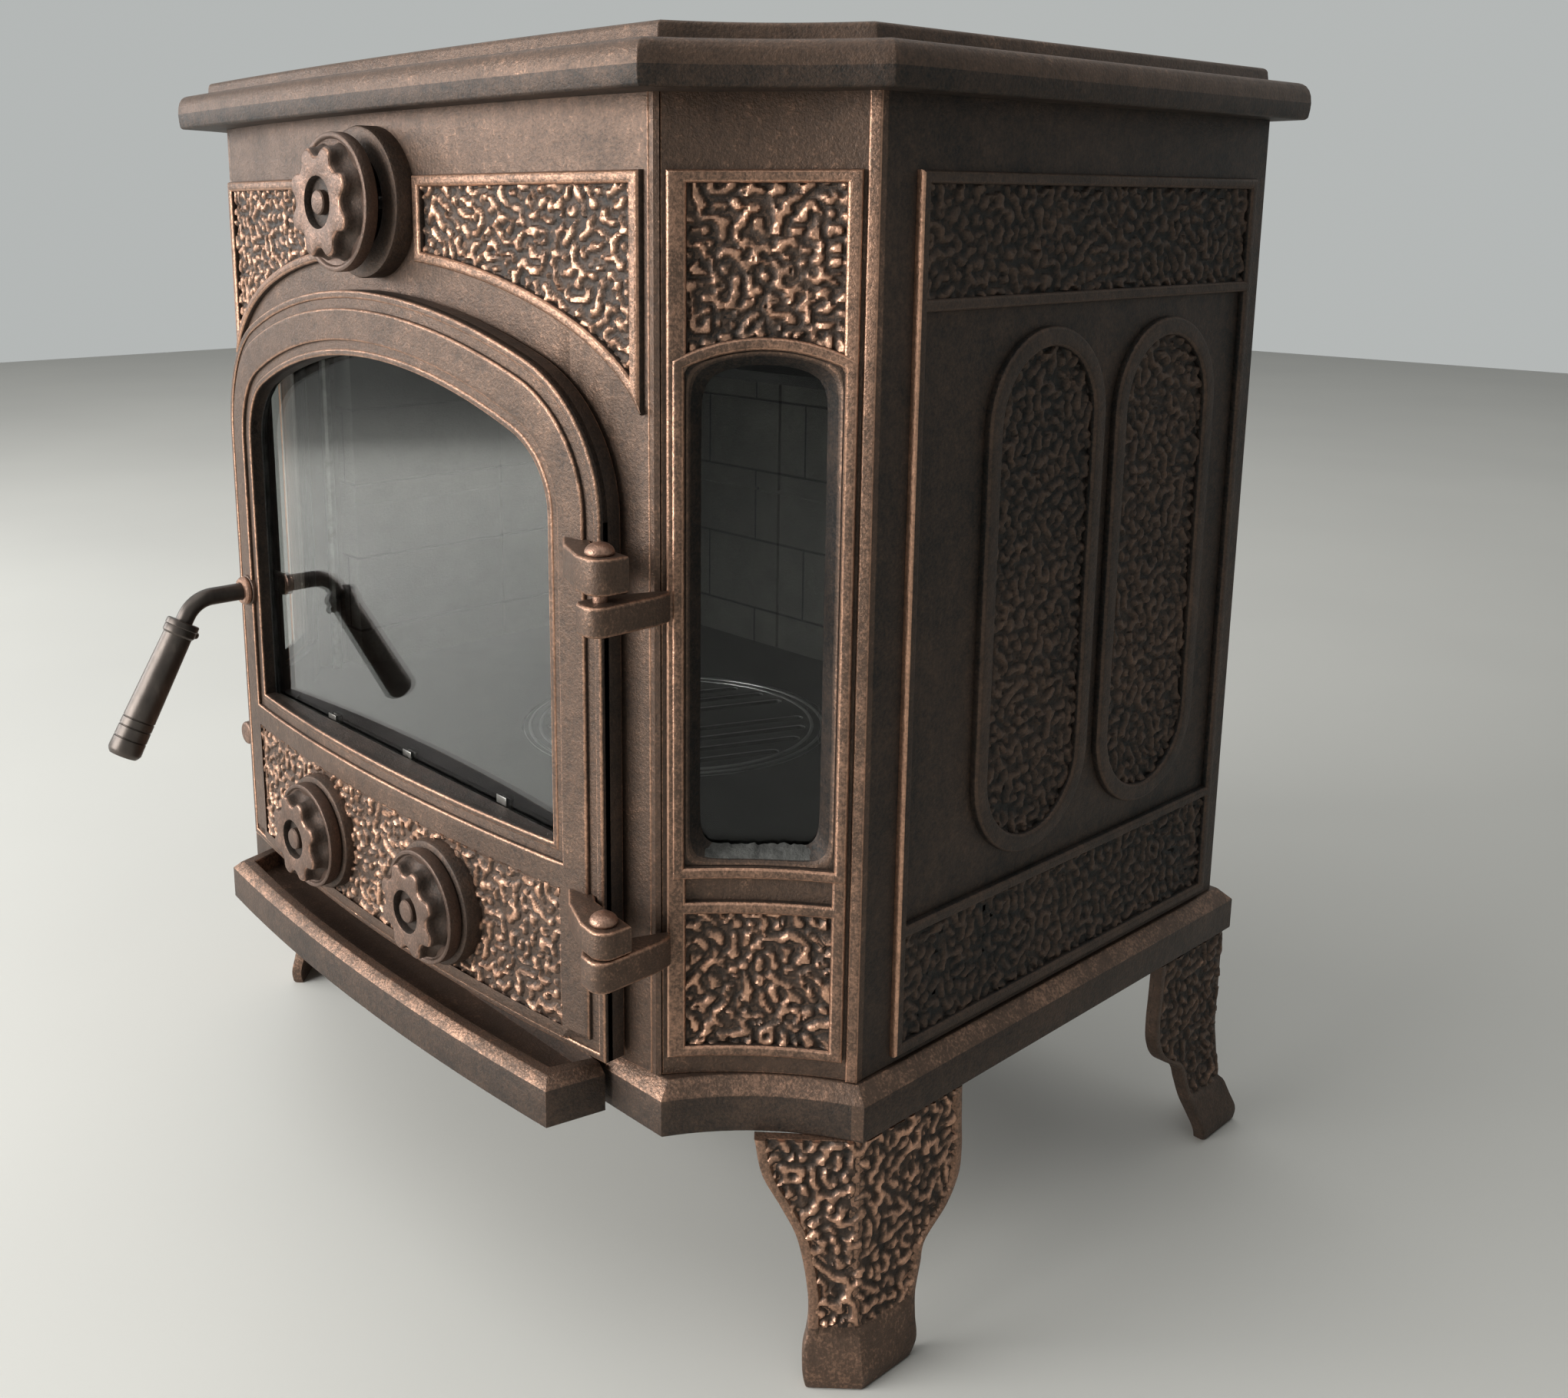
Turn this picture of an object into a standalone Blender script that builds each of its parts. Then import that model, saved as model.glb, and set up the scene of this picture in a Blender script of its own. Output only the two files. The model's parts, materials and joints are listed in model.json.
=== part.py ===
"""Cast iron wood stove with a bowed door, canted corner windows and four legs.

Units are metres, +Z is up and the front faces -Y. The origin lies on the floor, under the
middle of the whole object.
"""
import math

import bmesh
import bpy
from mathutils import Matrix, Vector

# Overall casting sizes
SIDE_HALF = 0.304
CORNER_REACH = 0.0765
FRONT_HALF = SIDE_HALF - CORNER_REACH
BODY_DEPTH = 0.436
BASE_BOTTOM = 0.147
BASE_HEIGHT = 0.030
BODY_TOP = 0.689
TOP_RIM_HEIGHT = 0.022
TOP_STEP_HEIGHT = 0.009
WALL = 0.007
FRONT_BOW = 0.018
CORNER_HOLLOW = 0.006
GAP = 0.0003
JOINT_INSET = 0.003
PANEL_SOCKET = 0.010

# Reach of the top plate and the base plate past the body
TOP_FRONT_REACH = 0.026
TOP_SIDE_REACH = 0.0165
TOP_BACK_REACH = 0.018
TOP_CORNER_OUT = 0.0195
TOP_CORNER_DROP = 0.0110
TOP_FRONT_BOW = 0.009
TOP_EDGE_ROUND = 0.0055
TOP_STEP_INSET = 0.020
TOP_SKIN = 0.009
TOP_RIB = 0.008
BASE_FRONT_REACH = 0.0055
BASE_SIDE_REACH = 0.0095
BASE_BACK_REACH = 0.014
BASE_CORNER_OUT = 0.0105
BASE_CORNER_DROP = 0.0045
BASE_FRONT_BOW = 0.006
BASE_CHAMFER = 0.008
PLATE_HOLLOW = 0.0085
BASE_PLATE_WALL = 0.008

# Raised frames on the panels
FRAME_PROUD = 0.0045
FRAME_WIDTH = 0.0065
FRAME_TOP = 0.6535
FRAME_BOTTOM = 0.189
FRAME_SINK = 0.002

# Spandrels above the door
SPANDREL_INNER = 0.0445
SPANDREL_MARGIN = 0.006
SPANDREL_ARC_MARGIN = 0.0015
SPANDREL_OUTER = FRONT_HALF - SPANDREL_MARGIN
SPANDREL_ARC_HALF = FRONT_HALF - SPANDREL_ARC_MARGIN
SPANDREL_ARC_RISE = 0.0904
SPANDREL_ARC_BASE = 0.5174

# Canted corner window
WINDOW_MARGIN = 0.016
CORNER_FRAME_MARGIN = 0.006
WINDOW_BOTTOM = 0.299
WINDOW_TOP = 0.567
WINDOW_RISE = 0.0085
WINDOW_BEAD = 0.007
SLOT_TOP = 0.293
SLOT_BOTTOM = 0.2785
LOWER_FIELD_TOP = 0.2715
CORNER_BOTTOM_BAR = 0.0065

# Side panel ornament
SIDE_FRAME_FRONT = 0.0255
SIDE_FRAME_BACK = 0.016
SIDE_FRAME_BOTTOM = 0.183
UPPER_BAND_HEIGHT = 0.062
LOWER_BAND_HEIGHT = 0.0755
OVAL_RADIUS = 0.053
OVAL_RING = 0.011
OVAL_TOP = 0.5735
OVAL_BOTTOM = 0.272
OVAL_SPACING = 0.117
OVAL_BACK = 0.162
OVAL_MIDDLE = BODY_DEPTH - OVAL_BACK
OVAL_PROUD = 0.005

# Door
DOOR_MARGIN = 0.0195
DOOR_HALF = FRONT_HALF - DOOR_MARGIN
DOOR_BOTTOM = 0.183
DOOR_TOP = 0.5888
DOOR_TOP_RADIUS = 0.430
DOOR_CORNER_RADIUS = 0.085
DOOR_PROUD = 0.018
DOOR_SKIN = 0.008
DOOR_RIM_WALL = 0.005
DOOR_REBATE = 0.002
DOOR_LEDGE = 0.010
DOOR_LEDGE_DEPTH = 0.0025
GLASS_STEP = 0.008
PANEL_OPENING_LAP = 0.0125
DOOR_STILE = 0.038
GLASS_HALF = DOOR_HALF - DOOR_STILE
GLASS_SILL = 0.300
GLASS_TOP = 0.5505
GLASS_TOP_RADIUS = 0.362
GLASS_CORNER_RADIUS = 0.045
GLASS_PLANE = -0.0135
GLASS_THICKNESS = 0.005
GLASS_LAP = 0.008
GLASS_TAPE = 0.0014
REVEAL_WALL = 0.004
DOOR_FIELD_MARGIN = 0.0335
DOOR_FIELD_HALF = DOOR_HALF - DOOR_FIELD_MARGIN
DOOR_FIELD_BOTTOM = 0.190
DOOR_FIELD_TOP = 0.2735
DOOR_FIELD_DEPTH = 0.0025
ROPE_RADIUS = 0.0042
ROPE_INSET = 0.0097

# Hinges
HINGE_OUT = 0.0015
HINGE_X = FRONT_HALF + HINGE_OUT
HINGE_Y = -0.036
PIN_RADIUS = 0.0037
PIN_CLEARANCE = 0.0003
PIN_HEAD_RADIUS = 0.0075
PIN_HEAD_HEIGHT = 0.006
HINGE_REACH = 0.0115
UPPER_LUG = (0.4530, 0.4715)
UPPER_ARM = (0.4325, 0.4480)
LOWER_LUG = (0.2632, 0.2785)
LOWER_ARM = (0.2455, 0.2627)

# Door handle and catch
HANDLE_INSET = 0.022
HANDLE_X = HANDLE_INSET - DOOR_HALF
HANDLE_Z = 0.373
ROD_RADIUS = 0.006
ROD_BEND_START = -0.0512
ROD_BEND_RADIUS = 0.022
ROD_BEND_ANGLE = math.radians(60.0)
GRIP_RADIUS = 0.0115
GRIP_LENGTH = 0.098
GRIP_START = 0.004
GRIP_SOCKET = 0.028
GRIP_GROOVES = (0.026, 0.020, 0.012)
COLLAR_RADIUS = 0.0098
COLLAR_THICKNESS = 0.0042
CATCH_REACH = 0.021
CATCH_WIDTH = 0.012
CATCH_THICKNESS = 0.006
CATCH_HUB_RADIUS = 0.0078
CATCH_PLAY = 0.0006
LATCH_BOSS_RADIUS = 0.0076

# Air wheels
WHEEL_RADIUS = 0.039
WHEEL_DISC = 0.0065
WHEEL_DEPTH = 0.0175
WHEEL_DISH = 0.003
KNOB_RADIUS = 0.0325
KNOB_LOBES = 8
KNOB_LOBE_DEPTH = 0.0052
KNOB_THICKNESS = 0.006
KNOB_CORE_RADIUS = 0.021
KNOB_RECESS_RADIUS = 0.0145
KNOB_RECESS_DEPTH = 0.005
SPINDLE_RADIUS = 0.004
SPINDLE_HEAD_RADIUS = 0.007
SPINDLE_CLEARANCE = 0.0003
SEAT_RADIUS = 0.043
SEAT_BORE = 0.027
SEAT_HEIGHT = 0.012
DOOR_SEAT_HEIGHT = 0.0060
SPIDER_HUB_RADIUS = 0.009
SPIDER_BAR = 0.007
TOP_WHEEL_Z = 0.6388
TOP_WHEEL_OPEN = 0.0085
DOOR_WHEEL_X = 0.0695
DOOR_WHEEL_Z = 0.2331
DOOR_WHEEL_OPEN = 0.0005
DOOR_WHEEL_SHARE = 0.88
SPINDLE_TAIL = 0.012

# Ash lip in front of the base
LIP_MARGIN = 0.0295
LIP_TAPER = 0.008
LIP_BACK_HALF = FRONT_HALF - LIP_MARGIN
LIP_FRONT_HALF = LIP_BACK_HALF - LIP_TAPER
LIP_FRONT_REACH = 0.0465
LIP_BOW = 0.0100
LIP_TOP = 0.174
LIP_RIM = 0.007
LIP_CHAMFER = 0.005
LIP_TRAY_DEPTH = 0.011

# Legs
LEG_INSET = 0.0005
LEG_WALL = 0.008
LEG_PAD = 0.006
LEG_PAD_SIZE = 0.062
LEG_PAD_INSET = 0.002
LEG_PAD_SINK = 0.0005
LEG_SECTIONS = ((0.000, 0.040, 0.031, 0.0100), (0.008, 0.045, 0.033, 0.0110),
                (0.022, 0.046, 0.032, 0.0070), (0.032, 0.047, 0.029, 0.0040),
                (0.050, 0.052, 0.028, 0.0020), (0.062, 0.056, 0.029, 0.0010),
                (0.075, 0.075, 0.031, 0.0000), (0.090, 0.085, 0.035, 0.0000),
                (0.106, 0.087, 0.043, 0.0000), (0.124, 0.086, 0.053, 0.0000))
LEG_HEAD_SECTION = (0.085, 0.058, 0.0000)
BOSS_RADIUS = 0.014

# Inside the body
TIE_ROD_RADIUS = 0.004
TIE_ROD_SIDE_INSET = 0.021
TIE_ROD_FRONT_INSET = 0.0215
TIE_ROD_BACK_INSET = 0.023
TIE_ROD_FRONT = CORNER_REACH + TIE_ROD_FRONT_INSET
TIE_ROD_BACK = BODY_DEPTH - TIE_ROD_BACK_INSET
TIE_BOSS_RADIUS = 0.009
TIE_BOSS_HEIGHT = 0.012
NUT_RADIUS = 0.0075
NUT_HEIGHT = 0.0065
FLOOR_TOP = 0.270
FLOOR_THICKNESS = 0.010
FLOOR_PLAY = 0.002
GRATE_FORWARD = 0.003
GRATE_Y = BODY_DEPTH / 2 - GRATE_FORWARD
GRATE_RADIUS = 0.110
GRATE_THICKNESS = 0.007
GRATE_LEDGE = 0.006
GRATE_SLOT = 0.008
GRATE_SLOTS = 9
GRATE_PITCH = 0.020
GRATE_SLOT_ANGLE = 68.0
LEVER_THICKNESS = 0.004
LEVER_WIDTH = 0.016
LEVER_DROP = 0.0145
GUIDE_X = 0.160
GUIDE_WALL = 0.006
GUIDE_LEDGE = 0.012
PAN_RAIL_Z = 0.199
PAN_HEIGHT = 0.040
PAN_SHEET = 0.002
PAN_FRONT = 0.020
PAN_BACK_ROOM = 0.056
PAN_LENGTH = BODY_DEPTH - PAN_FRONT - PAN_BACK_ROOM
BRICK = 0.025
BRICK_ROWS = 2
BRICK_HEIGHT = 0.134
BRICK_JOINT = 0.003
BACK_BRICK_COLUMNS = 3
SIDE_BRICK_COLUMNS = 2
SIDE_BRICK_INSET = 0.0375
SIDE_BRICK_BACK_ROOM = 0.043
BACK_BRICK_ROOM = 0.042
SIDE_BRICK_FRONT = CORNER_REACH + SIDE_BRICK_INSET
SIDE_BRICK_BACK = BODY_DEPTH - SIDE_BRICK_BACK_ROOM
BACK_BRICK_HALF = SIDE_HALF - BACK_BRICK_ROOM
BAFFLE_THICKNESS = 0.006
BAFFLE_LAP = 0.005
BAFFLE_INSET = 0.0485
BAFFLE_FRONT = CORNER_REACH + BAFFLE_INSET
FLUE_Z = 0.602
FLUE_RADIUS = 0.065
FLUE_WALL = 0.005
FLUE_LENGTH = 0.048
FLUE_FLANGE_RADIUS = 0.080
FLUE_FLANGE = 0.006
FLUE_BOLTS = 2
FLUE_BOLT_RADIUS = 0.0035
FLUE_BOLT_HEAD = 0.0035
WASH_MARGIN = 0.058
WASH_HALF = DOOR_HALF - WASH_MARGIN
WASH_DEPTH = 0.026
WASH_SHEET = 0.003
WASH_TOP = 0.676
WASH_BOTTOM = 0.590

# Riddling knob and rod
RIDDLE_INSET = 0.0097
RIDDLE_X = RIDDLE_INSET - FRONT_HALF
RIDDLE_Z = 0.2570
RIDDLE_ROD_RADIUS = 0.003
RIDDLE_KNOB_RADIUS = 0.0084
RIDDLE_KNOB_LENGTH = 0.0125
RIDDLE_KNOB_FRONT = -0.018
RIDDLE_SLOT_PLAY = 0.003

# Window glass and its clips
WINDOW_GLASS = 0.004
WINDOW_GLASS_LAP = 0.006
WINDOW_LINING = 0.006
WINDOW_LINING_FRONT = 0.003
LINER_SHEET = 0.003
LINER_CORNER_MARGIN = 0.010

# Frame that holds the door glass
RETAINER_SHEET = 0.0015
RETAINER_INNER = 0.003
RETAINER_OUTER = 0.0078
RETAINER_EAR = 0.0085
RETAINER_TABS = (-0.090, 0.005, 0.108)
RETAINER_TAB_WIDTH = 0.009
RETAINER_TAB_HEIGHT = 0.003
SCREW_X = 0.098
SCREW_OUT = 0.008
SCREW_RADIUS = 0.002
SCREW_HEAD_RADIUS = 0.0035
SCREW_HEAD = 0.002
SCREW_LENGTH = 0.008
SCREW_BOSS_RADIUS = 0.005

# Round things and curves
TURN_STEPS = 24
BOW_SLICES = 10
HOLLOW_SLICES = 6
PLATE_BOW_STEPS = 8
PLATE_CORNER_STEPS = 5
FLAT_ANGLE = math.radians(0.05)

CORNER_LENGTH = CORNER_REACH * math.sqrt(2)
BODY_BOTTOM = BASE_BOTTOM + BASE_HEIGHT
PANEL_TOP = BODY_TOP + PANEL_SOCKET - GAP
PANEL_BOTTOM = BODY_BOTTOM + GAP
TOP_HEIGHT = BODY_TOP + TOP_RIM_HEIGHT + TOP_STEP_HEIGHT
SIDE_START = CORNER_REACH + JOINT_INSET
SEAT_FRONT = -FRONT_BOW - SEAT_HEIGHT

CAST = (0.11, 0.075, 0.055)
COPPER = (0.24, 0.13, 0.085)
STEEL = (0.36, 0.35, 0.33)
BLACK = (0.02, 0.02, 0.02)
BRICK_COLOUR = (0.28, 0.24, 0.19)
GLASS_COLOUR = (0.55, 0.60, 0.60)


# Scene and material helpers

def clear_scene():
    """Remove every object, and make the collection that holds the stove."""
    for old in list(bpy.data.objects):
        bpy.data.objects.remove(old, do_unlink=True)
    collection = bpy.data.collections.new("cast_iron_wood_stove")
    bpy.context.scene.collection.children.link(collection)
    return collection


def material(name, colour, roughness, metallic):
    """A Principled material with a plain colour."""
    made = bpy.data.materials.new(name)
    made.use_nodes = True
    shader = made.node_tree.nodes["Principled BSDF"]
    shader.inputs["Base Color"].default_value = (*colour, 1.0)
    shader.inputs["Roughness"].default_value = roughness
    shader.inputs["Metallic"].default_value = metallic
    return made


def add_part(name, mesh, colour, roughness=0.6, metallic=0.8, origin=(0, 0, 0)):
    """Put a mesh, given in world space, into the stove as the named piece."""
    for vertex in mesh.vertices:
        vertex.co -= Vector(origin)
    mesh.name = name
    mesh.materials.clear()
    mesh.materials.append(material(name, colour, roughness, metallic))
    mesh.shade_smooth()
    mesh.set_sharp_from_angle(angle=math.radians(30))
    part = bpy.data.objects.new(name, mesh)
    part.location = origin
    STOVE.objects.link(part)
    return part


def centre_on_floor():
    """Move every piece so that the origin lies under the middle of the whole stove."""
    bpy.context.view_layer.update()
    depths = []
    for part in STOVE.objects:
        depths += [(part.matrix_world @ vertex.co).y for vertex in part.data.vertices]
    middle = (min(depths) + max(depths)) / 2
    for part in STOVE.objects:
        part.location.y -= middle


# Mesh helpers

def evaluated_mesh(source):
    """The mesh that an object shows, with its loose caps welded; the object is removed."""
    depsgraph = bpy.context.evaluated_depsgraph_get()
    mesh = bpy.data.meshes.new_from_object(source.evaluated_get(depsgraph))
    mesh.transform(source.matrix_world)
    bpy.data.objects.remove(source, do_unlink=True)
    shape = bmesh.new()
    shape.from_mesh(mesh)
    bmesh.ops.remove_doubles(shape, verts=shape.verts, dist=0.00001)
    bmesh.ops.dissolve_limit(shape, angle_limit=FLAT_ANGLE, verts=shape.verts, edges=shape.edges)
    bmesh.ops.triangulate(shape, faces=shape.faces)
    bmesh.ops.recalc_face_normals(shape, faces=shape.faces)
    shape.to_mesh(mesh)
    shape.free()
    return mesh


def linked(name, data):
    """A working object in the scene, outside the stove's collection."""
    made = bpy.data.objects.new(name, data)
    bpy.context.scene.collection.objects.link(made)
    return made


def outline_solid(outline, holes, front, back):
    """A flat outline of (x, z) points, with holes, from y = front to y = back."""
    curve = bpy.data.curves.new("outline", "CURVE")
    curve.dimensions = "2D"
    curve.fill_mode = "BOTH"
    curve.extrude = (back - front) / 2
    for loop in [outline] + list(holes):
        spline = curve.splines.new("POLY")
        spline.points.add(len(loop) - 1)
        for point, (across, up) in zip(spline.points, loop):
            point.co = (across, up, 0, 1)
        spline.use_cyclic_u = True
    mesh = evaluated_mesh(linked("outline", curve))
    stand = Matrix.Translation((0, (front + back) / 2, 0)) @ Matrix.Rotation(math.pi / 2, 4, "X")
    mesh.transform(stand)
    return mesh


def plan_solid(outline, holes, bottom, top):
    """A flat outline of (x, y) points, with holes, from z = bottom to z = top."""
    mesh = outline_solid(outline, holes, 0, top - bottom)
    lay = Matrix.Translation((0, 0, top)) @ Matrix.Rotation(-math.pi / 2, 4, "X")
    mesh.transform(lay)
    return mesh


def box(low, high):
    """A box between two corners."""
    shape = bmesh.new()
    bmesh.ops.create_cube(shape, size=1.0)
    size = [b - a for a, b in zip(low, high)]
    middle = [(a + b) / 2 for a, b in zip(low, high)]
    bmesh.ops.scale(shape, vec=size, verts=shape.verts)
    bmesh.ops.translate(shape, vec=middle, verts=shape.verts)
    mesh = bpy.data.meshes.new("box")
    shape.to_mesh(mesh)
    shape.free()
    return mesh


def cylinder(start, end, radius, sides=16):
    """A cylinder from one point to another."""
    start, end = Vector(start), Vector(end)
    shape = bmesh.new()
    bmesh.ops.create_cone(shape, cap_ends=True, segments=sides, radius1=radius, radius2=radius,
                          depth=(end - start).length)
    turn = Vector((0, 0, 1)).rotation_difference(end - start).to_matrix().to_4x4()
    shape.transform(Matrix.Translation((start + end) / 2) @ turn)
    mesh = bpy.data.meshes.new("cylinder")
    shape.to_mesh(mesh)
    shape.free()
    return mesh


def turned(profile, steps=TURN_STEPS):
    """A closed (radius, height) profile turned about Z with a Screw modifier."""
    shape = bmesh.new()
    corners = [shape.verts.new((radius, 0, height)) for radius, height in profile]
    for first, second in zip(corners, corners[1:] + corners[:1]):
        if first.co.x > 0 or second.co.x > 0:
            shape.edges.new((first, second))
    mesh = bpy.data.meshes.new("profile")
    shape.to_mesh(mesh)
    shape.free()
    source = linked("turned", mesh)
    screw = source.modifiers.new("Turn", "SCREW")
    screw.steps = steps
    screw.render_steps = steps
    screw.use_merge_vertices = True
    screw.merge_threshold = 0.00001
    return evaluated_mesh(source)


def moved(mesh, transform):
    """The same mesh after a transform."""
    mesh.transform(transform)
    return mesh


def mirrored(mesh):
    """A mirror image across the plane x = 0, with its faces still pointing out."""
    copy = mesh.copy()
    copy.transform(Matrix.Scale(-1, 4, (1, 0, 0)))
    copy.flip_normals()
    return copy


def combined(base, others, operation):
    """Join meshes to a base mesh, or cut them from it, with exact Booleans."""
    worker = linked("worker", base)
    tools = []
    for index, other in enumerate(others):
        tool = linked("tool", other)
        tool.hide_render = True
        tool.display_type = "WIRE"
        tools.append(tool)
        modifier = worker.modifiers.new("Boolean %d" % index, "BOOLEAN")
        modifier.operation = operation
        modifier.object = tool
    mesh = evaluated_mesh(worker)
    for tool in tools:
        bpy.data.objects.remove(tool, do_unlink=True)
    return mesh


def joined(base, *others):
    """The union of the meshes."""
    return combined(base, others, "UNION")


def cut(base, *others):
    """The base mesh less the others."""
    return combined(base, others, "DIFFERENCE")


def sliced(mesh, low, high, count):
    """The mesh cut into strips across x, in triangles, so that it can bend."""
    shape = bmesh.new()
    shape.from_mesh(mesh)
    for index in range(1, count):
        place = low + (high - low) * index / count
        parts = shape.verts[:] + shape.edges[:] + shape.faces[:]
        bmesh.ops.bisect_plane(shape, geom=parts, dist=0.000001, plane_co=(place, 0, 0),
                               plane_no=(1, 0, 0))
    bmesh.ops.triangulate(shape, faces=shape.faces)
    shape.to_mesh(mesh)
    shape.free()
    return mesh


def front_bow(x):
    """How far the front of the body stands forward of its corners at x."""
    return FRONT_BOW * (1 - (x / FRONT_HALF) ** 2)


def bowed(mesh, half):
    """A flat front casting bent to the bow of the front."""
    sliced(mesh, -half, half, BOW_SLICES)
    for vertex in mesh.vertices:
        vertex.co.y -= front_bow(vertex.co.x)
    return mesh


def hollowed(mesh):
    """A flat corner casting bent inwards between its two edges."""
    sliced(mesh, 0, CORNER_LENGTH, HOLLOW_SLICES)
    for vertex in mesh.vertices:
        share = 2 * vertex.co.x / CORNER_LENGTH - 1
        vertex.co.y += CORNER_HOLLOW * (1 - share ** 2)
    return mesh


def trimmed(mesh, point, normal):
    """The part of a closed mesh behind a plane, closed again along the plane."""
    shape = bmesh.new()
    shape.from_mesh(mesh)
    parts = shape.verts[:] + shape.edges[:] + shape.faces[:]
    bmesh.ops.bisect_plane(shape, geom=parts, dist=0.000001, plane_co=point, plane_no=normal,
                           clear_outer=True)
    edges = [edge for edge in shape.edges if edge.is_boundary]
    bmesh.ops.triangle_fill(shape, use_beauty=True, edges=edges)
    bmesh.ops.recalc_face_normals(shape, faces=shape.faces)
    shape.to_mesh(mesh)
    shape.free()
    return mesh


def lofted(rings):
    """A closed solid through rings with the same number of points, capped at both ends."""
    shape = bmesh.new()
    loops = [[shape.verts.new(point) for point in ring] for ring in rings]
    for lower, upper in zip(loops, loops[1:]):
        for index in range(len(lower)):
            following = (index + 1) % len(lower)
            shape.faces.new((lower[index], lower[following], upper[following], upper[index]))
    shape.faces.new(loops[0])
    shape.faces.new(loops[-1])
    bmesh.ops.triangulate(shape, faces=shape.faces)
    bmesh.ops.recalc_face_normals(shape, faces=shape.faces)
    mesh = bpy.data.meshes.new("loft")
    shape.to_mesh(mesh)
    shape.free()
    return mesh


# Outlines

def arc(centre, radius, start, end, steps):
    """Points along an arc between two angles."""
    points = []
    for index in range(steps + 1):
        angle = start + (end - start) * index / steps
        points.append((centre[0] + radius * math.cos(angle), centre[1] + radius * math.sin(angle)))
    return points


def circle(radius, steps, centre=(0, 0)):
    """Points round a circle."""
    return arc(centre, radius, 0, 2 * math.pi * (steps - 1) / steps, steps - 1)


def rectangle(left, right, bottom, top):
    """The four corners of a rectangle."""
    return [(left, bottom), (right, bottom), (right, top), (left, top)]


def arched(half, bottom, top, top_radius, corner_radius):
    """A door shape: straight sides, round shoulders and a flat arch on top."""
    crown = top - top_radius
    shoulder_x = half - corner_radius
    shoulder_z = crown + math.sqrt((top_radius - corner_radius) ** 2 - shoulder_x ** 2)
    meet = math.atan2(shoulder_z - crown, shoulder_x)
    right = arc((shoulder_x, shoulder_z), corner_radius, 0, meet, 5)
    across = arc((0, crown), top_radius, meet, math.pi - meet, 9)
    left = [(-x, z) for x, z in reversed(right)]
    return [(-half, bottom), (half, bottom)] + right + across[1:-1] + left


def door_outline(inset):
    """The door's own shape, drawn in by an inset on every edge."""
    return arched(DOOR_HALF - inset, DOOR_BOTTOM + inset, DOOR_TOP - inset,
                  DOOR_TOP_RADIUS - inset, DOOR_CORNER_RADIUS - inset)


def glass_outline(lap):
    """The opening in the door for the glass, let out by a lap on every edge."""
    return arched(GLASS_HALF + lap, GLASS_SILL - lap, GLASS_TOP + lap, GLASS_TOP_RADIUS + lap,
                  GLASS_CORNER_RADIUS + lap)


def spandrel(grow):
    """The field above one shoulder of the door, let out by a width on every edge."""
    half = SPANDREL_ARC_HALF + FRAME_WIDTH - grow
    rise = SPANDREL_ARC_RISE + FRAME_WIDTH - grow
    left = SPANDREL_INNER + FRAME_WIDTH - grow
    right = SPANDREL_OUTER - FRAME_WIDTH + grow
    top = FRAME_TOP - FRAME_WIDTH + grow
    points = [(right, top), (left, top)]
    for index in range(9):
        x = left + (right - left) * math.sin(math.pi / 2 * index / 8)
        points.append((x, SPANDREL_ARC_BASE + rise * math.sqrt(1 - (x / half) ** 2)))
    return points


def stadium(middle, radius, bottom, top):
    """An upright slot shape with round ends."""
    upper = arc((middle, top - radius), radius, 0, math.pi, 9)
    lower = arc((middle, bottom + radius), radius, math.pi, 2 * math.pi, 9)
    return upper + lower


def window_outline(grow):
    """The corner window, with its low arch, let out by a width on every edge."""
    half = CORNER_LENGTH / 2 - WINDOW_MARGIN
    radius = (half ** 2 + WINDOW_RISE ** 2) / (2 * WINDOW_RISE) + grow
    crown = WINDOW_TOP + grow - radius
    reach = math.asin((half + grow) / radius)
    middle = CORNER_LENGTH / 2
    top = arc((middle, crown), radius, math.pi / 2 - reach, math.pi / 2 + reach, 6)
    return [(middle - half - grow, WINDOW_BOTTOM - grow), (middle + half + grow, WINDOW_BOTTOM - grow)] + top


def upper_field_outline():
    """The textured field over the corner window, with the window's bead as its lower edge."""
    top = [point for point in window_outline(WINDOW_BEAD)[2:]]
    left = WINDOW_MARGIN
    right = CORNER_LENGTH - WINDOW_MARGIN
    arch = [point for point in top if left < point[0] < right]
    ends = (top[0][1] + top[1][1]) / 2
    field_top = FRAME_TOP - FRAME_WIDTH
    return [(left, field_top), (left, ends)] + arch[::-1] + [(right, ends), (right, field_top)]


def plate_ring(front_half, front_y, side_half, corner_y, back_y, bow, hollow, inset, z):
    """One level of the top plate or the base plate, anticlockwise, drawn in by an inset."""
    share = math.tan(math.radians(22.5))
    front_half -= inset * share
    front_y += inset
    side_half -= inset
    corner_y += inset * share
    back_y -= inset
    points = []
    for index in range(PLATE_BOW_STEPS + 1):
        x = front_half * (2 * index / PLATE_BOW_STEPS - 1)
        points.append((x, front_y - bow * (1 - (x / front_half) ** 2)))
    start = Vector((front_half, front_y))
    end = Vector((side_half, corner_y))
    inward = Vector((start.y - end.y, end.x - start.x)).normalized()
    corner = []
    for index in range(1, PLATE_CORNER_STEPS + 1):
        share = index / PLATE_CORNER_STEPS
        point = start.lerp(end, share) + inward * hollow * (1 - (2 * share - 1) ** 2)
        corner.append((point.x, point.y))
    points += corner
    points.append((side_half, back_y))
    points.append((-side_half, back_y))
    points += [(-x, y) for x, y in reversed(corner)]
    return [(x, y, z) for x, y in points]


def top_ring(inset, z):
    """One level of the top plate."""
    return plate_ring(FRONT_HALF + TOP_CORNER_OUT, -TOP_FRONT_REACH, SIDE_HALF + TOP_SIDE_REACH,
                      CORNER_REACH - TOP_CORNER_DROP, BODY_DEPTH + TOP_BACK_REACH, TOP_FRONT_BOW,
                      PLATE_HOLLOW, inset, z)


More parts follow.
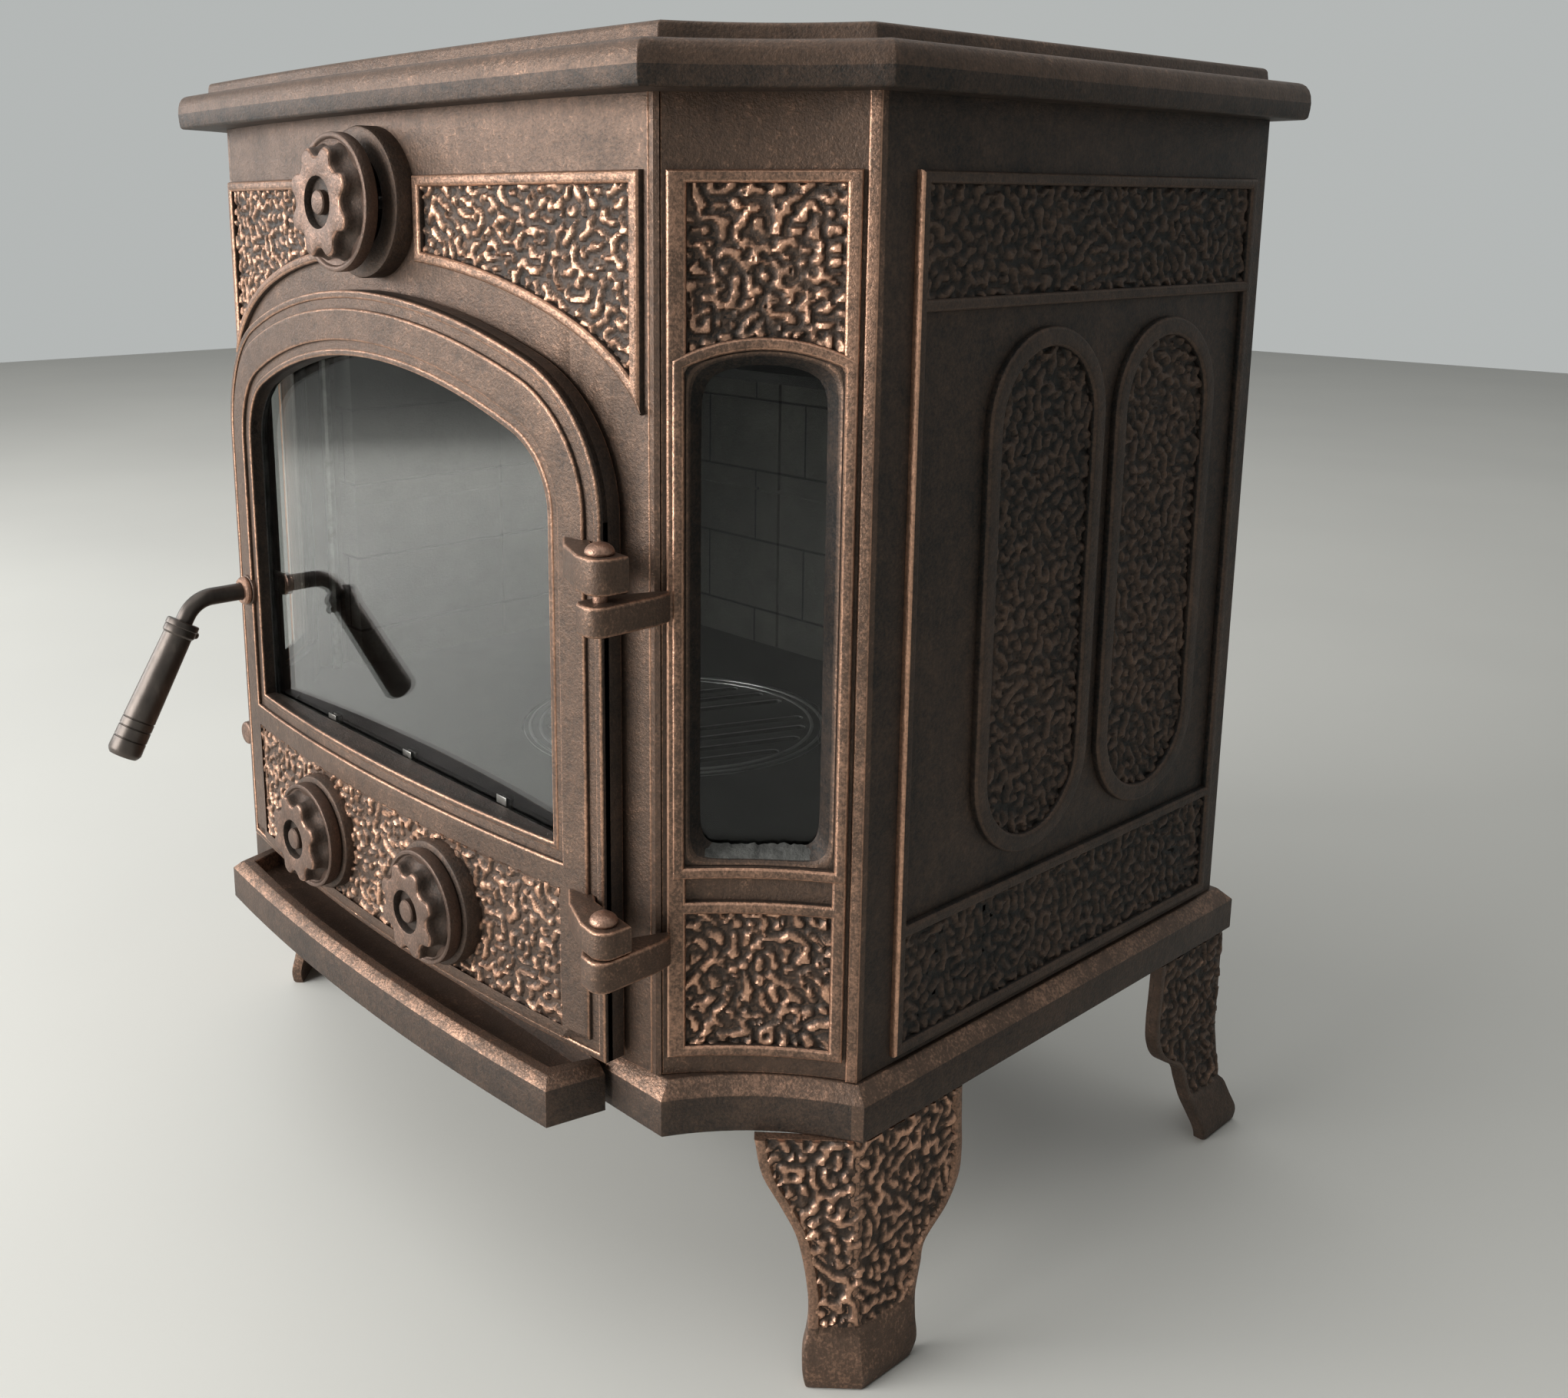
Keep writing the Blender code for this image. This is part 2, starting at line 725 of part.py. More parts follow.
def base_ring(inset, z):
    """One level of the base plate."""
    return plate_ring(FRONT_HALF + BASE_CORNER_OUT, -BASE_FRONT_REACH, SIDE_HALF + BASE_SIDE_REACH,
                      CORNER_REACH - BASE_CORNER_DROP, BODY_DEPTH + BASE_BACK_REACH, BASE_FRONT_BOW,
                      PLATE_HOLLOW, inset, z)


def body_ring(inset, z):
    """One level of the body's outer faces, drawn in by an inset."""
    return plate_ring(FRONT_HALF, 0, SIDE_HALF, CORNER_REACH, BODY_DEPTH, FRONT_BOW, CORNER_HOLLOW,
                      inset, z)


# Base, ash lip and legs

def leg_places():
    """The right-hand legs: name, outer corner, and the way each leg's second face runs."""
    x = SIDE_HALF + BASE_SIDE_REACH - LEG_INSET
    front = CORNER_REACH - BASE_CORNER_DROP
    back = BODY_DEPTH + BASE_BACK_REACH - LEG_INSET
    canted = Vector((-1, -1)).normalized()
    return [("leg_front", Vector((x, front)), Vector((0, 1)), canted),
            ("leg_rear", Vector((x, back)), Vector((0, -1)), Vector((-1, 0)))]


def tie_rod_places():
    """The four tie rods: name, x and y."""
    x = SIDE_HALF - TIE_ROD_SIDE_INSET
    return [("tie_rod_front_left", -x, TIE_ROD_FRONT), ("tie_rod_front_right", x, TIE_ROD_FRONT),
            ("tie_rod_rear_left", -x, TIE_ROD_BACK), ("tie_rod_rear_right", x, TIE_ROD_BACK)]


def rod_hole(x, y, bottom, top):
    """A cutter for a tie rod's hole."""
    return cylinder((x, y, bottom), (x, y, top), TIE_ROD_RADIUS + GAP, 10)


def make_base_plate():
    """The base plate: a hollow tray with a chamfered edge, leg bosses and rod holes."""
    plate = lofted([base_ring(0, BASE_BOTTOM), base_ring(0, BODY_BOTTOM - BASE_CHAMFER),
                    base_ring(BASE_CHAMFER, BODY_BOTTOM)])
    skirt = BASE_PLATE_WALL + 0.001
    pocket_top = BODY_BOTTOM - BASE_PLATE_WALL
    pocket = lofted([base_ring(skirt, BASE_BOTTOM - 0.01), base_ring(skirt, pocket_top)])
    plate = cut(plate, pocket)
    bosses = []
    holes = []
    for _, x, y in tie_rod_places():
        bosses.append(cylinder((x, y, BASE_BOTTOM), (x, y, pocket_top + 0.002), BOSS_RADIUS, 14))
        holes.append(rod_hole(x, y, BASE_BOTTOM - 0.01, BODY_BOTTOM + 0.01))
    plate = cut(joined(plate, *bosses), *holes)
    add_part("base_plate", plate, CAST)


def lip_ring(inset, front_inset, z):
    """One level of the ash lip, from its back corners round its bowed front."""
    front_half = LIP_FRONT_HALF - inset
    back_half = LIP_BACK_HALF - inset
    back = -BASE_FRONT_REACH - BASE_FRONT_BOW - GAP
    points = [(back_half, back), (-back_half, back)]
    for index in range(13):
        x = front_half * (2 * index / 12 - 1)
        bow = LIP_BOW * (1 - (x / front_half) ** 2)
        points.append((x, -LIP_FRONT_REACH - bow + front_inset))
    return [(x, y, z) for x, y in points]


def make_ash_lip():
    """The bowed tray in front of the base, with a rim on three sides."""
    tray_floor = LIP_TOP - LIP_TRAY_DEPTH
    body = lofted([lip_ring(0, 0, BASE_BOTTOM), lip_ring(0, 0, LIP_TOP - LIP_CHAMFER),
                   lip_ring(LIP_CHAMFER, LIP_CHAMFER, LIP_TOP)])
    rim = LIP_CHAMFER + LIP_RIM
    inner = [(x, y + (0.01 if index < 2 else 0), z)
             for index, (x, y, z) in enumerate(lip_ring(rim, rim, tray_floor))]
    upper = [(x, y, LIP_TOP + 0.01) for x, y, z in inner]
    under = LIP_CHAMFER + 0.003
    low = [(x, y - (0.012 if index < 2 else 0), z)
           for index, (x, y, z) in enumerate(lip_ring(under, under, BASE_BOTTOM - 0.01))]
    high = [(x, y, tray_floor - BASE_PLATE_WALL) for x, y, z in low]
    lip = cut(body, lofted([inner, upper]), lofted([low, high]))
    add_part("ash_lip", lip, CAST)


def leg_levels():
    """Height, width of the side face, width of the other face and outward sweep of a leg."""
    return list(LEG_SECTIONS) + [(BASE_BOTTOM - GAP,) + LEG_HEAD_SECTION]


def leg_section(corner, along, other, width, other_width, z):
    """One level of a leg: an angle with two faces, of even thickness."""
    inward = Vector((-1, 0))
    other_inward = Vector((-other.y, other.x))
    if other_inward.dot(along) < 0:
        other_inward = -other_inward
    heel = corner + LEG_WALL * (inward + other_inward) / (1 + inward.dot(other_inward))
    side_end = corner + along * width
    other_end = corner + other * other_width
    points = [corner, side_end, side_end + inward * LEG_WALL, heel, other_end + other_inward * LEG_WALL,
              other_end]
    return [(point.x, point.y, z) for point in points]


def make_legs():
    """Four corner legs of angle section, each with a pad that a tie rod holds under the base."""
    for name, corner, along, other in leg_places():
        rings = []
        for z, width, other_width, sweep in leg_levels():
            foot = corner - (along + other) * sweep
            rings.append(leg_section(foot, along, other, width, other_width, z))
        bottom = BASE_BOTTOM - GAP - LEG_PAD
        outer_x = corner.x - LEG_PAD_INSET
        outer_y = corner.y + along.y * LEG_PAD_INSET
        inner_x = corner.x - LEG_PAD_SIZE
        inner_y = corner.y + along.y * LEG_PAD_SIZE
        outline = [(outer_x, outer_y), (outer_x, inner_y), (inner_x, inner_y), (inner_x, outer_y)]
        pad = plan_solid(outline, [], bottom, BASE_BOTTOM - GAP - LEG_PAD_SINK)
        rod_y = TIE_ROD_FRONT if along.y > 0 else TIE_ROD_BACK
        hole = rod_hole(SIDE_HALF - TIE_ROD_SIDE_INSET, rod_y, bottom - 0.01, BASE_BOTTOM + 0.01)
        leg = cut(joined(lofted(rings), pad), hole)
        add_part(name + "_left", mirrored(leg), COPPER)
        add_part(name + "_right", leg, COPPER)


def bolt(head_end, direction, shank_radius, shank_length, head_radius, head_height, sides=10):
    """A hexagon bolt: its head starts at head_end and its shank runs on in the direction."""
    start = Vector(head_end)
    way = Vector(direction).normalized()
    neck = start + way * head_height
    head = cylinder(start, neck, head_radius, 6)
    shank = cylinder(start + way * head_height / 2, neck + way * shank_length, shank_radius, sides)
    return joined(head, shank)


# Body panels

def seat(middle_x, middle_z, front, back, share=1):
    """A raised round seat for an air wheel, from y = front to y = back."""
    length = back - front
    radius = SEAT_RADIUS * share
    profile = [(0, length), (radius, length), (radius, 0.002), (radius - 0.002, 0), (0, 0)]
    turn = Matrix.Translation((middle_x, front, middle_z)) @ Matrix.Rotation(-math.pi / 2, 4, "X")
    return moved(turned(profile), turn)


def spider(middle_x, middle_z, front, back, share=1):
    """A hub on crossed bars that carries a wheel's spindle across its air hole."""
    reach = SEAT_BORE * share + 0.001
    half = SPIDER_BAR / 2
    hub = cylinder((middle_x, front, middle_z), (middle_x, back, middle_z), SPIDER_HUB_RADIUS, 12)
    flat = box((middle_x - reach, front + 0.0007, middle_z - half),
               (middle_x + reach, back - 0.0007, middle_z + half))
    upright = box((middle_x - half, front + 0.0003, middle_z - reach),
                  (middle_x + half, back - 0.0003, middle_z + reach))
    return joined(hub, flat, upright)


def make_front_panel():
    """The bowed front: the arched door opening, two spandrels and the upper air seat."""
    half = FRONT_HALF - JOINT_INSET
    outline = rectangle(-half, half, PANEL_BOTTOM, PANEL_TOP)
    opening = door_outline(PANEL_OPENING_LAP)
    plate = outline_solid(outline, [opening], 0, WALL)
    frame = outline_solid(spandrel(FRAME_WIDTH), [spandrel(0)], -FRAME_PROUD, FRAME_SINK)
    plate = joined(plate, frame, mirrored(frame))
    plate = bowed(plate, half)
    air_hole = cylinder((0, -0.1, TOP_WHEEL_Z), (0, 0.1, TOP_WHEEL_Z), SEAT_BORE, TURN_STEPS)
    plate = cut(joined(plate, seat(0, TOP_WHEEL_Z, SEAT_FRONT, -FRONT_BOW + 0.003)), air_hole)
    front = -FRONT_BOW - 0.004
    back = -FRONT_BOW + WALL - 0.001
    plate = joined(plate, spider(0, TOP_WHEEL_Z, front, back))
    bore = SPINDLE_RADIUS + SPINDLE_CLEARANCE
    spindle_hole = cylinder((0, -0.1, TOP_WHEEL_Z), (0, 0.1, TOP_WHEEL_Z), bore, 12)
    rod_hole = cylinder((RIDDLE_X, -0.1, RIDDLE_Z), (RIDDLE_X, 0.1, RIDDLE_Z), RIDDLE_ROD_RADIUS + GAP)
    add_part("front_panel", cut(plate, spindle_hole, rod_hole), CAST)


def corner_place():
    """Turns a flat casting into the right-hand canted corner."""
    return Matrix.Translation((FRONT_HALF, 0, 0)) @ Matrix.Rotation(math.pi / 4, 4, "Z")


def hinge_arm(level):
    """An arm that reaches forward from the corner to the hinge pin."""
    right = HINGE_X + HINGE_REACH
    front = HINGE_Y - HINGE_REACH
    root = right - FRONT_HALF
    outline = [(HINGE_X - 0.0085, front + 0.004), (HINGE_X - 0.0045, front), (right - 0.003, front - 0.001),
               (right, front + 0.002), (right, root + 0.006), (FRONT_HALF + 0.0045, root - 0.004),
               (FRONT_HALF + 0.0015, -0.006), (HINGE_X - 0.0085, HINGE_Y + 0.008)]
    return plan_solid(outline, [], level[0], level[1])


def make_corner_panels():
    """Both hollow corners with their windows; the right one carries the hinge arms."""
    start = (WALL * math.sin(math.pi / 4) - JOINT_INSET + GAP) / math.cos(math.pi / 4)
    end = CORNER_LENGTH - start
    plate = outline_solid(rectangle(start, end, PANEL_BOTTOM, PANEL_TOP), [window_outline(0)], 0, WALL)
    left = WINDOW_MARGIN
    right = CORNER_LENGTH - WINDOW_MARGIN
    fields = [upper_field_outline(), window_outline(0), rectangle(left, right, SLOT_BOTTOM, SLOT_TOP),
              rectangle(left, right, FRAME_BOTTOM + CORNER_BOTTOM_BAR, LOWER_FIELD_TOP)]
    border = rectangle(CORNER_FRAME_MARGIN, CORNER_LENGTH - CORNER_FRAME_MARGIN, FRAME_BOTTOM, FRAME_TOP)
    frame = outline_solid(border, fields, -FRAME_PROUD, FRAME_SINK)
    lining = outline_solid(window_outline(0.001), [window_outline(-WINDOW_LINING)], WINDOW_LINING_FRONT,
                           WALL - 0.0004)
    panel = moved(hollowed(joined(plate, frame, lining)), corner_place())
    add_part("corner_panel_left", mirrored(panel), CAST)
    panel = joined(panel, hinge_arm(UPPER_ARM), hinge_arm(LOWER_ARM))
    pin_hole = cylinder((HINGE_X, HINGE_Y, LOWER_ARM[0] - 0.01), (HINGE_X, HINGE_Y, UPPER_ARM[1] + 0.01),
                        PIN_RADIUS + PIN_CLEARANCE)
    add_part("corner_panel_right", cut(panel, pin_hole), CAST)


def make_side_panels():
    """The flat sides with two upright ovals between an upper and a lower textured band."""
    plate = outline_solid(rectangle(SIDE_START, BODY_DEPTH, PANEL_BOTTOM, PANEL_TOP), [], 0, WALL)
    front = CORNER_REACH + SIDE_FRAME_FRONT
    back = BODY_DEPTH - SIDE_FRAME_BACK
    width = FRAME_WIDTH
    upper = FRAME_TOP - UPPER_BAND_HEIGHT
    lower = SIDE_FRAME_BOTTOM + LOWER_BAND_HEIGHT
    fields = [rectangle(front + width, back - width, upper, FRAME_TOP - width),
              rectangle(front + width, back - width, lower, upper - width),
              rectangle(front + width, back - width, SIDE_FRAME_BOTTOM + width, lower - width)]
    border = rectangle(front, back, SIDE_FRAME_BOTTOM, FRAME_TOP)
    raised = [outline_solid(border, fields, -FRAME_PROUD, FRAME_SINK)]
    for shift in (-0.5, 0.5):
        middle = OVAL_MIDDLE + OVAL_SPACING * shift
        outer = stadium(middle, OVAL_RADIUS, OVAL_BOTTOM, OVAL_TOP)
        inner = stadium(middle, OVAL_RADIUS - OVAL_RING, OVAL_BOTTOM + OVAL_RING, OVAL_TOP - OVAL_RING)
        raised.append(outline_solid(outer, [inner], -OVAL_PROUD, FRAME_SINK))
    panel = joined(plate, *raised)
    panel.transform(Matrix.Translation((SIDE_HALF, 0, 0)) @ Matrix.Rotation(math.pi / 2, 4, "Z"))
    add_part("side_panel_left", mirrored(panel), CAST)
    add_part("side_panel_right", panel, CAST)


def make_back_panel():
    """The plain back, between the sides, with the flue hole."""
    half = SIDE_HALF - WALL - GAP
    outline = rectangle(-half, half, PANEL_BOTTOM, PANEL_TOP)
    flue_hole = circle(FLUE_RADIUS - FLUE_WALL, 28, (0, FLUE_Z))
    panel = outline_solid(outline, [flue_hole], BODY_DEPTH - WALL, BODY_DEPTH)
    holes = []
    for x, z in flue_bolt_places():
        holes.append(cylinder((x, 0, z), (x, 1, z), FLUE_BOLT_RADIUS + GAP, 10))
    add_part("back_panel", cut(panel, *holes), CAST)


def flue_bolt_places():
    """Where the flue collar is bolted on."""
    ring = (FLUE_RADIUS + FLUE_FLANGE_RADIUS) / 2
    angles = [math.pi * 0.17 + 2 * math.pi * index / FLUE_BOLTS for index in range(FLUE_BOLTS)]
    return [(ring * math.cos(angle), FLUE_Z + ring * math.sin(angle)) for angle in angles]


def make_flue_collar():
    """The round outlet on the back, with its flange and bolts."""
    inner = FLUE_RADIUS - FLUE_WALL
    length = FLUE_FLANGE + FLUE_LENGTH
    profile = [(inner, length), (FLUE_RADIUS, length), (FLUE_RADIUS, FLUE_FLANGE),
               (FLUE_FLANGE_RADIUS, FLUE_FLANGE), (FLUE_FLANGE_RADIUS, 0), (inner, 0)]
    face = BODY_DEPTH + GAP
    turn = Matrix.Translation((0, face, FLUE_Z)) @ Matrix.Rotation(-math.pi / 2, 4, "X")
    collar = moved(turned(profile, 30), turn)
    holes = []
    for index, (x, z) in enumerate(flue_bolt_places()):
        holes.append(cylinder((x, face - 0.01, z), (x, face + 0.02, z), FLUE_BOLT_RADIUS + GAP, 10))
        head = (x, face + FLUE_FLANGE + GAP + FLUE_BOLT_HEAD, z)
        made = bolt(head, (0, -1, 0), FLUE_BOLT_RADIUS, FLUE_FLANGE + WALL + 0.002, FLUE_BOLT_RADIUS + 0.0025,
                    FLUE_BOLT_HEAD)
        add_part("flue_collar_bolt_%d" % (index + 1), made, STEEL, 0.4, 1.0)
    add_part("flue_collar", cut(collar, *holes), CAST)


def make_top_plate():
    """The top: a rounded rim, a raised step and a socket that takes the panels' top edges."""
    rim_top = BODY_TOP + TOP_RIM_HEIGHT
    round_edge = TOP_EDGE_ROUND
    levels = [(0.15 * round_edge, BODY_TOP), (0.0, BODY_TOP + 0.35 * TOP_RIM_HEIGHT),
              (0.18 * round_edge, BODY_TOP + 0.7 * TOP_RIM_HEIGHT), (round_edge, rim_top),
              (TOP_STEP_INSET - 0.0015, rim_top + 0.0005), (TOP_STEP_INSET, TOP_HEIGHT - 0.0015),
              (TOP_STEP_INSET + 0.0015, TOP_HEIGHT)]
    plate = lofted([top_ring(inset, z) for inset, z in levels])
    play = 0.001
    socket = lofted([body_ring(-play, BODY_TOP - 0.01), body_ring(-play, BODY_TOP + PANEL_SOCKET)])
    ceiling = TOP_HEIGHT - TOP_SKIN
    rib = WALL + TOP_RIB
    hollow = lofted([body_ring(rib, BODY_TOP - 0.01), body_ring(rib, ceiling)])
    plate = cut(plate, socket, hollow)
    bosses = []
    holes = []
    low = BODY_TOP + PANEL_SOCKET - TIE_BOSS_HEIGHT
    for _, x, y in tie_rod_places():
        bosses.append(cylinder((x, y, low), (x, y, ceiling + 0.002), TIE_BOSS_RADIUS, 12))
        holes.append(rod_hole(x, y, low - 0.01, BODY_TOP + PANEL_SOCKET + 0.002))
    add_part("top_plate", cut(joined(plate, *bosses), *holes), CAST)


def make_tie_rods():
    """Four rods that draw the top, the base and the legs together, each with its nut."""
    under = BASE_BOTTOM - GAP - LEG_PAD - GAP
    top = BODY_TOP + PANEL_SOCKET
    for name, x, y in tie_rod_places():
        rod = cylinder((x, y, under - NUT_HEIGHT - 0.002), (x, y, top), TIE_ROD_RADIUS, 10)
        nut = cylinder((x, y, under - NUT_HEIGHT), (x, y, under), NUT_RADIUS, 6)
        add_part(name, joined(rod, nut), STEEL, 0.4, 1.0)


# Corner windows

def make_windows():
    """The corner glasses, each between its tape and an inner liner that stands on the floor."""
    lap = WINDOW_GLASS_LAP
    behind = WALL + GAP
    tape = outline_solid(window_outline(lap), [window_outline(0.0015)], behind, behind + GLASS_TAPE)
    start = behind + GLASS_TAPE + GAP
    glass = outline_solid(window_outline(lap - 0.001), [], start, start + WINDOW_GLASS)
    sheet = start + WINDOW_GLASS + GAP
    margin = LINER_CORNER_MARGIN
    liner = outline_solid(rectangle(margin, CORNER_LENGTH - margin, FLOOR_TOP + GAP, BODY_TOP),
                          [window_outline(0.002)], sheet, sheet + LINER_SHEET)
    tape = moved(hollowed(tape), corner_place())
    glass = moved(hollowed(glass), corner_place())
    liner = moved(hollowed(liner), corner_place())
    add_part("window_tape_left", mirrored(tape), BLACK, 0.9, 0.0)
    add_part("window_tape_right", tape, BLACK, 0.9, 0.0)
    add_part("window_glass_left", mirrored(glass), GLASS_COLOUR, 0.05, 0.0)
    add_part("window_glass_right", glass, GLASS_COLOUR, 0.05, 0.0)
    add_part("window_liner_left", mirrored(liner), CAST, 0.7, 0.6)
    add_part("window_liner_right", liner, CAST, 0.7, 0.6)


# Firebox

def make_floor_plate():
    """The cast floor of the firebox, with a ledge for the round grate."""
    outline = [(x, y) for x, y, z in body_ring(WALL + FLOOR_PLAY + FRONT_BOW * 0.2, 0)]
    through = circle(GRATE_RADIUS - GRATE_LEDGE, 32, (0, GRATE_Y))
    floor = plan_solid(outline, [through], FLOOR_TOP - FLOOR_THICKNESS, FLOOR_TOP)
    ledge = FLOOR_TOP - GRATE_THICKNESS - GAP
    recess = cylinder((0, GRATE_Y, ledge), (0, GRATE_Y, FLOOR_TOP + 0.01), GRATE_RADIUS + 0.001, 32)
    holes = []
    for _, x, y in tie_rod_places():
        holes.append(rod_hole(x, y, FLOOR_TOP - 0.05, FLOOR_TOP + 0.01))
    add_part("floor_plate", cut(floor, recess, *holes), CAST, 0.8, 0.4)


def make_grate():
    """The round riddling grate: a slotted disc on a stem, with the lever that turns it."""
    low = FLOOR_TOP - GRATE_THICKNESS
    disc = cylinder((0, GRATE_Y, low), (0, GRATE_Y, FLOOR_TOP), GRATE_RADIUS, 32)
    slots = []
    reach = GRATE_RADIUS - GRATE_LEDGE - 0.012
    for index in range(GRATE_SLOTS):
        shift = (index - (GRATE_SLOTS - 1) / 2) * GRATE_PITCH
        if index == (GRATE_SLOTS - 1) // 2:
            continue
        half = math.sqrt(reach ** 2 - shift ** 2)
        slot = box((-half, shift - GRATE_SLOT / 2, low - 0.01), (half, shift + GRATE_SLOT / 2, FLOOR_TOP + 0.01))
        slot.transform(Matrix.Translation((0, GRATE_Y, 0)) @ Matrix.Rotation(math.radians(GRATE_SLOT_ANGLE), 4, "Z"))
        slots.append(slot)
    stem_bottom = low - LEVER_DROP
    stem = cylinder((0, GRATE_Y, stem_bottom), (0, GRATE_Y, low + 0.002), 0.008)
    disc = joined(cut(disc, *slots), stem)
    lever_top = stem_bottom + 0.001
    end = -RIDDLE_X
    outline = rectangle(-end - 0.012, 0.012, GRATE_Y - LEVER_WIDTH / 2, GRATE_Y + LEVER_WIDTH / 2)
    play = RIDDLE_ROD_RADIUS + RIDDLE_SLOT_PLAY
    hole = rectangle(RIDDLE_X - play, RIDDLE_X + play, GRATE_Y - RIDDLE_ROD_RADIUS - 0.0006,
                     GRATE_Y + RIDDLE_ROD_RADIUS + 0.0006)
    lever = plan_solid(outline, [hole], lever_top - LEVER_THICKNESS, lever_top)
    add_part("riddling_grate", joined(disc, lever), CAST, 0.8, 0.4, origin=(0, GRATE_Y, FLOOR_TOP))


def make_riddling_rod():
    """The pull rod from the knob beside the door back to the grate's lever."""
    lever_top = FLOOR_TOP - GRATE_THICKNESS - LEVER_DROP + 0.001
    knob_back = RIDDLE_KNOB_FRONT + RIDDLE_KNOB_LENGTH
    bend = 0.006
    points = [(RIDDLE_X, knob_back - 0.008, RIDDLE_Z), (RIDDLE_X, GRATE_Y - bend, RIDDLE_Z)]
    for index in range(1, 6):
        angle = math.pi / 2 * index / 5
        points.append((RIDDLE_X, GRATE_Y - bend + bend * math.sin(angle),
                       RIDDLE_Z - bend + bend * math.cos(angle)))
    points.append((RIDDLE_X, GRATE_Y, lever_top - LEVER_THICKNESS - 0.005))
    add_part("riddling_rod", tube(points, RIDDLE_ROD_RADIUS), STEEL, 0.4, 1.0)
    radius = RIDDLE_KNOB_RADIUS
    bore = RIDDLE_ROD_RADIUS + GAP
    profile = [(0, RIDDLE_KNOB_LENGTH), (radius - 0.001, RIDDLE_KNOB_LENGTH),
               (radius, RIDDLE_KNOB_LENGTH - 0.001), (radius, 0.0005), (radius - 0.0005, 0), (bore, 0),
               (bore, 0.0085), (0, 0.0085)]
    turn = Matrix.Translation((RIDDLE_X, knob_back, RIDDLE_Z)) @ Matrix.Rotation(math.pi / 2, 4, "X")
    add_part("riddling_knob", moved(turned(profile, 14), turn), COPPER, 0.4, 0.9)


def tube(points, radius, sides=8):
    """A round bar along points, with filled ends."""
    curve = bpy.data.curves.new("tube", "CURVE")
    curve.dimensions = "3D"
    curve.bevel_depth = radius
    curve.bevel_resolution = sides // 2 - 2
    curve.use_fill_caps = True
    spline = curve.splines.new("POLY")
    spline.points.add(len(points) - 1)
    for target, (x, y, z) in zip(spline.points, points):
        target.co = (x, y, z, 1)
    return evaluated_mesh(linked("tube", curve))


def make_ash_pit():
    """Two guides that stand on the base, carry the floor plate and the ash pan's edges."""
    top = FLOOR_TOP - FLOOR_THICKNESS - GAP
    back = PAN_FRONT + PAN_LENGTH + 0.02
    for name, side in (("ash_guide_left", -1), ("ash_guide_right", 1)):
        wall = box((GUIDE_X, PAN_FRONT, PANEL_BOTTOM), (GUIDE_X + GUIDE_WALL, back, top))
        ledge = box((GUIDE_X - GUIDE_LEDGE, PAN_FRONT, PAN_RAIL_Z - 0.006),
                    (GUIDE_X + GUIDE_WALL / 2, back - 0.0005, PAN_RAIL_Z))
        window = box((GUIDE_X - 0.05, GRATE_Y - 0.050, PAN_RAIL_Z + 0.020),
                     (GUIDE_X + 0.05, GRATE_Y + 0.030, top - 0.004))
        guide = cut(joined(wall, ledge), window)
        add_part(name, guide if side > 0 else mirrored(guide), CAST, 0.8, 0.4)
    half = GUIDE_X - 0.001
    low = PAN_RAIL_Z + GAP
    outer = box((-half, PAN_FRONT, low), (half, PAN_FRONT + PAN_LENGTH, low + PAN_HEIGHT))
    inner = box((-half + PAN_SHEET, PAN_FRONT + PAN_SHEET, low + PAN_SHEET),
                (half - PAN_SHEET, PAN_FRONT + PAN_LENGTH - PAN_SHEET, low + PAN_HEIGHT + 0.01))
    grip_z = low + PAN_HEIGHT * 0.55
    path = []
    for x, out in [(-0.045, -0.001), (-0.045, 0.016), (-0.036, 0.021), (0.036, 0.021), (0.045, 0.016),
                   (0.045, -0.001)]:
        path.append((x, PAN_FRONT - out, grip_z))
    add_part("ash_pan", joined(cut(outer, inner), tube(path, 0.003)), CAST, 0.7, 0.6)


def brick_slab(left, right, columns, bottom, front, back):
    """A slab of fire brick, scored into rows and columns on its front face."""
    height = BRICK_ROWS * BRICK_HEIGHT
    slab = box((left, front, bottom), (right, back, bottom + height))
    half = BRICK_JOINT / 2
    scores = []
    for column in range(1, columns):
        middle = left + (right - left) * column / columns
        scores.append(box((middle - half, front - 0.01, bottom - 0.01),
                          (middle + half, front + BRICK_JOINT, bottom + height + 0.01)))
    for row in range(1, BRICK_ROWS):
        middle = bottom + row * BRICK_HEIGHT
        scores.append(box((left - 0.01, front - 0.01, middle - half),
                          (right + 0.01, front + BRICK_JOINT, middle + half)))
    return cut(slab, *scores)


def make_lining():
    """Fire bricks against the back and the sides, and the baffle that lies on them."""
    bottom = FLOOR_TOP + GAP
    inside_back = BODY_DEPTH - WALL - GAP
    back = brick_slab(-BACK_BRICK_HALF, BACK_BRICK_HALF, BACK_BRICK_COLUMNS, bottom,
                      inside_back - BRICK, inside_back)
    add_part("firebrick_back", back, BRICK_COLOUR, 0.95, 0.0)
    side = brick_slab(-SIDE_BRICK_BACK, -SIDE_BRICK_FRONT, SIDE_BRICK_COLUMNS, bottom, 0, BRICK)
    turn = Matrix.Rotation(-math.pi / 2, 4, "Z")
    side.transform(Matrix.Translation((SIDE_HALF - WALL - GAP - BRICK, 0, 0)) @ turn)
    add_part("firebrick_left", mirrored(side), BRICK_COLOUR, 0.95, 0.0)
    add_part("firebrick_right", side, BRICK_COLOUR, 0.95, 0.0)
    top = bottom + BRICK_ROWS * BRICK_HEIGHT + GAP
    half = SIDE_HALF - WALL - GAP - BRICK + BAFFLE_LAP
    baffle = box((-half, BAFFLE_FRONT, top), (half, inside_back - BRICK / 2, top + BAFFLE_THICKNESS))
    add_part("baffle_plate", baffle, CAST, 0.8, 0.4)


